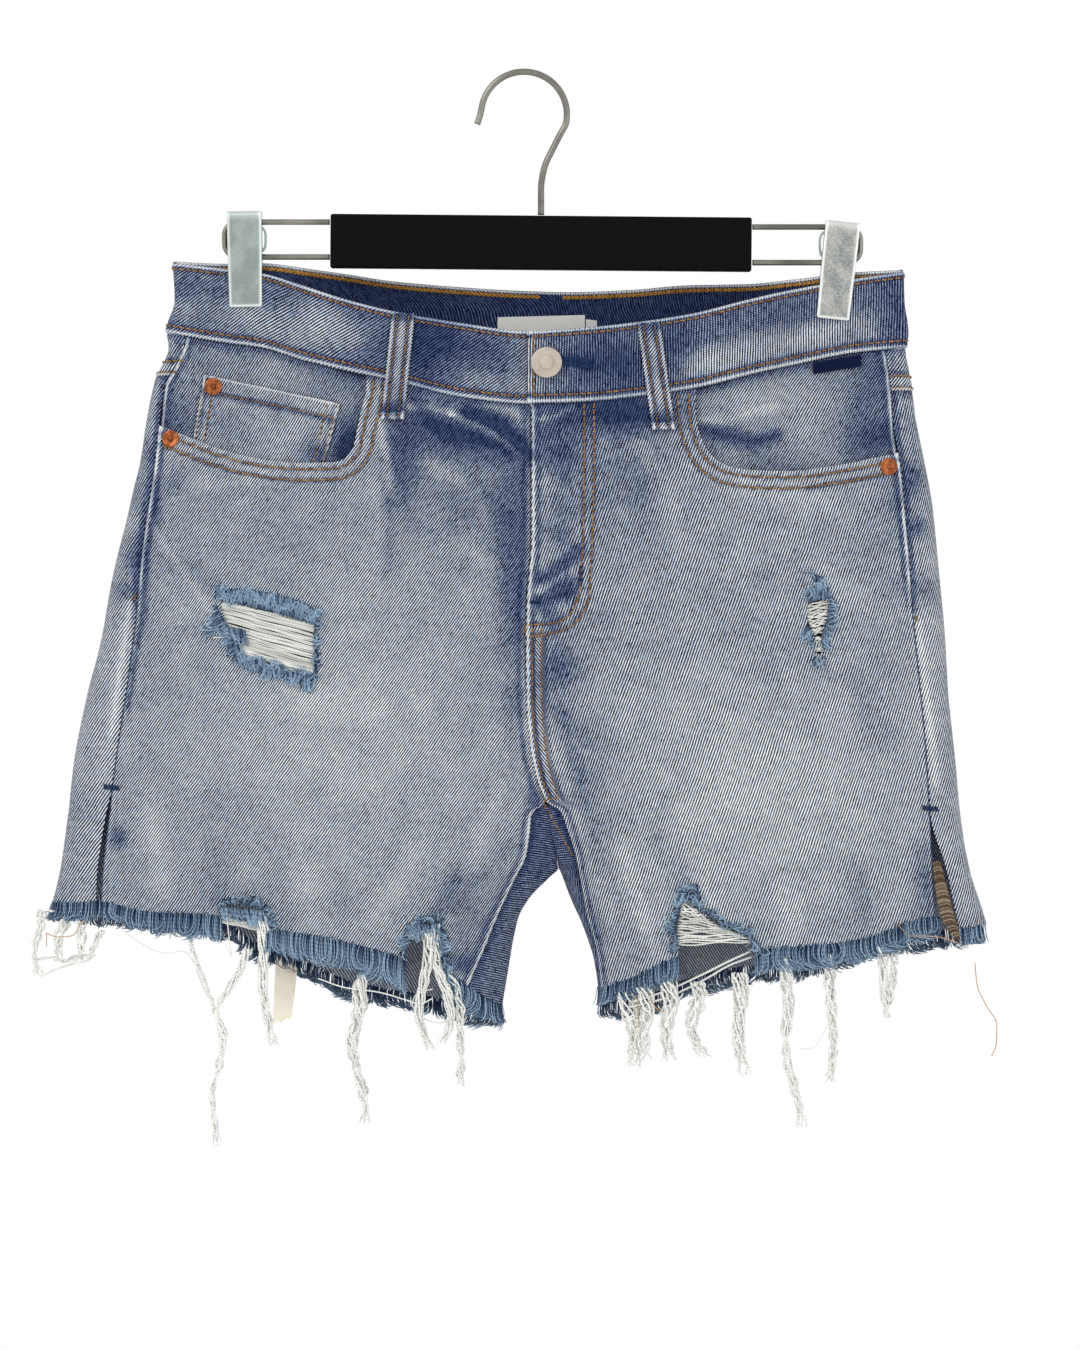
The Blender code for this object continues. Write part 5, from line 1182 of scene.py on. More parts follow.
def add_band(cloth, side, half, f):
    """A stretch of the band over these values of f."""
    v = spread(40, 1.2, (0.3, 0.4, 0.5, 0.6))[:, None]
    f = np.broadcast_arrays(f, v)[0]
    _, x, z = half.settle(
        np.array(BAND_GUESS), lambda z: f, lambda f, x: lerp(band_top(f, x), band_low(f, x), v)
    )
    d_start, _, d_top, d_low = edge_lengths(half.at(f, z))
    ribs = np.sin(2 * math.pi * d_start / 3.4) * 0.07 * (bump(d_top, 1.4, 1.6) + bump(d_low, 1.4, 1.6))
    ridge = wear_of(
        (d_top, 1.2, 1.3, 0.3), (d_low, 1.6, 1.5, 0.3), (d_top, 3.0, 0.8, -0.32), (d_low, 4.2, 0.9, -0.32)
    )
    wear_and_highlight = wear_of((d_top, 0.8, 1.0, 1.1), (d_low, 1.1, 1.15, 1.05))
    roll = 0.7 * (bump(d_top, 0, 0.6) + bump(d_low, 0, 0.6))
    if side == "left":
        wear_and_highlight = wear_and_highlight + 0.9 * bump(d_start, 0.8, 1.4)
        ridge = ridge + 0.3 * bump(d_start, 1.2, 1.3)
        roll = roll + 0.7 * bump(d_start, 0, 0.6)
    lift = band_lift(side, f, x)
    outer = half.at(f, z, BAND_OUT + lift + ridge + ribs - roll)
    inner = half.at(f, z, lift - BAND_IN + roll * 0.6)
    uv = wales(half.sample(half.flat, f * half.COUNT, z), -d_top, *BAND_WALES[side])
    front = band_wash_and_shade(x, d_top) - 0.7 * bump(nearest(BUTTONHOLE, x, z)[0], 0.0, 2.6)
    wash_and_shade = np.where(f < 1, front, -0.05 + 0.1 * lumps(x, z, 20, 31))
    # the last tone is painted shade beside the band's two stitch rows
    tone = {"wash_and_shade": wash_and_shade, "wear_and_highlight": wear_and_highlight, "painted_shade": wear_of((d_top, 3.0, 0.9, 1.3), (d_low, 4.2, 1.1, 1.3))}
    cloth.add(outer, inner, uv, tone, rim_look=0)


def waistband(side):
    """Half of the band, from its front end round to the centre back. The right one goes on under the left."""
    cloth = Cloth()
    add_band(cloth, side, HALVES[side], np.linspace(0, 2, 220))
    if side == "right":
        add_band(cloth, side, LEFT, np.linspace(0.12, 0.004, 16))
    # the band's inner faces take the deep look: painted shade
    cloth.piece(f"cloth_waistband_{side}", f"waistband_{side}", ("denim", "denim_deep"))


# ---- pockets, fly and belt loops ----
def facing_depth(side, x, z):
    """Depth of the pocket's facing: level with the panels by the seams, sunk at the pocket's edge."""
    pocket = POCKETS[side][::4]
    d, _, turn = nearest(pocket, x, z)
    above = turn * (1 if pocket[-1, 0] > pocket[0, 0] else -1) > 0
    return np.where(above, lerp(FACING_DEPTH, 0.7, smoothstep(1.5, 30.0, d)), FACING_DEPTH)


def facing(side):
    half = HALVES[side]
    inner_x = POCKETS[side][0, 0] - half.sign * 7
    a, v = spread(120, 2.1)[None, :], spread(70, 2.1)[:, None]

    def across(z):
        inner, seam = half.front_f(np.full_like(z, inner_x), z), half.seam_f(z)
        return lerp(inner, seam - SEAM / 2 * half.step(0.9, z), a)

    f, x, z = half.settle(
        np.full(v.shape, -180.0),
        across,
        lambda f, x: lerp(BAND_LOW_FRONT(x) - SEAM - 0.2, -226.0, v),
    )
    _, d_out, d_top, _ = edge_lengths(half.at(f, z))
    wash_and_shade = -0.12 + 0.06 * lumps(x, z, 14, 41) + spots(FACING_WASH_AND_SHADE[side], x, z)
    if side == "left":
        wash_and_shade = wash_and_shade + streaks(FACING_STREAKS, x, z)
    cord = bump(d_out, 1.2, 1.1)
    # painted shade under the band and by the side seam
    tone = {"wash_and_shade": wash_and_shade, "painted_shade": wear_of((d_top, 0, 3.0, 0.6), (d_out, 3.4, 1.4, 0.5)), "wear_and_highlight": 1.1 * cord}
    walls = skin(half, f, z, 0.5 * cord - facing_depth(side, x, z), 1.0)
    Cloth().add(*walls, twill(half, f, z, 57.0), tone).piece(f"cloth_facing_{side}", f"pocket_facing_{side}")


def grid(columns, rows):
    return np.broadcast_arrays(columns[None, :], rows[:, None])


def between_corners(corners, a, v):
    """x and z at shares across and down between four corners: top left, top right, foot left, foot right."""
    return (lerp(lerp(p, q, a), lerp(r, s, a), v) for p, q, r, s in zip(*corners))


COIN_OUT = 1.9


def coin_point(a, v, out):
    x, z = between_corners(COIN, a, v)
    return on_front(x, z, out - facing_depth("right", x, z))


def coin_pocket():
    """The small pocket on the right facing: folded top hem, turned sides."""
    a, v = grid(spread(76, 1.4), spread(42, 1.4))
    d_left, d_right, d_top, _ = edge_lengths(coin_point(a, v, 0.0))
    edge = np.minimum(np.minimum(d_left, d_right), d_top)
    rise = wear_of((edge, 1.2, 1.0, 0.3), (edge, 0, 0.4, -0.6), (d_top, 8.4, 0.8, -0.35))
    rise = rise + 0.25 * smoothstep(8.6, 7.6, d_top)
    x, z = between_corners(COIN, a, v)
    wash_and_shade = -0.03 + 0.08 * lumps(x, z, 9, 51) - 0.25 * smoothstep(14, 9, d_top) * smoothstep(8, 9, d_top)
    wash_and_shade = wash_and_shade + spots([(-110, -212, 8, 8, -0.4)], x, z)
    wear_and_highlight = wear_of(
        (edge, 0.8, 1.0, 0.8), (d_top, 4.0, 2.5, 0.2), (d_left, 5.0, 1.2, 0.25), (d_right, 5.0, 1.2, 0.25)
    )
    # painted shade beside the stitch rows
    painted_shade = wear_of((d_top, 9.0, 1.2, 0.5), (d_left, 2.6, 0.9, 0.35), (d_right, 2.6, 0.9, 0.35))
    cloth = Cloth().add(
        coin_point(a, v, COIN_OUT + rise), coin_point(a, v, 0.6), wales(x, z, 58.0),
        {"wash_and_shade": wash_and_shade, "wear_and_highlight": wear_and_highlight, "painted_shade": painted_shade},
    )
    cloth.piece("cloth_coin_pocket", "coin_pocket")


BACK_POCKET_TOP, BACK_POCKET_FOOT, BACK_POCKET_DEEP, BACK_POCKET_POINT = 132.0, 112.0, 118.0, 16.0
BACK_POCKET_OUT = 2.1


def back_pocket_at(side, a, v):
    """x and z on a back pocket. Its foot has a point in the middle, and its top slopes a little."""
    sign, across = HALVES[side].sign, 2 * a - 1
    x = 14 + sign * 96 + across * lerp(BACK_POCKET_TOP, BACK_POCKET_FOOT, v) / 2
    drop = BACK_POCKET_DEEP + BACK_POCKET_POINT * (1 - np.abs(across))
    return x, -236.0 - v * drop + 2.5 * across * sign * (1 - v)


def back_pocket(side):
    """A plain patch pocket with a pointed foot and a folded top."""
    a, v = grid(spread(126, 2.8), spread(124, 2.8))
    x, z = back_pocket_at(side, a, v)
    d_left, d_right, d_top, d_foot = edge_lengths(on_face("back", x, z))
    edge = np.minimum(np.minimum(d_left, d_right), np.minimum(d_top, d_foot))
    rise = wear_of((edge, 1.3, 1.1, 0.3), (edge, 0, ROLL, -0.8), (d_top, 13.0, 1.0, -0.3))
    # the last tone is painted shade beside the edges, the stitch rows and under the hem's fold
    tone = {
        "wash_and_shade": wash_and_shade_at("back", x, z) + 0.04,
        "wear_and_highlight": wear_of((edge, 0.9, 1.1, 0.8), (d_top, 6.0, 4.0, 0.15)),
        "painted_shade": wear_of((edge, 2.6, 0.9, 0.35), (edge, 9.0, 1.4, 0.35), (d_top, 13.6, 1.3, 0.4)),
    }
    outer, inner = on_face("back", x, z, BACK_POCKET_OUT + rise), on_face("back", x, z, 0.9)
    cloth = Cloth().add(outer, inner, wales(x, z, 128.0), tone)
    cloth.piece(f"cloth_back_pocket_{side}", f"back_pocket_{side}")


def fly_shield():
    """The under-lap behind the left front, beside the zip."""
    a, v = grid(spread(24, 2.5), spread(124, 2.5))
    z = lerp(BAND_LOW_FRONT(4.1) - SEAM - 1.0, FLY_FOOT, v)
    x = lerp(FRONT_CENTRE(z) + SEAM + 0.8, 28.0 - 8.0 * v, a)
    # darker, with painted shade under the left front's lap
    uv, tone = np.stack([a * 24, v * 124], axis=-1), {"wash_and_shade": -0.3, "painted_shade": 0.2}
    cloth = Cloth().add(*skin(LEFT, LEFT.front_f(x, z), z, 0.0, 1.2), uv, tone)
    cloth.piece("cloth_fly_shield", "fly_shield")


# belt loop: face; top middle; foot middle; length of the strip along the cloth it crosses
LOOPS = {
    "belt_loop_front_right": ("front", (-66.0, -131.8), (-72.0, -190.2), 66.0),
    "belt_loop_front_left": ("front", (68.2, -137.0), (76.6, -195.8), 66.0),
    "belt_loop_back": ("back", (15.4, -121.6), (15.4, -181.0), 66.0),
    "belt_loop_back_right": ("back", (-112.0, -110.6), (-112.0, -170.0), 76.0),
    "belt_loop_back_left": ("back", (128.0, -115.0), (128.0, -175.0), 76.0),
}
LOOP_WIDTH, LOOP_SPAN = 12.6, 60  # span: from the top to the foot in the cloth's plane


def loop_point(name, a, t, out):
    """A point of a belt loop. t runs from its top to its foot, a across."""
    face, (x0, z0), (x1, z1), _ = LOOPS[name]
    x, z = lerp(x0, x1, t) + (a - 0.5) * LOOP_WIDTH, lerp(z0, z1, t)
    arch = 1.5 * np.sin(math.pi * np.minimum(t / 0.68, 1.0))
    rise = arch + lerp(BAND_OUT + SEAM, 0.9, smoothstep(0.74, 1.0, t))
    return on_face(face, x, z, out + rise)


def belt_loop(name):
    """A strip folded in three: raised edges, a sunken middle, and both ends turned under and sewn down."""
    fine, middle = (0.3, 0.4, 0.5), LOOP_WIDTH / 2
    a, t = grid(spread(LOOP_WIDTH, 0.7, fine), spread(LOOP_SPAN, 1.0, (0.3, 0.4, 0.6)))
    d_left, d_right, d_top, d_foot = edge_lengths(loop_point(name, a, t, 0.0))
    side, end = np.minimum(d_left, d_right), np.minimum(d_top, d_foot)
    x, z = a * LOOP_WIDTH, -t * LOOP_SPAN
    rise = wear_of(
        (side, 1.5, 1.2, 0.35), (side, 3.2, 0.8, -0.45), (d_left, middle, 1.5, 0.2),
        (d_foot, 5.2, 0.8, -0.35), (side, 0, 0.5, -0.8), (end, 0, 0.6, -0.6),
    )
    rise = rise + 0.5 * smoothstep(6, 3, d_foot) + 0.3 * smoothstep(5, 2.5, d_top)
    rise = rise + 0.25 * lumps(a * 9, -z, 7, 61)
    wash_and_shade = -0.06 + 0.12 * lumps(a * 13, -z, 7, sum(map(ord, name)))
    wash_and_shade = wash_and_shade + wear_of((t, 0.03, 0.05, -0.35), (t, 0.88, 0.05, -0.3))
    wear_and_highlight = wear_of((side, 0.9, 0.9, 0.8), (d_foot, 1.0, 1.2, 0.6), (d_left, middle, 1.3, 0.25))
    # painted shade beside the stitch rows and at the turned-under foot
    painted_shade = wear_of((side, 3.2, 0.9, 1.1), (d_foot, 5.4, 1.2, 1.0))
    outer, inner = loop_point(name, a, t, 1.8 + rise), loop_point(name, a, t, 0.1)
    cloth = Cloth().add(outer, inner, wales(x, z, 50.0), {"wash_and_shade": wash_and_shade, "wear_and_highlight": wear_and_highlight, "painted_shade": painted_shade})
    cloth.piece(f"cloth_{name}", name)


for side in HALVES:
    for make in (front_panel, yoke, back_panel, waistband, facing, back_pocket):
        make(side)
coin_pocket()
fly_shield()
for name in LOOPS:
    belt_loop(name)


# ---- threads ----
class Threads:
    """Many thin tubes gathered into one piece."""

    def __init__(self):
        self.points, self.uvs, self.tones, self.faces = [], [], [], []
        self.count = 0

    def add(self, centres, radius, tone, sides=4):
        """centres are (tubes, points, 3). radius has a value for each point, tone one for each tube."""
        n, k = centres.shape[:2]
        run = unit(np.gradient(centres, axis=1))
        wide = unit(np.cross(run, np.array((0.03, 1.0, 0.05))))
        angle = np.arange(sides) * 2 * math.pi / sides
        up = np.cross(wide, run)
        ring = wide[:, :, None] * np.cos(angle)[:, None] + up[:, :, None] * np.sin(angle)[:, None]
        verts = centres[:, :, None] + ring * np.broadcast_to(radius, (n, k))[:, :, None, None]
        uvs = np.broadcast_arrays(lengths(centres)[:, :, None], np.arange(sides) / sides)
        self.points.append(verts.reshape(-1, 3))
        self.uvs.append(np.stack(uvs, axis=-1).reshape(-1, 2))
        self.tones.append(np.repeat(np.broadcast_to(tone, (n,)), k * sides))
        ids = self.count + np.arange(n * k * sides).reshape(n, k, sides)
        after = np.roll(ids, -1, axis=2)
        quads = np.stack([ids[:, :-1], after[:, :-1], after[:, 1:], ids[:, 1:]], axis=-1)
        self.faces += quads.reshape(-1, 4).tolist()
        self.faces += ids[:, 0, ::-1].tolist() + ids[:, -1].tolist()
        self.count += n * k * sides
        return self

    def piece(self, name, look, *nodes):
        tones = {"wash_and_shade": np.concatenate(self.tones)}
        verts, uvs = np.concatenate(self.points), np.concatenate(self.uvs)
        thing = new_piece(name, verts, self.faces, (look,), uvs, tones, smooth=0)
        if nodes:
            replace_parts(thing, *nodes)


# ---- stitch paths: functions of the height over the cloth that give the path's points ----
def row_on(face, line, out=0.0):
    """A path over the front or back. out is the height of the cloth it lies on."""
    x, z = np.transpose(line)
    return lambda h: on_face(face, x, z, out + h)


def smooth_row(corners, out=0.0):
    return row_on("front", smooth_line(corners), out)


def offset_line(line, distance):
    """A line moved to its left by a distance."""
    run = unit(np.gradient(line, axis=0))
    return line + np.column_stack([-run[:, 1], run[:, 0]]) * distance


def fly_out(line):
    """How far the fly lifts the front along a line."""
    x, z = line.T
    return fly_lift(x, z) * (x > FRONT_CENTRE(z))


def band_row(side, down, f0=0.0, f1=2.0, inner=False):
    """A path along the band, down millimetres from its top edge, or up from its foot if negative."""
    half, f = HALVES[side], np.linspace(f0, f1, 900)
    level = band_top if down > 0 else band_low
    _, x, z = half.settle(np.array(BAND_GUESS), lambda z: f, lambda f, x: level(f, x) - down)
    if inner:
        return lambda h: half.at(f, z, -BAND_IN - h)
    return lambda h: half.at(f, z, BAND_OUT - 0.2 + band_lift(side, f, x) + h)


def coin_row(a0, v0, a1, v1):
    """A path on the coin pocket between two places, given as shares across and down."""
    a, v = np.linspace(a0, a1, 160), np.linspace(v0, v1, 160)
    return lambda h: coin_point(a, v, COIN_OUT + h)


def back_pocket_row(side, inset):
    """A path down one side of a back pocket, round its point and up the other."""
    wide, narrow, deep = 126, 116, BACK_POCKET_DEEP
    across = [inset / wide, inset / narrow, 0.5, 1 - inset / narrow, 1 - inset / wide]
    down = [1 / deep, 1 - inset / deep, 1 - inset / (deep + BACK_POCKET_POINT), 1 - inset / deep, 1 / deep]
    path = np.column_stack([across, down])
    length = lengths(path * (wide, deep))
    x, z = back_pocket_at(side, *points_at(path, length, np.linspace(0, 1, 900) * length[-1]).T)
    return lambda h: on_face("back", x, z, BACK_POCKET_OUT + h)


def back_pocket_hem(side):
    x, z = back_pocket_at(side, np.linspace(0.02, 0.98, 400), np.full(400, 13.0 / BACK_POCKET_DEEP))
    return lambda h: on_face("back", x, z, BACK_POCKET_OUT - 0.1 + h)


def loop_row(name, a, t, out=1.75):
    """A path on a belt loop: along it if t is a row of places, across it if a is."""
    return lambda h: loop_point(name, a, t, out + h)


def yoke_row(side, shift):
    half, f = HALVES[side], np.linspace(0.93, 1.985, 700)
    z = yoke_level(half, f) + shift
    return lambda h: half.at(f, z, h + (0.1 if shift > 0 else -0.1))


# ---- stitches ----
STITCH_SHARES = np.array([0.0, 0.18, 0.5, 0.82, 1.0])
STITCH_RISE = np.array([0.0, 0.85, 1.0, 0.85, 0.0])
STITCH_GIRTH = np.array([0.55, 1.0, 1.08, 1.0, 0.55])
BAR_SHARES = np.array([-1.0, -0.6, 0.0, 0.6, 1.0])
BAR_RISE = np.array([0.0, 0.9, 1.0, 0.9, 0.0])


def stitch_row(threads, place, pitch=3.7, radius=0.5, seed=1, slant=0.35, gap=0.6):
    """Stitches along a path, each rising out of the cloth and back into it."""
    low, high = place(-0.30), place(0.34)
    rng = np.random.default_rng(seed)
    length = lengths(low)
    n = max(int(length[-1] / pitch), 1)
    pitch = length[-1] / n
    begin = np.arange(n) * pitch + rng.normal(0, 0.08, n)
    where = begin[:, None] + gap / 2 + STITCH_SHARES * (pitch - gap)
    deep, top = (points_at(line, length, where) for line in (low, high))
    side = np.cross(unit(deep[:, -1:] - deep[:, :1]), unit(top[:, 2:3] - deep[:, 2:3]))
    centres = lerp(deep, top, STITCH_RISE[:, None]) + side * ((STITCH_SHARES - 0.5) * slant)[:, None]
    threads.add(centres, radius * STITCH_GIRTH, 0.5 + rng.normal(0, 0.22, n))


def bartack(threads, place, width=1.9, pitch=0.62, radius=0.26):
    """Close zigzag stitches across a short path."""
    rng = np.random.default_rng(5)
    low, high = place(-0.2), place(0.5)
    length = lengths(low)
    n = max(int(length[-1] / pitch), 2)
    where = (np.arange(n) + 0.5) * length[-1] / n
    base, top = (points_at(line, length, where) for line in (low, high))
    run = np.gradient(base, axis=0)
    reach = unit(np.cross(run, top - base)) * width / 2 + unit(run) * 0.2
    centres = lerp(base[:, None], top[:, None], BAR_RISE[:, None]) + reach[:, None] * BAR_SHARES[:, None]
    threads.add(centres, radius, 0.5 + rng.normal(0, 0.25, n), 5)


# levels of each side seam's two bars: where its upper rows end, and at the top of its vent
SEAM_BARS = {"right": (-286.0, -391.6), "left": (-297.5, -403.2)}
# bars along the fly: thread; ends; height of the cloth; width
FLY_BARS = [
    ("brown", [(1.4, -303), (1.2, -307.5)], 0.8, 3),
    ("brown", [(3, -309.6), (2.8, -313)], 0.5, 2.6),
    ("navy", [(31, -270.6), (30.6, -281)], 2.1, 2.4),
    ("navy", [(3.6, -290.4), (9.4, -290.4)], 2.6, 1.6),
]
# the overlocked allowance that shows in the left vent: level; middle; half its width
OVERLOCK = [(-432, 225.6, 2.2), (-446.5, 228.4, 3.2), (-461, 231.8, 3.6), (-476, 238.2, 2.2)]
# one of its loops: share across; rise
OVERLOCK_LOOP = [(-1, -0.7), (-0.4, 0.3), (0.4, 0.6), (1, -0.5)]


def side_stitches(threads, side):
    """The rows and bars that both halves have."""
    half, brown = HALVES[side], threads["brown"]
    for seed, down in enumerate((3.0, -4.2)):
        stitch_row(brown, band_row(side, down, f0=0.012 if side == "left" else 0.0), seed=seed)
    # the band's golden inner row, along the back
    for down, slant in ((2.7, 1.3), (3.4, -1.3)):
        stitch_row(threads["gold"], band_row(side, down, 1.06, 1.97, True), 2.4, 0.5, 9, slant, -0.5)
    for k, inset in enumerate((3.6, 9.6)):
        line = offset_line(smooth_line(POCKETS[side][::3], 0.5), -inset * half.sign)
        x, z = line.T
        on_panel = ((half.side_seam(z) - x) * half.sign > 3.0) & (z < BAND_LOW_FRONT(x) - 1.5)
        stitch_row(brown, row_on("front", line[on_panel], -0.05), 3.3, seed=k + 3)
    for k, shift in enumerate((1.9, 8.2)):
        stitch_row(brown, yoke_row(side, shift), 3.4, seed=k + 7)
    seam_end, vent_top = SEAM_BARS[side]
    z = np.linspace(seam_end, seam_end - 3, 6)
    bartack(brown, row_on("front", np.column_stack([half.side_seam(z) + half.sign * 1.4, z])), 1.5)
    x = float(half.side_seam(vent_top))
    bartack(threads["navy"], smooth_row([(x - 4.4, vent_top + 0.4), (x + 4.4, vent_top - 0.4)], 0.4), 2.4)
    for k, inset in enumerate((1.9, 7.6)):
        stitch_row(brown, back_pocket_row(side, inset), 3.4, seed=k + 17)
    stitch_row(brown, back_pocket_hem(side), 3.4, seed=23)


def centre_stitches(brown, navy):
    """The end of the band's overlap, the fly's two rows, and the centre seams."""
    z = np.linspace(BAND_TOP_FRONT(4.0) - 3.0, BAND_LOW_FRONT(4.0) + 3.0, 90)
    end = LEFT.front_f(FRONT_CENTRE(z) + 3.6, z)
    stitch_row(brown, lambda h: LEFT.at(end, z, BAND_OUT - 0.2 + LAP + h), seed=29)
    for seed, corners in enumerate((FLY_OUTER, FLY_INNER)):
        line = smooth_line(corners)
        stitch_row(brown, row_on("front", line, fly_out(line) - 0.1), 3.4, seed=seed)
    for k, shift in enumerate((3.4, 8.4)):
        z = np.linspace(-304.0, -397.0, 190)
        line = np.column_stack([FRONT_CENTRE(z) + shift, z])
        stitch_row(brown, row_on("front", line, fly_out(line)), 3.2, 0.38, 31 + k)
    stitch_row(brown, smooth_row([(11.0, -400.5), (17.0, -411.0), (27.0, -429.0)], -0.1), 3.2, 0.42, 35)
    stitch_row(brown, smooth_row([(10.5, -398.6), (15.0, -397.6), (19.0, -397.2)], 0.2), 2.4, 0.42, 36)
    bartack(navy, smooth_row([(11.2, -401.7), (14.8, -401.7)], -0.7), 2.8)
    for k, shift in enumerate((2.2, 6.8)):
        z = np.linspace(-226.0, -425.0, 400)
        stitch_row(brown, row_on("back", np.column_stack([BACK_CENTRE(z) - shift, z])), 3.4, seed=41 + k)


def coin_and_loop_stitches(brown, navy):
    stitch_row(brown, coin_row(0.015, 0.215, 0.985, 0.215), 2.9, 0.34, 43)
    for a, top in ((0.016, 0.02), (0.085, 0.22), (0.915, 0.02), (0.984, 0.02)):
        stitch_row(brown, coin_row(a, top, a, 0.97), 3.0, 0.34, int(a * 90))
    stitch_row(brown, coin_row(0.915, 0.03, 0.984, 0.03), 2.2, 0.34, 47)
    for name in LOOPS:
        for a in (0.25, 0.75):
            stitch_row(brown, loop_row(name, a, np.linspace(0.02, 0.98, 200)), 3.1, 0.34, int(a * 50))
        bartack(navy, loop_row(name, np.linspace(0.08, 0.92, 60), 0.93, 1.5), 1.2)


def fly_bars(threads):
    """The bars along the fly, the buttonhole's two lips and the bar at its end."""
    for thread, ends, height, width in FLY_BARS:
        bartack(threads[thread], smooth_row(ends, height), width)
    for dz in (1.5, -1.5):
        lip = [(x, z + dz * (1.0 - 0.1 * k)) for k, (x, z) in enumerate(BUTTONHOLE)]
        bartack(threads["navy"], smooth_row(lip, BAND_OUT + LAP * 0.95), 2.2, 0.55, 0.34)
    bartack(threads["navy"], smooth_row([(35.6, -158.4), (36.2, -162.6)], BAND_OUT + LAP * 0.75), 3.0, 0.5)


def overlocked_edge(overlock):
    rng = np.random.default_rng(77)
    middle_at, reach_at = curve(OVERLOCK, 0, 1), curve(OVERLOCK, 0, 2)
    for z in np.arange(-433.0, -475.5, -0.62):
        middle, reach = float(middle_at(z)), float(reach_at(z))
        line = [(middle + share * reach, z + rise) for share, rise in OVERLOCK_LOOP]
        path = row_on("front", line, 1.0 + rng.uniform(0, 0.5))(0.0)
        overlock.add(path[None], 0.25, rng.uniform(-0.4, 1.1))


def stitching():
    threads = {key: Threads() for key in ("brown", "navy", "gold", "overlock")}
    for side in HALVES:
        side_stitches(threads, side)
    centre_stitches(threads["brown"], threads["navy"])
    coin_and_loop_stitches(threads["brown"], threads["navy"])
    fly_bars(threads)
    overlocked_edge(threads["overlock"])
    threads["brown"].piece("stitches_brown", "topstitch")
    threads["navy"].piece("stitches_navy", "navy_thread")
    threads["gold"].piece("stitches_gold", "chainstitch")
    threads["overlock"].piece("overlock_left_vent", "overlock_yarn")


stitching()


# ---- frayed edges ----
TAG_X = -132.5  # the back hem's yarns fall in front of the care tag here
# piece; half; face of the hem; from x; to x; length at each
FRINGES = [
    ("front_right", "right", "front", -233, -165.5, (11, 15)),
    ("front_right", "right", "front", -141, -65, (14.5, 18.5)),
    ("front_right", "right", "front", -41, -11.5, (14, 12)),
    ("front_left", "left", "front", 41, 85, (11, 12.5)),
    ("front_left", "left", "front", 127, 228, (14.5, 11.5)),
    ("back_right", "right", "back", -262, -12, (10.5, 11.5)),
    ("back_left", "left", "back", 42, 254, (11, 10.5)),
    ("back_right", "right", "front", -259, -234, (10.5, 11)),
    ("back_left", "left", "front", 239, 251.5, (11, 10)),
]
# curly yarns beside torn edges: edge; the way they lie, in x and z; seed; length; pitch
FRAYS = [
    (RIP_RIGHT[:4], (0.4, 4), 21, 8, 0.42),
    ([(-168, -283), (-150, -284), (-128, -288), (-114, -294)], (0, -3), 22, 7, 0.45),
    (RIP_RIGHT[4:8], (-0.4, -4), 23, 8.5, 0.42),
    ([(-158, -322), (-140, -328), (-118, -334)], (0.5, 2), 24, 6, 0.5),
    ([(-168, -292), (-161, -306), (-157, -316)], (-2, -1), 25, 6, 0.6),
    ([(-114, -300), (-114.6, -332)], (1, -1), 26, 2.4, 0.7),
    ([(-165, -303), (-153, -306)], (0.3, -4), 27, 7, 0.4),
    ([(-168, -302), (-167, -306)], (-4, -1), 28, 8, 0.35),
    (RIP_LEFT[:2], (0, 4), 31, 8, 0.35),
    ([(158, -276), (162, -282), (160, -288)], (0.3, 1), 32, 5, 0.4),
    (RIP_LEFT[1:3], (2, 1), 33, 5, 0.5),
    ([(155, -303), (158, -309)], (-1.4, -3), 34, 6, 0.35),
    ([(165, -302), (163, -311)], (2, -3), 35, 6, 0.4),
    ([(159, -319), (161, -323), (164, -320)], (0, -1), 36, 4, 0.35),
    ([(-166, -457), (-142, -459)], (0.3, -4), 44, 8.5, 0.36),
    ([(-64, -466), (-47, -466)], (0.5, -4), 45, 11, 0.36),
    ([(-46, -478), (-41, -497)], (2, -3), 46, 6, 0.4),
    ([(86, -449), (95, -450)], (0, -4), 47, 6, 0.4),
]
# bare weft yarns across the holes: piece; left edge; right edge; yarns; seed; wave; radius; droop
BRIDGES = [
    (
        "rip_right", [(-167.5, -288.5), (-162.5, -299), (-157.5, -311), (-152, -319.5)],
        [(-113, -302), (-114, -316), (-115, -332)], 38, 51, 0.25, 0.46, 0,
    ),
    (
        "rip_left", [(154.5, -292), (156, -300), (159, -308)],
        [(167, -288), (166.4, -297), (163.6, -307)], 18, 52, 0.35, 0.46, 0,
    ),
    ("rip_left", [(158.6, -309), (160.2, -317)], [(163.4, -309.5), (164.6, -317)], 9, 53, 0.35, 0.46, 0),
    (
        "hem_left", [(88, -449), (86, -458), (85, -478)],
        [(95, -450), (97, -460), (125, -476)], 28, 54, 0.5, 0.44, 0,
    ),
    ("hem_left", [(-167, -461.5), (-166, -465)], [(-140, -466), (-139, -470)], 6, 55, 0.35, 0.46, 1),
]
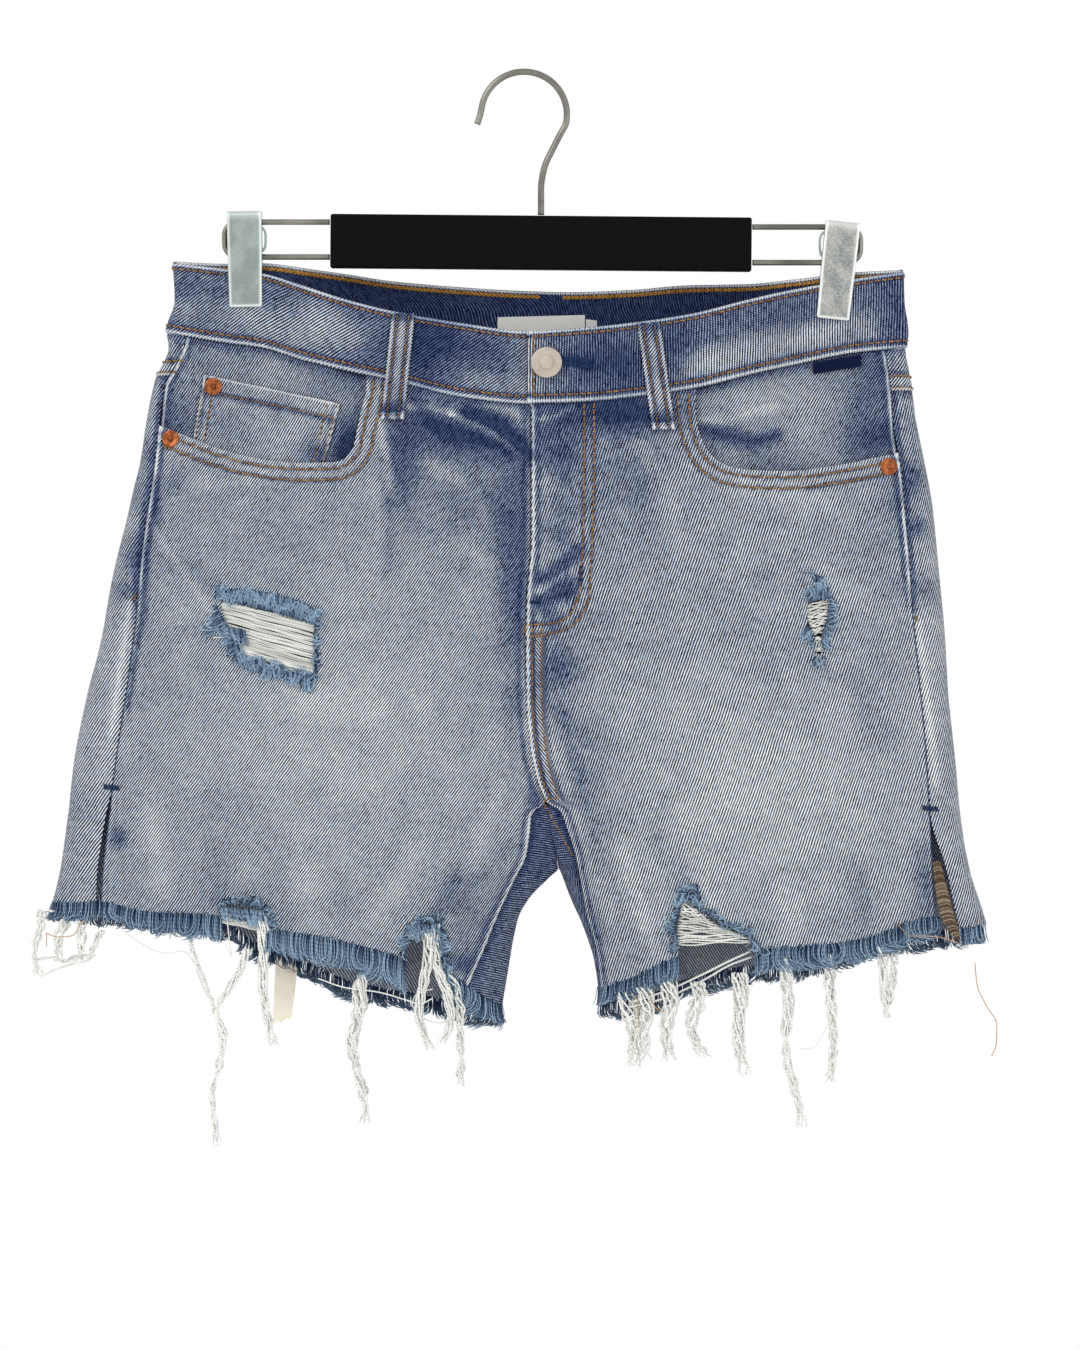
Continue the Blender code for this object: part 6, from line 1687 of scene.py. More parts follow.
# yarns that hang in bunches, the third to the eighth as the net at the right leg's corner:
# path; yarns; seed; width; knots; twist
BUNCHES = [
    (
        [(-183.7, -470), (-181, -482), (-175, -498), (-169.4, -514.3), (-166, -530), (-167.2, -543),
        (-171, -560), (-169, -588)], 3, 1, 1, (0.36, 0.62), 3,
    ),
    (
        [(-151.8, -480), (-155.5, -492), (-162, -503), (-168.4, -514.3), (-164.6, -528), (-166.2, -543),
        (-171, -560), (-167.5, -585)], 6, 2, 2, (0.34, 0.62), 2.4,
    ),
    (
        [(-259, -460), (-266, -459), (-265.4, -466.4), (-267.4, -474.1), (-269, -484.9), (-266.5, -495)], 4,
        61, 2.2, (), 1.6,
    ),
    ([(-251, -464), (-255, -473), (-256, -480), (-253.5, -487)], 5, 62, 3, (), 0.6),
    ([(-252, -462), (-253, -466), (-253.5, -471)], 4, 67, 1.6, (), 1),
    ([(-243, -464), (-242.8, -472), (-243, -480), (-244.5, -487)], 5, 63, 2.8, (), 0.8),
    ([(-231, -470), (-236, -478), (-238, -485), (-252, -489.5), (-266, -495.5)], 3, 64, 1.4, (), 2),
    ([(-268, -486.5), (-260, -485.5), (-252.5, -488), (-247.7, -485), (-237, -484)], 4, 65, 1.8, (), 2),
    ([(-143, -462), (-142.6, -480), (-143.2, -500), (-140.6, -516), (-136.8, -533)], 9, 3, 3, (), 0.8),
    (
        [(-87, -494), (-89.6, -500), (-90.4, -516), (-94, -531), (-91.9, -544.5), (-88, -560),
        (-85.8, -575)], 9, 4, 3.4, (0.62,), 1.8,
    ),
    ([(-52.4, -467), (-52, -482), (-55.4, -500), (-57.6, -516), (-54, -528), (-50, -535)], 7, 5, 3, (), 0.9),
    ([(-49, -466), (-48, -486), (-42, -506), (-40, -520), (-45, -532)], 7, 6, 3, (), 0.8),
    ([(-42, -490), (-36, -508), (-34.6, -524), (-34.7, -545.5), (-34, -555)], 6, 7, 2.2, (0.78,), 2.2),
    ([(56, -504), (58, -514), (60.6, -530), (61, -545)], 9, 8, 5, (), 0.7),
    ([(66, -501), (68, -512), (65, -528), (66.6, -541)], 8, 9, 4.4, (), 0.7),
    ([(78, -498), (80, -508), (78, -524), (80, -541)], 8, 10, 5, (), 0.7),
    ([(94, -498), (96, -505), (92, -522), (97.6, -539)], 6, 11, 4.4, (), 0.8),
    ([(118, -493), (119, -504), (117.4, -526), (120.6, -549)], 9, 12, 4, (), 0.9),
    (
        [(142, -485), (143, -492), (144.6, -510), (143.4, -528), (145, -545), (149, -560), (151.6, -577.5)],
        8, 13, 3.2, (0.5,), 1.6,
    ),
    ([(167, -483), (167.6, -494), (168.6, -516), (169.4, -534), (167.6, -552.8)], 7, 14, 3, (), 1.4),
    ([(195, -479), (196.6, -484), (197.4, -500), (199, -518)], 6, 15, 2.8, (), 0.8),
    ([(202, -479), (203.4, -480), (202, -500), (199, -516)], 4, 16, 2, (), 0.8),
]
# tangles in the bunches: x; z; size
KNOTS = [(-166.7, -542.9, 2.2), (-91.9, -544.5, 2), (-34.7, -547, 2.4), (143.5, -536, 2)]
# loose single threads: colour; corners; radius
SINGLES = [
    ("white", [(-170, -309.6), (-165, -309.4), (-160, -311), (-152, -312.6)], 0.36),
    ("white", [(-163, -458), (-162, -468), (-160, -484), (-163, -478)], 0.34),
    ("white", [(-112.8, -496), (-98, -501), (-80, -503.5), (-64, -508), (-57, -510), (-50, -507)], 0.4),
    ("white", [(-40, -517), (-46, -520.5), (-55, -518), (-61, -510), (-58, -504), (-50, -502)], 0.42),
    ("white", [(60, -509), (78, -503), (96, -495), (112, -487), (124, -481.5)], 0.62),
    ("white", [(58, -512), (76, -507.5), (97, -498), (113, -489), (125, -484.5)], 0.58),
    (
        "white", [(-220, -470.5), (-196, -482.5), (-187.5, -481.3), (-182.6, -484.6), (-175.5, -501.6),
        (-168, -515)], 0.28,
    ),
    ("white", [(151, -535), (158, -534), (163, -528), (167, -520)], 0.3),
    ("brown", [(247.4, -488), (248.6, -500), (254, -512), (259.4, -522), (259.2, -532), (256.6, -539)], 0.3),
    ("brown", [(205, -467), (212, -473), (222, -473), (236, -476), (240, -478)], 0.22),
    ("brown", [(62.4, -507), (62.8, -520), (62.2, -529)], 0.28),
    ("brown", [(69, -507), (72, -512), (75, -514.5)], 0.28),
    ("brown", [(-242.5, -465), (-248, -473), (-256, -473.6), (-261.8, -471.4), (-261.8, -478.6)], 0.3),
]


def hem_fringe(threads, side, face, x0, x1, seed, reach, layers=3, pitch=0.4):
    """Dense yarns under a hem's cut edge, between two levels of x. Neighbours swoop together and end level.
    The first layer is sparse and light, and a last layer of stray yarns lies over them all."""
    half, rng = HALVES[side], np.random.default_rng(seed)
    t = np.linspace(0, 1, 7)
    girth = np.array([0.35, 0.39, 0.39, 0.37, 0.35, 0.31, 0.20])
    drop = np.sin(t * math.pi * 0.46) / math.sin(math.pi * 0.46)
    for layer in range(layers + 1):
        stray = layer == layers
        x = np.arange(x0, x1, 3.2 if stray else 1.15 if layer == 0 else pitch)
        x = x + rng.normal(0, 0.25 if layer == 0 else 0.15, len(x))
        n, level, z = len(x), np.zeros_like(x), HEM_AT[face](x)
        f = half.f_on(face, x, z)
        out = (0.2 if stray else -0.1 - 0.6 * layer) + rng.normal(0, 0.15, n)
        if face == "back":
            out = out - 2.6 * (np.abs(x - TAG_X) < 10)
        roots = half.at(f, z + rng.uniform(0.3, 1.3, n), out)
        away = half.at(f, z, out + 1.0) - roots
        swoop = 11.0 * lumps(x, level, 9.0, seed) + 4.0 * lumps(x, level, 3.0, seed + 5)
        swoop = np.clip(swoop + (2.4 if side == "left" else 0.8), -6.0, 6.0)
        swoop = swoop * np.clip((x1 - x) / 8, 0.2, 1) * np.clip((x - x0) / 8, 0.2, 1)
        swoop = swoop + rng.normal(0, 2.4 if stray else 0.6, n) - 5.0 * (x < -252) * (face == "front")
        length = 0.95 + 0.09 * lumps(x, level, 9.0, seed + 2) + rng.normal(0, 0.07, n) - 0.04 * layer
        length = length * np.interp(x, (x0, x1), reach)
        aside = swoop[:, None] * (t**1.7 - 0.35 * np.sin(math.pi * t)) * reach[0] / 12
        size, rate, phase = rng.normal(0, 0.16, (n, 1)), rng.uniform(5, 10, (n, 1)), rng.uniform(0, 6, (n, 1))
        bulge = (0.8 + 0.9 * rng.random(n))[:, None] * np.sin(math.pi * t * 0.85) * (1.3 if stray else 0.8)
        centres = roots[:, None] + away[:, None] * bulge[..., None]
        centres[..., 0] += aside + size * np.sin(t * rate + phase)
        centres[..., 2] -= length[:, None] * drop
        # the layers behind the first are darker: painted shade within the fringe
        tone = (0.75 if stray else 0.30 if layer == 0 else -0.14) + 0.18 * lumps(x, level, 2.2, seed + 9)
        tone = np.clip(tone + rng.normal(0, 0.2, n), -0.2, 1.0)
        threads.add(centres, girth * (0.7 if stray else 1.0), tone, 3)


def fray(threads, edge, way, seed, reach, pitch):
    """Curly yarns on the front beside a torn edge: a dark short pile in two layers, light loops over it."""
    rng = np.random.default_rng(seed)
    edge = smooth_line(edge, pitch)
    t = np.linspace(0, 1, 8)[None, :, None]
    girth = np.array([0.32, 0.36, 0.37, 0.37, 0.36, 0.33, 0.28, 0.18])
    for layer in range(3):
        light = layer == 2
        spot = edge[rng.random(len(edge)) < 0.4] if light else edge
        spot = spot + rng.normal(0, 0.4, spot.shape)
        n = len(spot)
        if not n:
            continue
        x, z = spot.T
        level = 0.35 * (0.3 + layer)
        roots = on_front(x, z, level)
        heading = unit(on_front(x + way[0], z + way[1], level) - roots)[:, None]
        lean = 1.6 * lumps(x, z, 3.0, seed + layer)[:, None, None] + rng.normal(0, 0.4, (n, 1, 1))
        length = reach * (0.9 + 0.6 * lumps(x, z, 3.6, seed + 7))
        length = (length * rng.uniform(*((0.8, 1.1) if light else (0.5, 0.95)), n))[:, None, None]
        turn = rng.uniform(*((0.72, 0.98) if light else (0.4, 0.6)), (n, 1, 1))
        forward = heading * length * np.sin(math.pi * t * turn)
        curl = np.sign(lean) * (1.3 if light else 0.2) * (1 - np.cos(math.pi * t))
        aside = np.cross(heading, (0.0, 1.0, 0.0)) * (lean * 2.0 * t**1.5 + curl)
        arch = np.array((0.0, -1.0, 0.0)) * np.sin(math.pi * t) * rng.uniform(0.3, 0.9, (n, 1, 1))
        shade = 0.08 + 0.12 * layer + (0.42 if light else 0.0) + rng.normal(0, 0.2, n)
        centres = roots[:, None] + forward + aside + arch
        threads.add(centres, girth * (0.95 if light else 1.0), np.clip(shade, -0.2, 1.0), 3)


def notch_frays(threads):
    """Curly yarns that point away from the middle of each notch, along its sides over the hem."""
    for seed, outline in ((41, NOTCH_RIGHT_OUTER[:5]), (42, NOTCH_RIGHT_INNER[1:6]), (43, NOTCH_LEFT[:9])):
        middle = np.mean(outline, axis=0)
        for (x0, z0), (x1, z1) in zip(outline, outline[1:]):
            if min(z0, z1) >= HEM_AT["front"]((x0 + x1) / 2) - 4:
                way = np.array(((x0 + x1) / 2, (z0 + z1) / 2)) - middle
                fray(threads, [(x0, z0), (x1, z1)], way / np.linalg.norm(way) * 2.6, seed, 5.0, 0.5)


def bridge(threads, left, right, count, seed, wave, radius, droop):
    """Bare yarns across a hole: from points down its left edge to points down its right edge."""
    rng = np.random.default_rng(seed)
    s = np.clip((np.arange(count) + 0.5) / count + rng.normal(0, 0.25 / count, count), 0, 1)
    lines = (smooth_line(edge, 0.4) for edge in (left, right))
    left, right = (points_at(line, np.linspace(0, 1, len(line)), s)[:, :, None] for line in lines)
    t = np.linspace(-0.06, 1.06, 26)[None, :]
    x, z = lerp(left, right, t).swapaxes(0, 1)
    phase = rng.uniform(0, 6.3, (count, 1))
    z = z + wave * np.sin(phase + t * rng.uniform(5, 16, (count, 1)))
    z = z - droop * np.sin(math.pi * np.clip(t, 0, 1))
    depth = -0.9 + 0.22 * np.sin(phase * 2 + t * 7) - 1.2 * np.maximum(np.abs(t - 0.5) - 0.5, 0) * 16
    threads.add(on_front(x, z, depth), radius, 0.3 + rng.normal(0, 0.35, count), 5)


def bunch(threads, path, yarns, seed, width, knots, twist):
    """Yarns that hang together along a path of (x, z): they twist about it, close up at knots and part at the
    end, and a third of them reach it."""
    rng = np.random.default_rng(seed)
    line = smooth_line(path, 0.8)
    length = lengths(line)
    depth = on_front(*line[0], -0.9)[1]
    for k in range(yarns):
        stop = 1.0 - 0.25 * rng.random() * (k % 3 > 0)
        t = np.linspace(0, stop, 40)
        x, z = points_at(line, length, t * length[-1]).T
        spin = 2 * math.pi * (k / yarns + twist * t) + rng.normal(0, 0.4)
        size = width * (0.5 + 0.5 * (1 - t)) * (0.65 + 0.5 * rng.random())
        for knot_at in knots:
            size = size * (1 - 0.8 * bump(t, knot_at, 0.05))
        size = size + width * 0.8 * np.maximum(t - 0.9, 0) * 10 * rng.random()
        wave = [
            rng.normal(0, 0.6) * np.sin(t * length[-1] / rng.uniform(0.9, 2.4) + rng.uniform(0, 6))
            for _ in range(3)
        ]
        x = x + size * np.cos(spin) + wave[0] + wave[2] * 0.5
        y = depth + 0.6 * size * np.sin(spin) + wave[1] + 0.6 * smoothstep(0, 0.2, t)
        thick = 0.5 * np.clip((stop - t) / 0.06 + 0.35, 0.3, 1.0)
        threads.add(np.column_stack([x, y, z + 0.4 * wave[2]])[None], thick[None], 0.85 + rng.normal(0, 0.25))


def knot(threads, x, z, size):
    """A small tangle of yarn."""
    rng = np.random.default_rng(int(abs(x)))
    t = np.linspace(0, 2 * math.pi, 20)
    y = float(on_front(x, max(z, -520.0), -0.9)[1])
    for _ in range(4):
        a, b, c = rng.uniform(0, 6.3, 3)
        tangle = np.column_stack([np.cos(t + a), np.sin(2 * t + b) * 0.6, np.sin(t + c) * 1.2]) * size
        threads.add(((x, y, z) + tangle)[None], 0.42, 0.6 + rng.normal(0, 0.15), 5)


def frayed_edges():
    """The blue yarns under the hems and round the rips."""
    blue = {key: Threads() for key in ("front_right", "front_left", "back_right", "back_left", "rips")}
    for key, side, face, x0, x1, reach in FRINGES:
        pitch, layers = (0.4, 3) if face == "front" else (0.5, 2)
        hem_fringe(blue[key], side, face, x0, x1, int(abs(x0)), reach, layers, pitch)
    for row in FRAYS:
        fray(blue["rips"], *row)
    notch_frays(blue["rips"])
    for key, threads in blue.items():
        nodes = {
            "front_right": ("fringe_front_right_outer", "fringe_front_right_inner"),
            "front_left": ("fringe_front_left_inner", "fringe_front_left_outer"),
            "rips": (),
        }.get(key, (f"fringe_{key}",))
        threads.piece(f"frayed_{key}", "fringe_blue", *nodes)


def leg_of(x):
    return "right" if x < 15 else "left"


def single(threads, corners, radius):
    """A loose thread through corners in x and z, a little in front of the cloth it starts on."""
    x, z = smooth_line(corners, 1.0).T
    y = np.full(len(x), on_front(x[0], z[0], -0.2)[1] - 1.2)
    threads.add(np.column_stack([x, y, z])[None], radius, 0.7, 5)


def loose_brown_threads():
    brown = Threads()
    for colour, *row in SINGLES:
        if colour == "brown":
            single(brown, *row)
    brown.piece("loose_brown_threads", "loose_thread")


def loose_yarns():
    """The white yarns across the holes, in bunches and single."""
    nodes = {
        "right": "tassels_right",
        "left": "tassels_left",
        "rip_right": "rip_threads_right",
        "rip_left": "rip_threads_left",
        "hem_left": "hem_threads_left",
    }
    white = {key: Threads() for key in nodes}
    for key, *row in BRIDGES:
        bridge(white[key], *row)
    for path, yarns, *row in BUNCHES:
        bunch(white[leg_of(path[0][0])], path, yarns * 5 // 3, *row)
    for x, z, size in KNOTS:
        knot(white[leg_of(x)], x, z, size)
    for colour, corners, radius in SINGLES:
        if colour == "white":
            single(white[leg_of(corners[0][0])], corners, radius)
    for key, node in nodes.items():
        white[key].piece(f"yarns_{key}", "white_yarn", node)


loose_brown_threads()
frayed_edges()
loose_yarns()


# ---- labels ----
def label(name, face, corners, out, look, seed, ragged_foot=0.0):
    """A small flat woven piece between four corners: top left, top right, foot left, foot right."""

    def place(height):
        x, z = between_corners(corners, a, v)
        sag = 0.25 * lumps(x, z, 6, seed)
        z = z + ragged_foot * lumps(x * 3, z * 0, 2, seed + 1) * v**8
        points = on_face(face, x, np.maximum(z, -521.0), height + sag)
        points[..., 2] += np.minimum(z + 521.0, 0)
        return points

    wide, tall = (math.dist(corners[0], corners[k]) for k in (1, 2))
    a, v = grid(*(np.linspace(0, 1, max(int(size / 1.2), 4)) for size in (wide, tall)))
    cloth = Cloth().add(place(out), place(out - 0.5), np.stack([a * wide, v * tall], axis=-1), {}, rim_look=0)
    cloth.piece(f"cloth_{name}", name, (look, look), smooth=30.0)


BEHIND_BAND = -BAND_IN - SEAM
# label: face; corners; height over the cloth; look; seed; how ragged its foot is
LABELS = {
    "waist_label": (
        "back", [(-14.6, -132.4), (33.6, -131.2), (-14.6, -156), (33.6, -156)], BEHIND_BAND, "satin", 71,
    ),
    "size_tab": (
        "back", [(34.2, -133.6), (40.2, -134.2), (34.2, -150), (40.2, -150)], BEHIND_BAND, "satin", 72,
    ),
    "side_tab": (
        "front", [(158.8, -158.3), (185.4, -153.9), (158.8, -164.8), (185.4, -160.4)], 0.8, "navy_weave", 73,
    ),
    "care_tag": (
        "back", [(-136.5, -462), (-122, -462), (-138.8, -523.5), (-128.4, -519)], -CLOTH - SEAM,
        "cream_tape", 74, 1.2,
    ),
}
for name, row in LABELS.items():
    label(name, *row)


# ---- button and rivets ----
BUTTON = (12.4, -159.4)
# profiles of half a section: radius; height
BUTTON_PROFILE = [
    (0, 2.75), (3.5, 2.75), (3.8, 2.35), (4.3, 2.25), (4.6, 2.55), (6.9, 2.65), (7.4, 2.95), (7.9, 3),
    (8.3, 2.8), (8.5, 2.3), (8.3, 1.6), (7.4, 1), (4, 0.7), (3.8, 0), (0, 0),
]
RIVET_PROFILE = [
    (0, 1.9), (0.6, 1.9), (1, 1.75), (1.3, 1.2), (1.7, 0.85), (2.2, 0.8), (3, 0.95), (3.8, 1.15), (4.3, 1.1),
    (4.7, 0.8), (4.8, 0.4), (4.7, 0), (0, 0),
]
# rivet: x; z; height over the facing, or 0 on the front
RIVETS = {
    "rivet_right": (-193.8, -200.4, 0.0),
    "rivet_left": (200.0, -215.8, 0.0),
    "rivet_coin": (-170.8, -171.6, COIN_OUT + 0.2),
}


def turned(name, node, profile, base, normal, look, steps=48):
    """A turned piece from its profile, standing on a point of the cloth."""
    normal = normal / np.linalg.norm(normal)
    wide = unit(np.cross(normal, (0.0, 0.0, 1.0)))
    angle = np.arange(steps) * 2 * math.pi / steps
    round_it = np.column_stack([np.cos(angle), np.sin(angle)])
    ring = round_it @ np.array([wide, np.cross(wide, normal)])
    rims = profile[1:-1]
    verts = np.vstack([base + normal * profile[0][1]] + [base + ring * r + normal * h for r, h in rims])
    verts = np.vstack([verts, base + normal * profile[-1][1]])
    uvs = np.vstack([np.zeros((1, 2))] + [round_it * r for r, _ in rims] + [np.zeros((1, 2))])
    last = 1 + (len(rims) - 1) * steps
    faces = []
    for k in range(steps):
        n = (k + 1) % steps
        faces.append([0, 1 + k, 1 + n])
        for a in range(1, last, steps):
            b = a + steps
            faces.append([a + k, b + k, b + n, a + n])
        faces.append([len(verts) - 1, last + n, last + k])
    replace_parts(new_piece(name, verts, faces, (look,), uvs, smooth=35.0), node)


def fasteners():
    base, tip = (on_front(*BUTTON, LAP + BAND_OUT + over) for over in (SEAM, 2))
    turned("button_metal", "button", BUTTON_PROFILE, base, tip - base, "nickel", 72)
    for name, (x, z, raised) in RIVETS.items():

        def seat(x, z, raised=raised):
            return on_front(x, z, SEAM + raised - (facing_depth("right", x, z) if raised else 0.0))

        base = seat(x, z)
        normal = np.cross(seat(x + 2, z) - base, seat(x, z + 2) - base)
        turned(f"copper_{name}", name, RIVET_PROFILE, base, normal, "copper")


fasteners()


# ---- hanger ----
# clip: x and z of its top; x and z of its foot
CLIPS = {"right": (-153.8, -74.8, -152.9, -127.9), "left": (175.5, -80.5, 169.7, -134.5)}
# rods: x by the bar; x of the bend; levels of the upper and the lower rod
RODS = {"right": (-106.8, -164.6, -80.9, -100.1), "left": (125.6, 185.0, -83.6, -103.2)}
ROD_RADIUS, ROD_BEND = 1.6, 7.5
CLIP_HALF, CLIP_PLATE = 9.5, 1.0  # half the clip's width, and the thickness of its plate
CLIP_BEND, CLIP_CORNER = 2.6, 1.2  # radii of its fold and of the corners of its feet
BAR_MIDDLE, BAR_SIZE, BAR_TILT = (9.35, 0, -92.4), (231.5, 12.0, 29.6), math.radians(0.5)
HOOK_RADIUS, WIRE = 23.6, 1.8


def rod(name, node, points, radius):
    """A round bar bent along a path."""
    Threads().add(smooth_line(points, 0.8)[None], radius, 0.5, 16).piece(name, "steel", node)


def rounded_box(name, node, size, centre, tilt, look, bevel):
    bm = bmesh.new()
    bmesh.ops.create_cube(bm, size=1)
    bmesh.ops.scale(bm, vec=Vector(size), verts=bm.verts)
    bmesh.ops.bevel(bm, geom=bm.edges[:], offset=bevel, segments=4, profile=0.5, affect="EDGES")
    turn = Matrix.Rotation(tilt, 3, "Y")
    verts = [turn @ v.co + Vector(centre) for v in bm.verts]
    faces = [[v.index for v in f.verts] for f in bm.faces]
    bm.free()
    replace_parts(new_piece(name, verts, faces, (look,), smooth=30.0), node)


def clip_path(height):
    """The clip's fold in depth and height, from the front foot over the top to the back foot."""
    outer = CLIP_DEPTH + BAND_OUT + SEAM + CLIP_PLATE
    down = spread(height - CLIP_BEND, 1.4)[::-1] * (height - CLIP_BEND) + CLIP_BEND
    turn = np.radians(np.linspace(0, 90, 8))[1:-1]
    bend = np.column_stack([outer - CLIP_BEND * (1 - np.cos(turn)), CLIP_BEND * (np.sin(turn) - 1)])
    half = np.vstack([np.column_stack([np.full_like(down, outer), -down]), bend])
    flat = np.linspace(-outer + CLIP_BEND, outer - CLIP_BEND, 8)
    return np.vstack([half * (-1, 1), np.column_stack([flat, 0 * flat]), half[::-1]])


def clip_plate(side):
    """A pressed plate folded over both rods, with raised rims."""
    top_x, top_z, foot_x, foot_z = CLIPS[side]
    height = math.hypot(top_x - foot_x, top_z - foot_z)
    path = clip_path(height)
    run = unit(np.gradient(path, axis=0))
    inward = np.column_stack([run[:, 1], -run[:, 0]])
    across = spread(2 * CLIP_HALF, 1.2) * 2 - 1
    depth = -path[:, 1]
    corner = CLIP_CORNER - np.clip(height - depth, 0, CLIP_CORNER)
    width = CLIP_HALF - 0.5 * smoothstep(10, height, depth)
    width = width - (CLIP_CORNER - np.sqrt(np.maximum(CLIP_CORNER**2 - corner**2, 0)))
    edge = np.minimum((1 - np.abs(across))[None, :] * width[:, None], (height - depth)[:, None])
    dish = 0.25 * smoothstep(0.6, 1.8, edge) + 0.35 * bump(edge, 0, 0.35)
    x = across[None, :] * width[:, None]
    turn = np.array(Matrix.Rotation(math.atan2(top_x - foot_x, top_z - foot_z), 3, "Y"))
    walls = []
    for deep in (dish, np.full_like(dish, CLIP_PLATE)):
        y, z = (path[:, k, None] + inward[:, k, None] * deep for k in (0, 1))
        walls.append(np.stack([x, y, z], axis=-1) @ turn.T + (top_x, 0, top_z))
    uv = np.stack(np.broadcast_arrays(x, np.arange(len(path))[:, None] * 1.3), axis=-1)
    look = "zinc_dull" if side == "right" else "zinc_bright"
    # painted highlight along the plate's rims and over its top fold
    rim_highlight = np.clip(bump(edge, 0.7, 0.7) + 0.6 * bump(depth[:, None], 1.5, 2.5), 0, 1)
    cloth = Cloth().add(*walls, uv, {"wear_and_highlight": rim_highlight}, rim_look=0)
    cloth.piece(f"metal_clip_{side}", f"clip_{side}", (look, look), 30.0)


def clip_spring(side, upper, lower):
    """The strip between the rods that closes the clip, bent into a flat ring."""
    top_x, top_z, foot_x, foot_z = CLIPS[side]
    middle, room = (upper + lower) / 2, upper - lower - 2 * ROD_RADIUS - 2 * SEAM
    centre = lerp(top_x, foot_x, (top_z - middle) / (top_z - foot_z)) - HALVES[side].sign * 4.5
    reach, thick, steps = 7.5, 1.1, 48
    angle = np.linspace(0, 2 * math.pi, steps + 1)[:-1]
    across, up = (np.sign(c) * np.abs(c) ** 0.6 for c in (np.cos(angle), np.sin(angle)))
    verts, faces = [], []
    for cx, cz in zip(across, up):
        for shrink, y in ((0, -4.2), (0, 4.2), (thick, 4.2), (thick, -4.2)):
            verts.append((centre + cx * (reach - shrink), y, middle + cz * (room / 2 - shrink)))
    for k in range(steps):
        a, b = 4 * k, 4 * ((k + 1) % steps)
        for m, n in ((0, 1), (1, 2), (2, 3), (3, 0)):
            faces.append([a + m, b + m, b + n, a + n])
    spring = new_piece(f"metal_spring_{side}", verts, faces, ("zinc_dull",), smooth=30.0)
    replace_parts(spring, f"clip_spring_{side}")


def hook():
    x, _, z = BAR_MIDDLE
    centre = WIRE - HOOK_RADIUS
    arc = np.radians(np.linspace(-12, 172, 30))
    ring = [(HOOK_RADIUS * math.cos(a), 0, centre + HOOK_RADIUS * math.sin(a)) for a in arc]
    foot = z + BAR_SIZE[2] / 2 + SEAM + 0.3
    stem = curve([(foot, x), (foot + 14, x), (-51.0, 11.2), (-42.0, 15.2), (ring[0][2], ring[0][0])])
    lower = [(float(stem(h)), 0, h) for h in np.linspace(foot, ring[0][2] - 4, 12)]
    tip_x, _, tip_z = ring[-1]
    tip = [(tip_x - 0.9, 0, tip_z - 4.0), (tip_x - 2.4, 0, tip_z - 8.6)]
    rod("steel_hook", "hanger_hook", [*lower, *ring, *tip], WIRE)


def hanger():
    rounded_box("plastic_bar", "hanger_bar", BAR_SIZE, BAR_MIDDLE, BAR_TILT, "black", 1.3)
    hook()
    for side, (near, far, upper, lower) in RODS.items():
        reach = math.copysign(ROD_BEND, far - near)
        turn = np.radians(np.linspace(90, 0, 7))
        bend = [(far - reach * (1 - math.cos(a)), 0, upper - ROD_BEND * (1 - math.sin(a))) for a in turn]
        under = [(x, 0, upper + lower - z) for x, _, z in reversed(bend)]
        path = [(near, 0, upper), *bend, *under, (near, 0, lower)]
        rod(f"steel_rod_{side}", f"hanger_rod_{side}", path, ROD_RADIUS)
        clip_plate(side)
        clip_spring(side, upper, lower)


hanger()


# ---- camera, floor and light, in metres ----
FLOOR = -0.80
EYE, SENSOR, VIEW_HEIGHT = (0.0088, -4.2, -0.330), 36.0, 0.7425
# lamp: name; place; size; power
LAMPS = [("key", (-1.6, -2.2, 1.5), 1.4, 26.0), ("fill", (2.2, -2.4, 0.3), 1.8, 10.0)]


def add_object(name, data):
    thing = bpy.data.objects.new(name, data)
    bpy.context.scene.collection.objects.link(thing)
    return thing


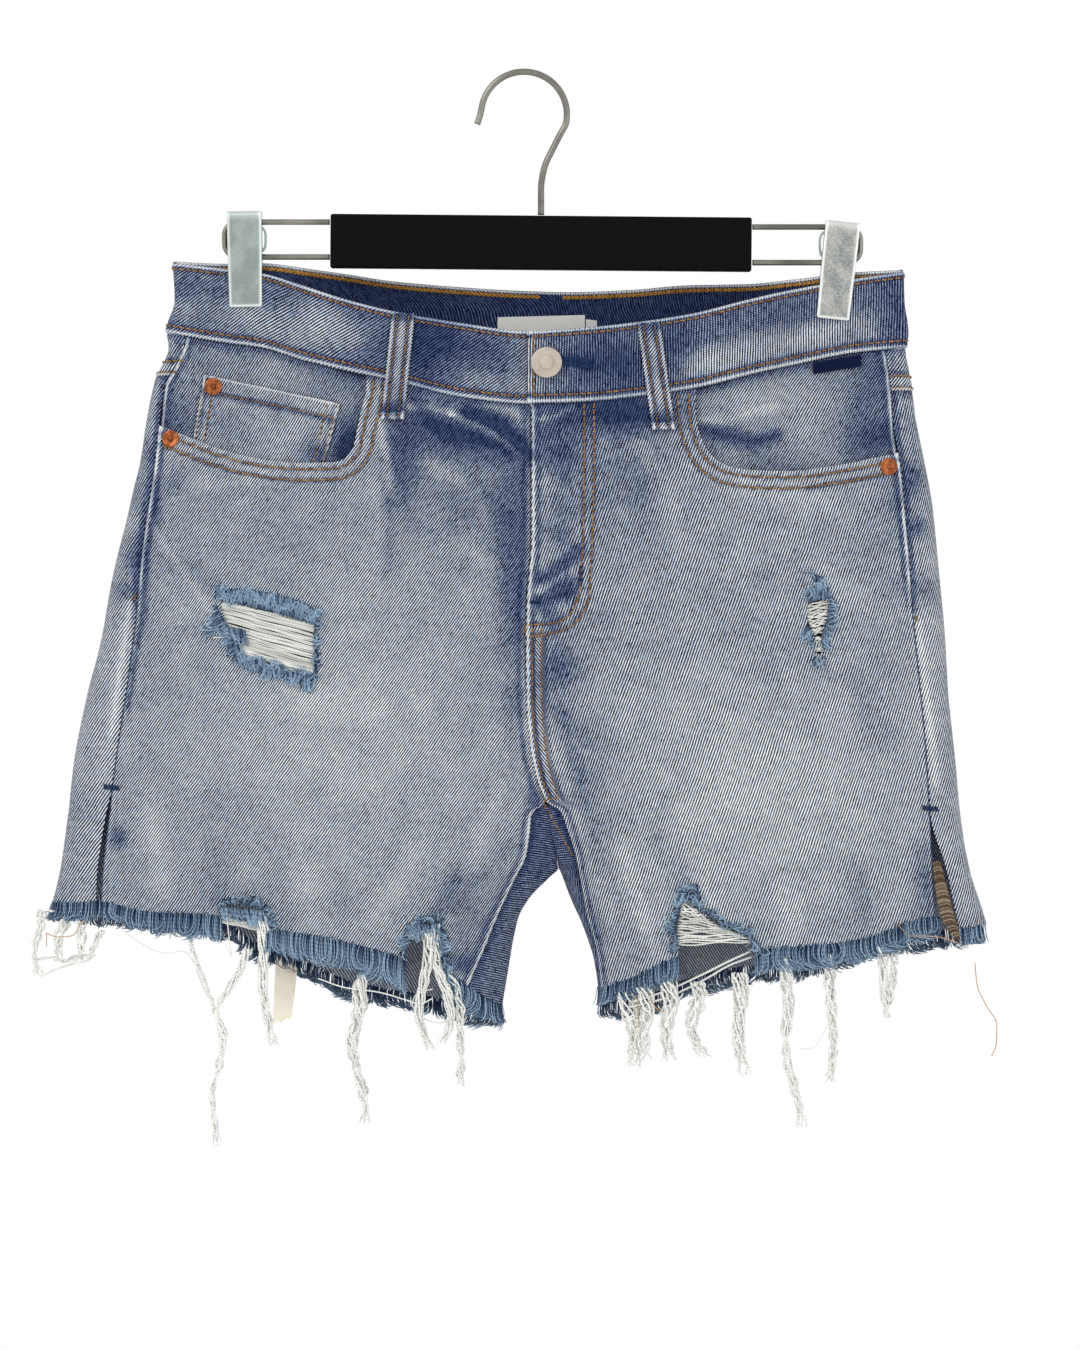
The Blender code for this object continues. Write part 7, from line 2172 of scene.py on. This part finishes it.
def studio():
    scene = bpy.context.scene
    camera = bpy.data.cameras.new("camera")
    camera.sensor_width, camera.sensor_fit = SENSOR, "AUTO"
    camera.lens = SENSOR * -EYE[1] / VIEW_HEIGHT
    eye = add_object("camera", camera)
    eye.location = EYE
    eye.rotation_euler = (math.pi / 2, 0, 0)
    scene.camera = eye
    scene.view_settings.view_transform = "Standard"
    world = bpy.data.worlds.new("world")
    world.use_nodes = True
    background = world.node_tree.nodes["Background"]
    background.inputs["Color"].default_value = (1.0, 1.0, 1.0, 1)
    background.inputs["Strength"].default_value = 1.0
    scene.world = world
    mesh = bpy.data.meshes.new("floor")
    corners = [(-3, -3, FLOOR), (3, -3, FLOOR), (3, 1.05, FLOOR), (-3, 1.05, FLOOR)]
    mesh.from_pydata(corners, [], [(0, 1, 2, 3)])
    look = Look("floor", 0.9)
    look.shader.inputs["Base Color"].default_value = (0.9, 0.9, 0.9, 1)
    mesh.materials.append(look.material)
    add_object("floor", mesh)
    for name, place, size, power in LAMPS:
        light = bpy.data.lights.new(name, "AREA")
        light.size, light.energy = size, power
        lamp = add_object(name, light)
        lamp.location = place
        lamp.rotation_euler = (Vector((0, 0, -0.3)) - Vector(place)).to_track_quat("-Z", "Y").to_euler()


# ---- the cloth's cut ----
# piece; width; length; flat area, cm2, where it isn't a rectangle; what it hangs from; pieces on it
SHEETS = [
    (
        "front_right", 244, 335, 595, "waistband_right",
        ("frayed_front_right", "yarns_right", "yarns_rip_right"),
    ),
    (
        "front_left", 226, 330, 575, "waistband_left",
        ("frayed_front_left", "yarns_left", "yarns_rip_left"),
    ),
    ("back_right", 292, 352, 835, "yoke_right", ("frayed_back_right",)),
    ("back_left", 262, 340, 735, "yoke_left", ("frayed_back_left",)),
    ("yoke_right", 232, 62, 103, "waistband_right", ()),
    ("yoke_left", 216, 62, 95, "waistband_left", ()),
    ("waistband_right", 455, 40, None, "clip_right", ()),
    ("waistband_left", 440, 40, None, "clip_left", ()),
    ("facing_right", 126, 84, 88, "waistband_right", ()),
    ("facing_left", 121, 76, 77, "waistband_left", ("cloth_side_tab",)),
    ("back_pocket_right", 132, 134, 153, "back_right", ()),
    ("back_pocket_left", 132, 134, 153, "back_left", ()),
    ("coin_pocket", 78, 43, None, "pocket_facing_right", ()),
    ("fly_shield", 24, 124, 26, "waistband_left", ()),
    ("waist_label", 48.2, 24.7, None, "waistband_left", ("cloth_size_tab",)),
    ("care_tag", 14.5, 62, 7.7, "back_right", ()),
]


def declare_cloth():
    strips = []
    for name, (_, _, _, length) in LOOPS.items():
        above = "waistband_right" if "right" in name else "waistband_left"
        strips.append((name, LOOP_WIDTH, length, None, above, ()))
    for name, width, length, area, above, extras in SHEETS + strips:
        sheet, flat = bpy.data.objects[f"cloth_{name}"], (width * MM, length * MM)
        area and area * 1e-4


declare_cloth()
studio()
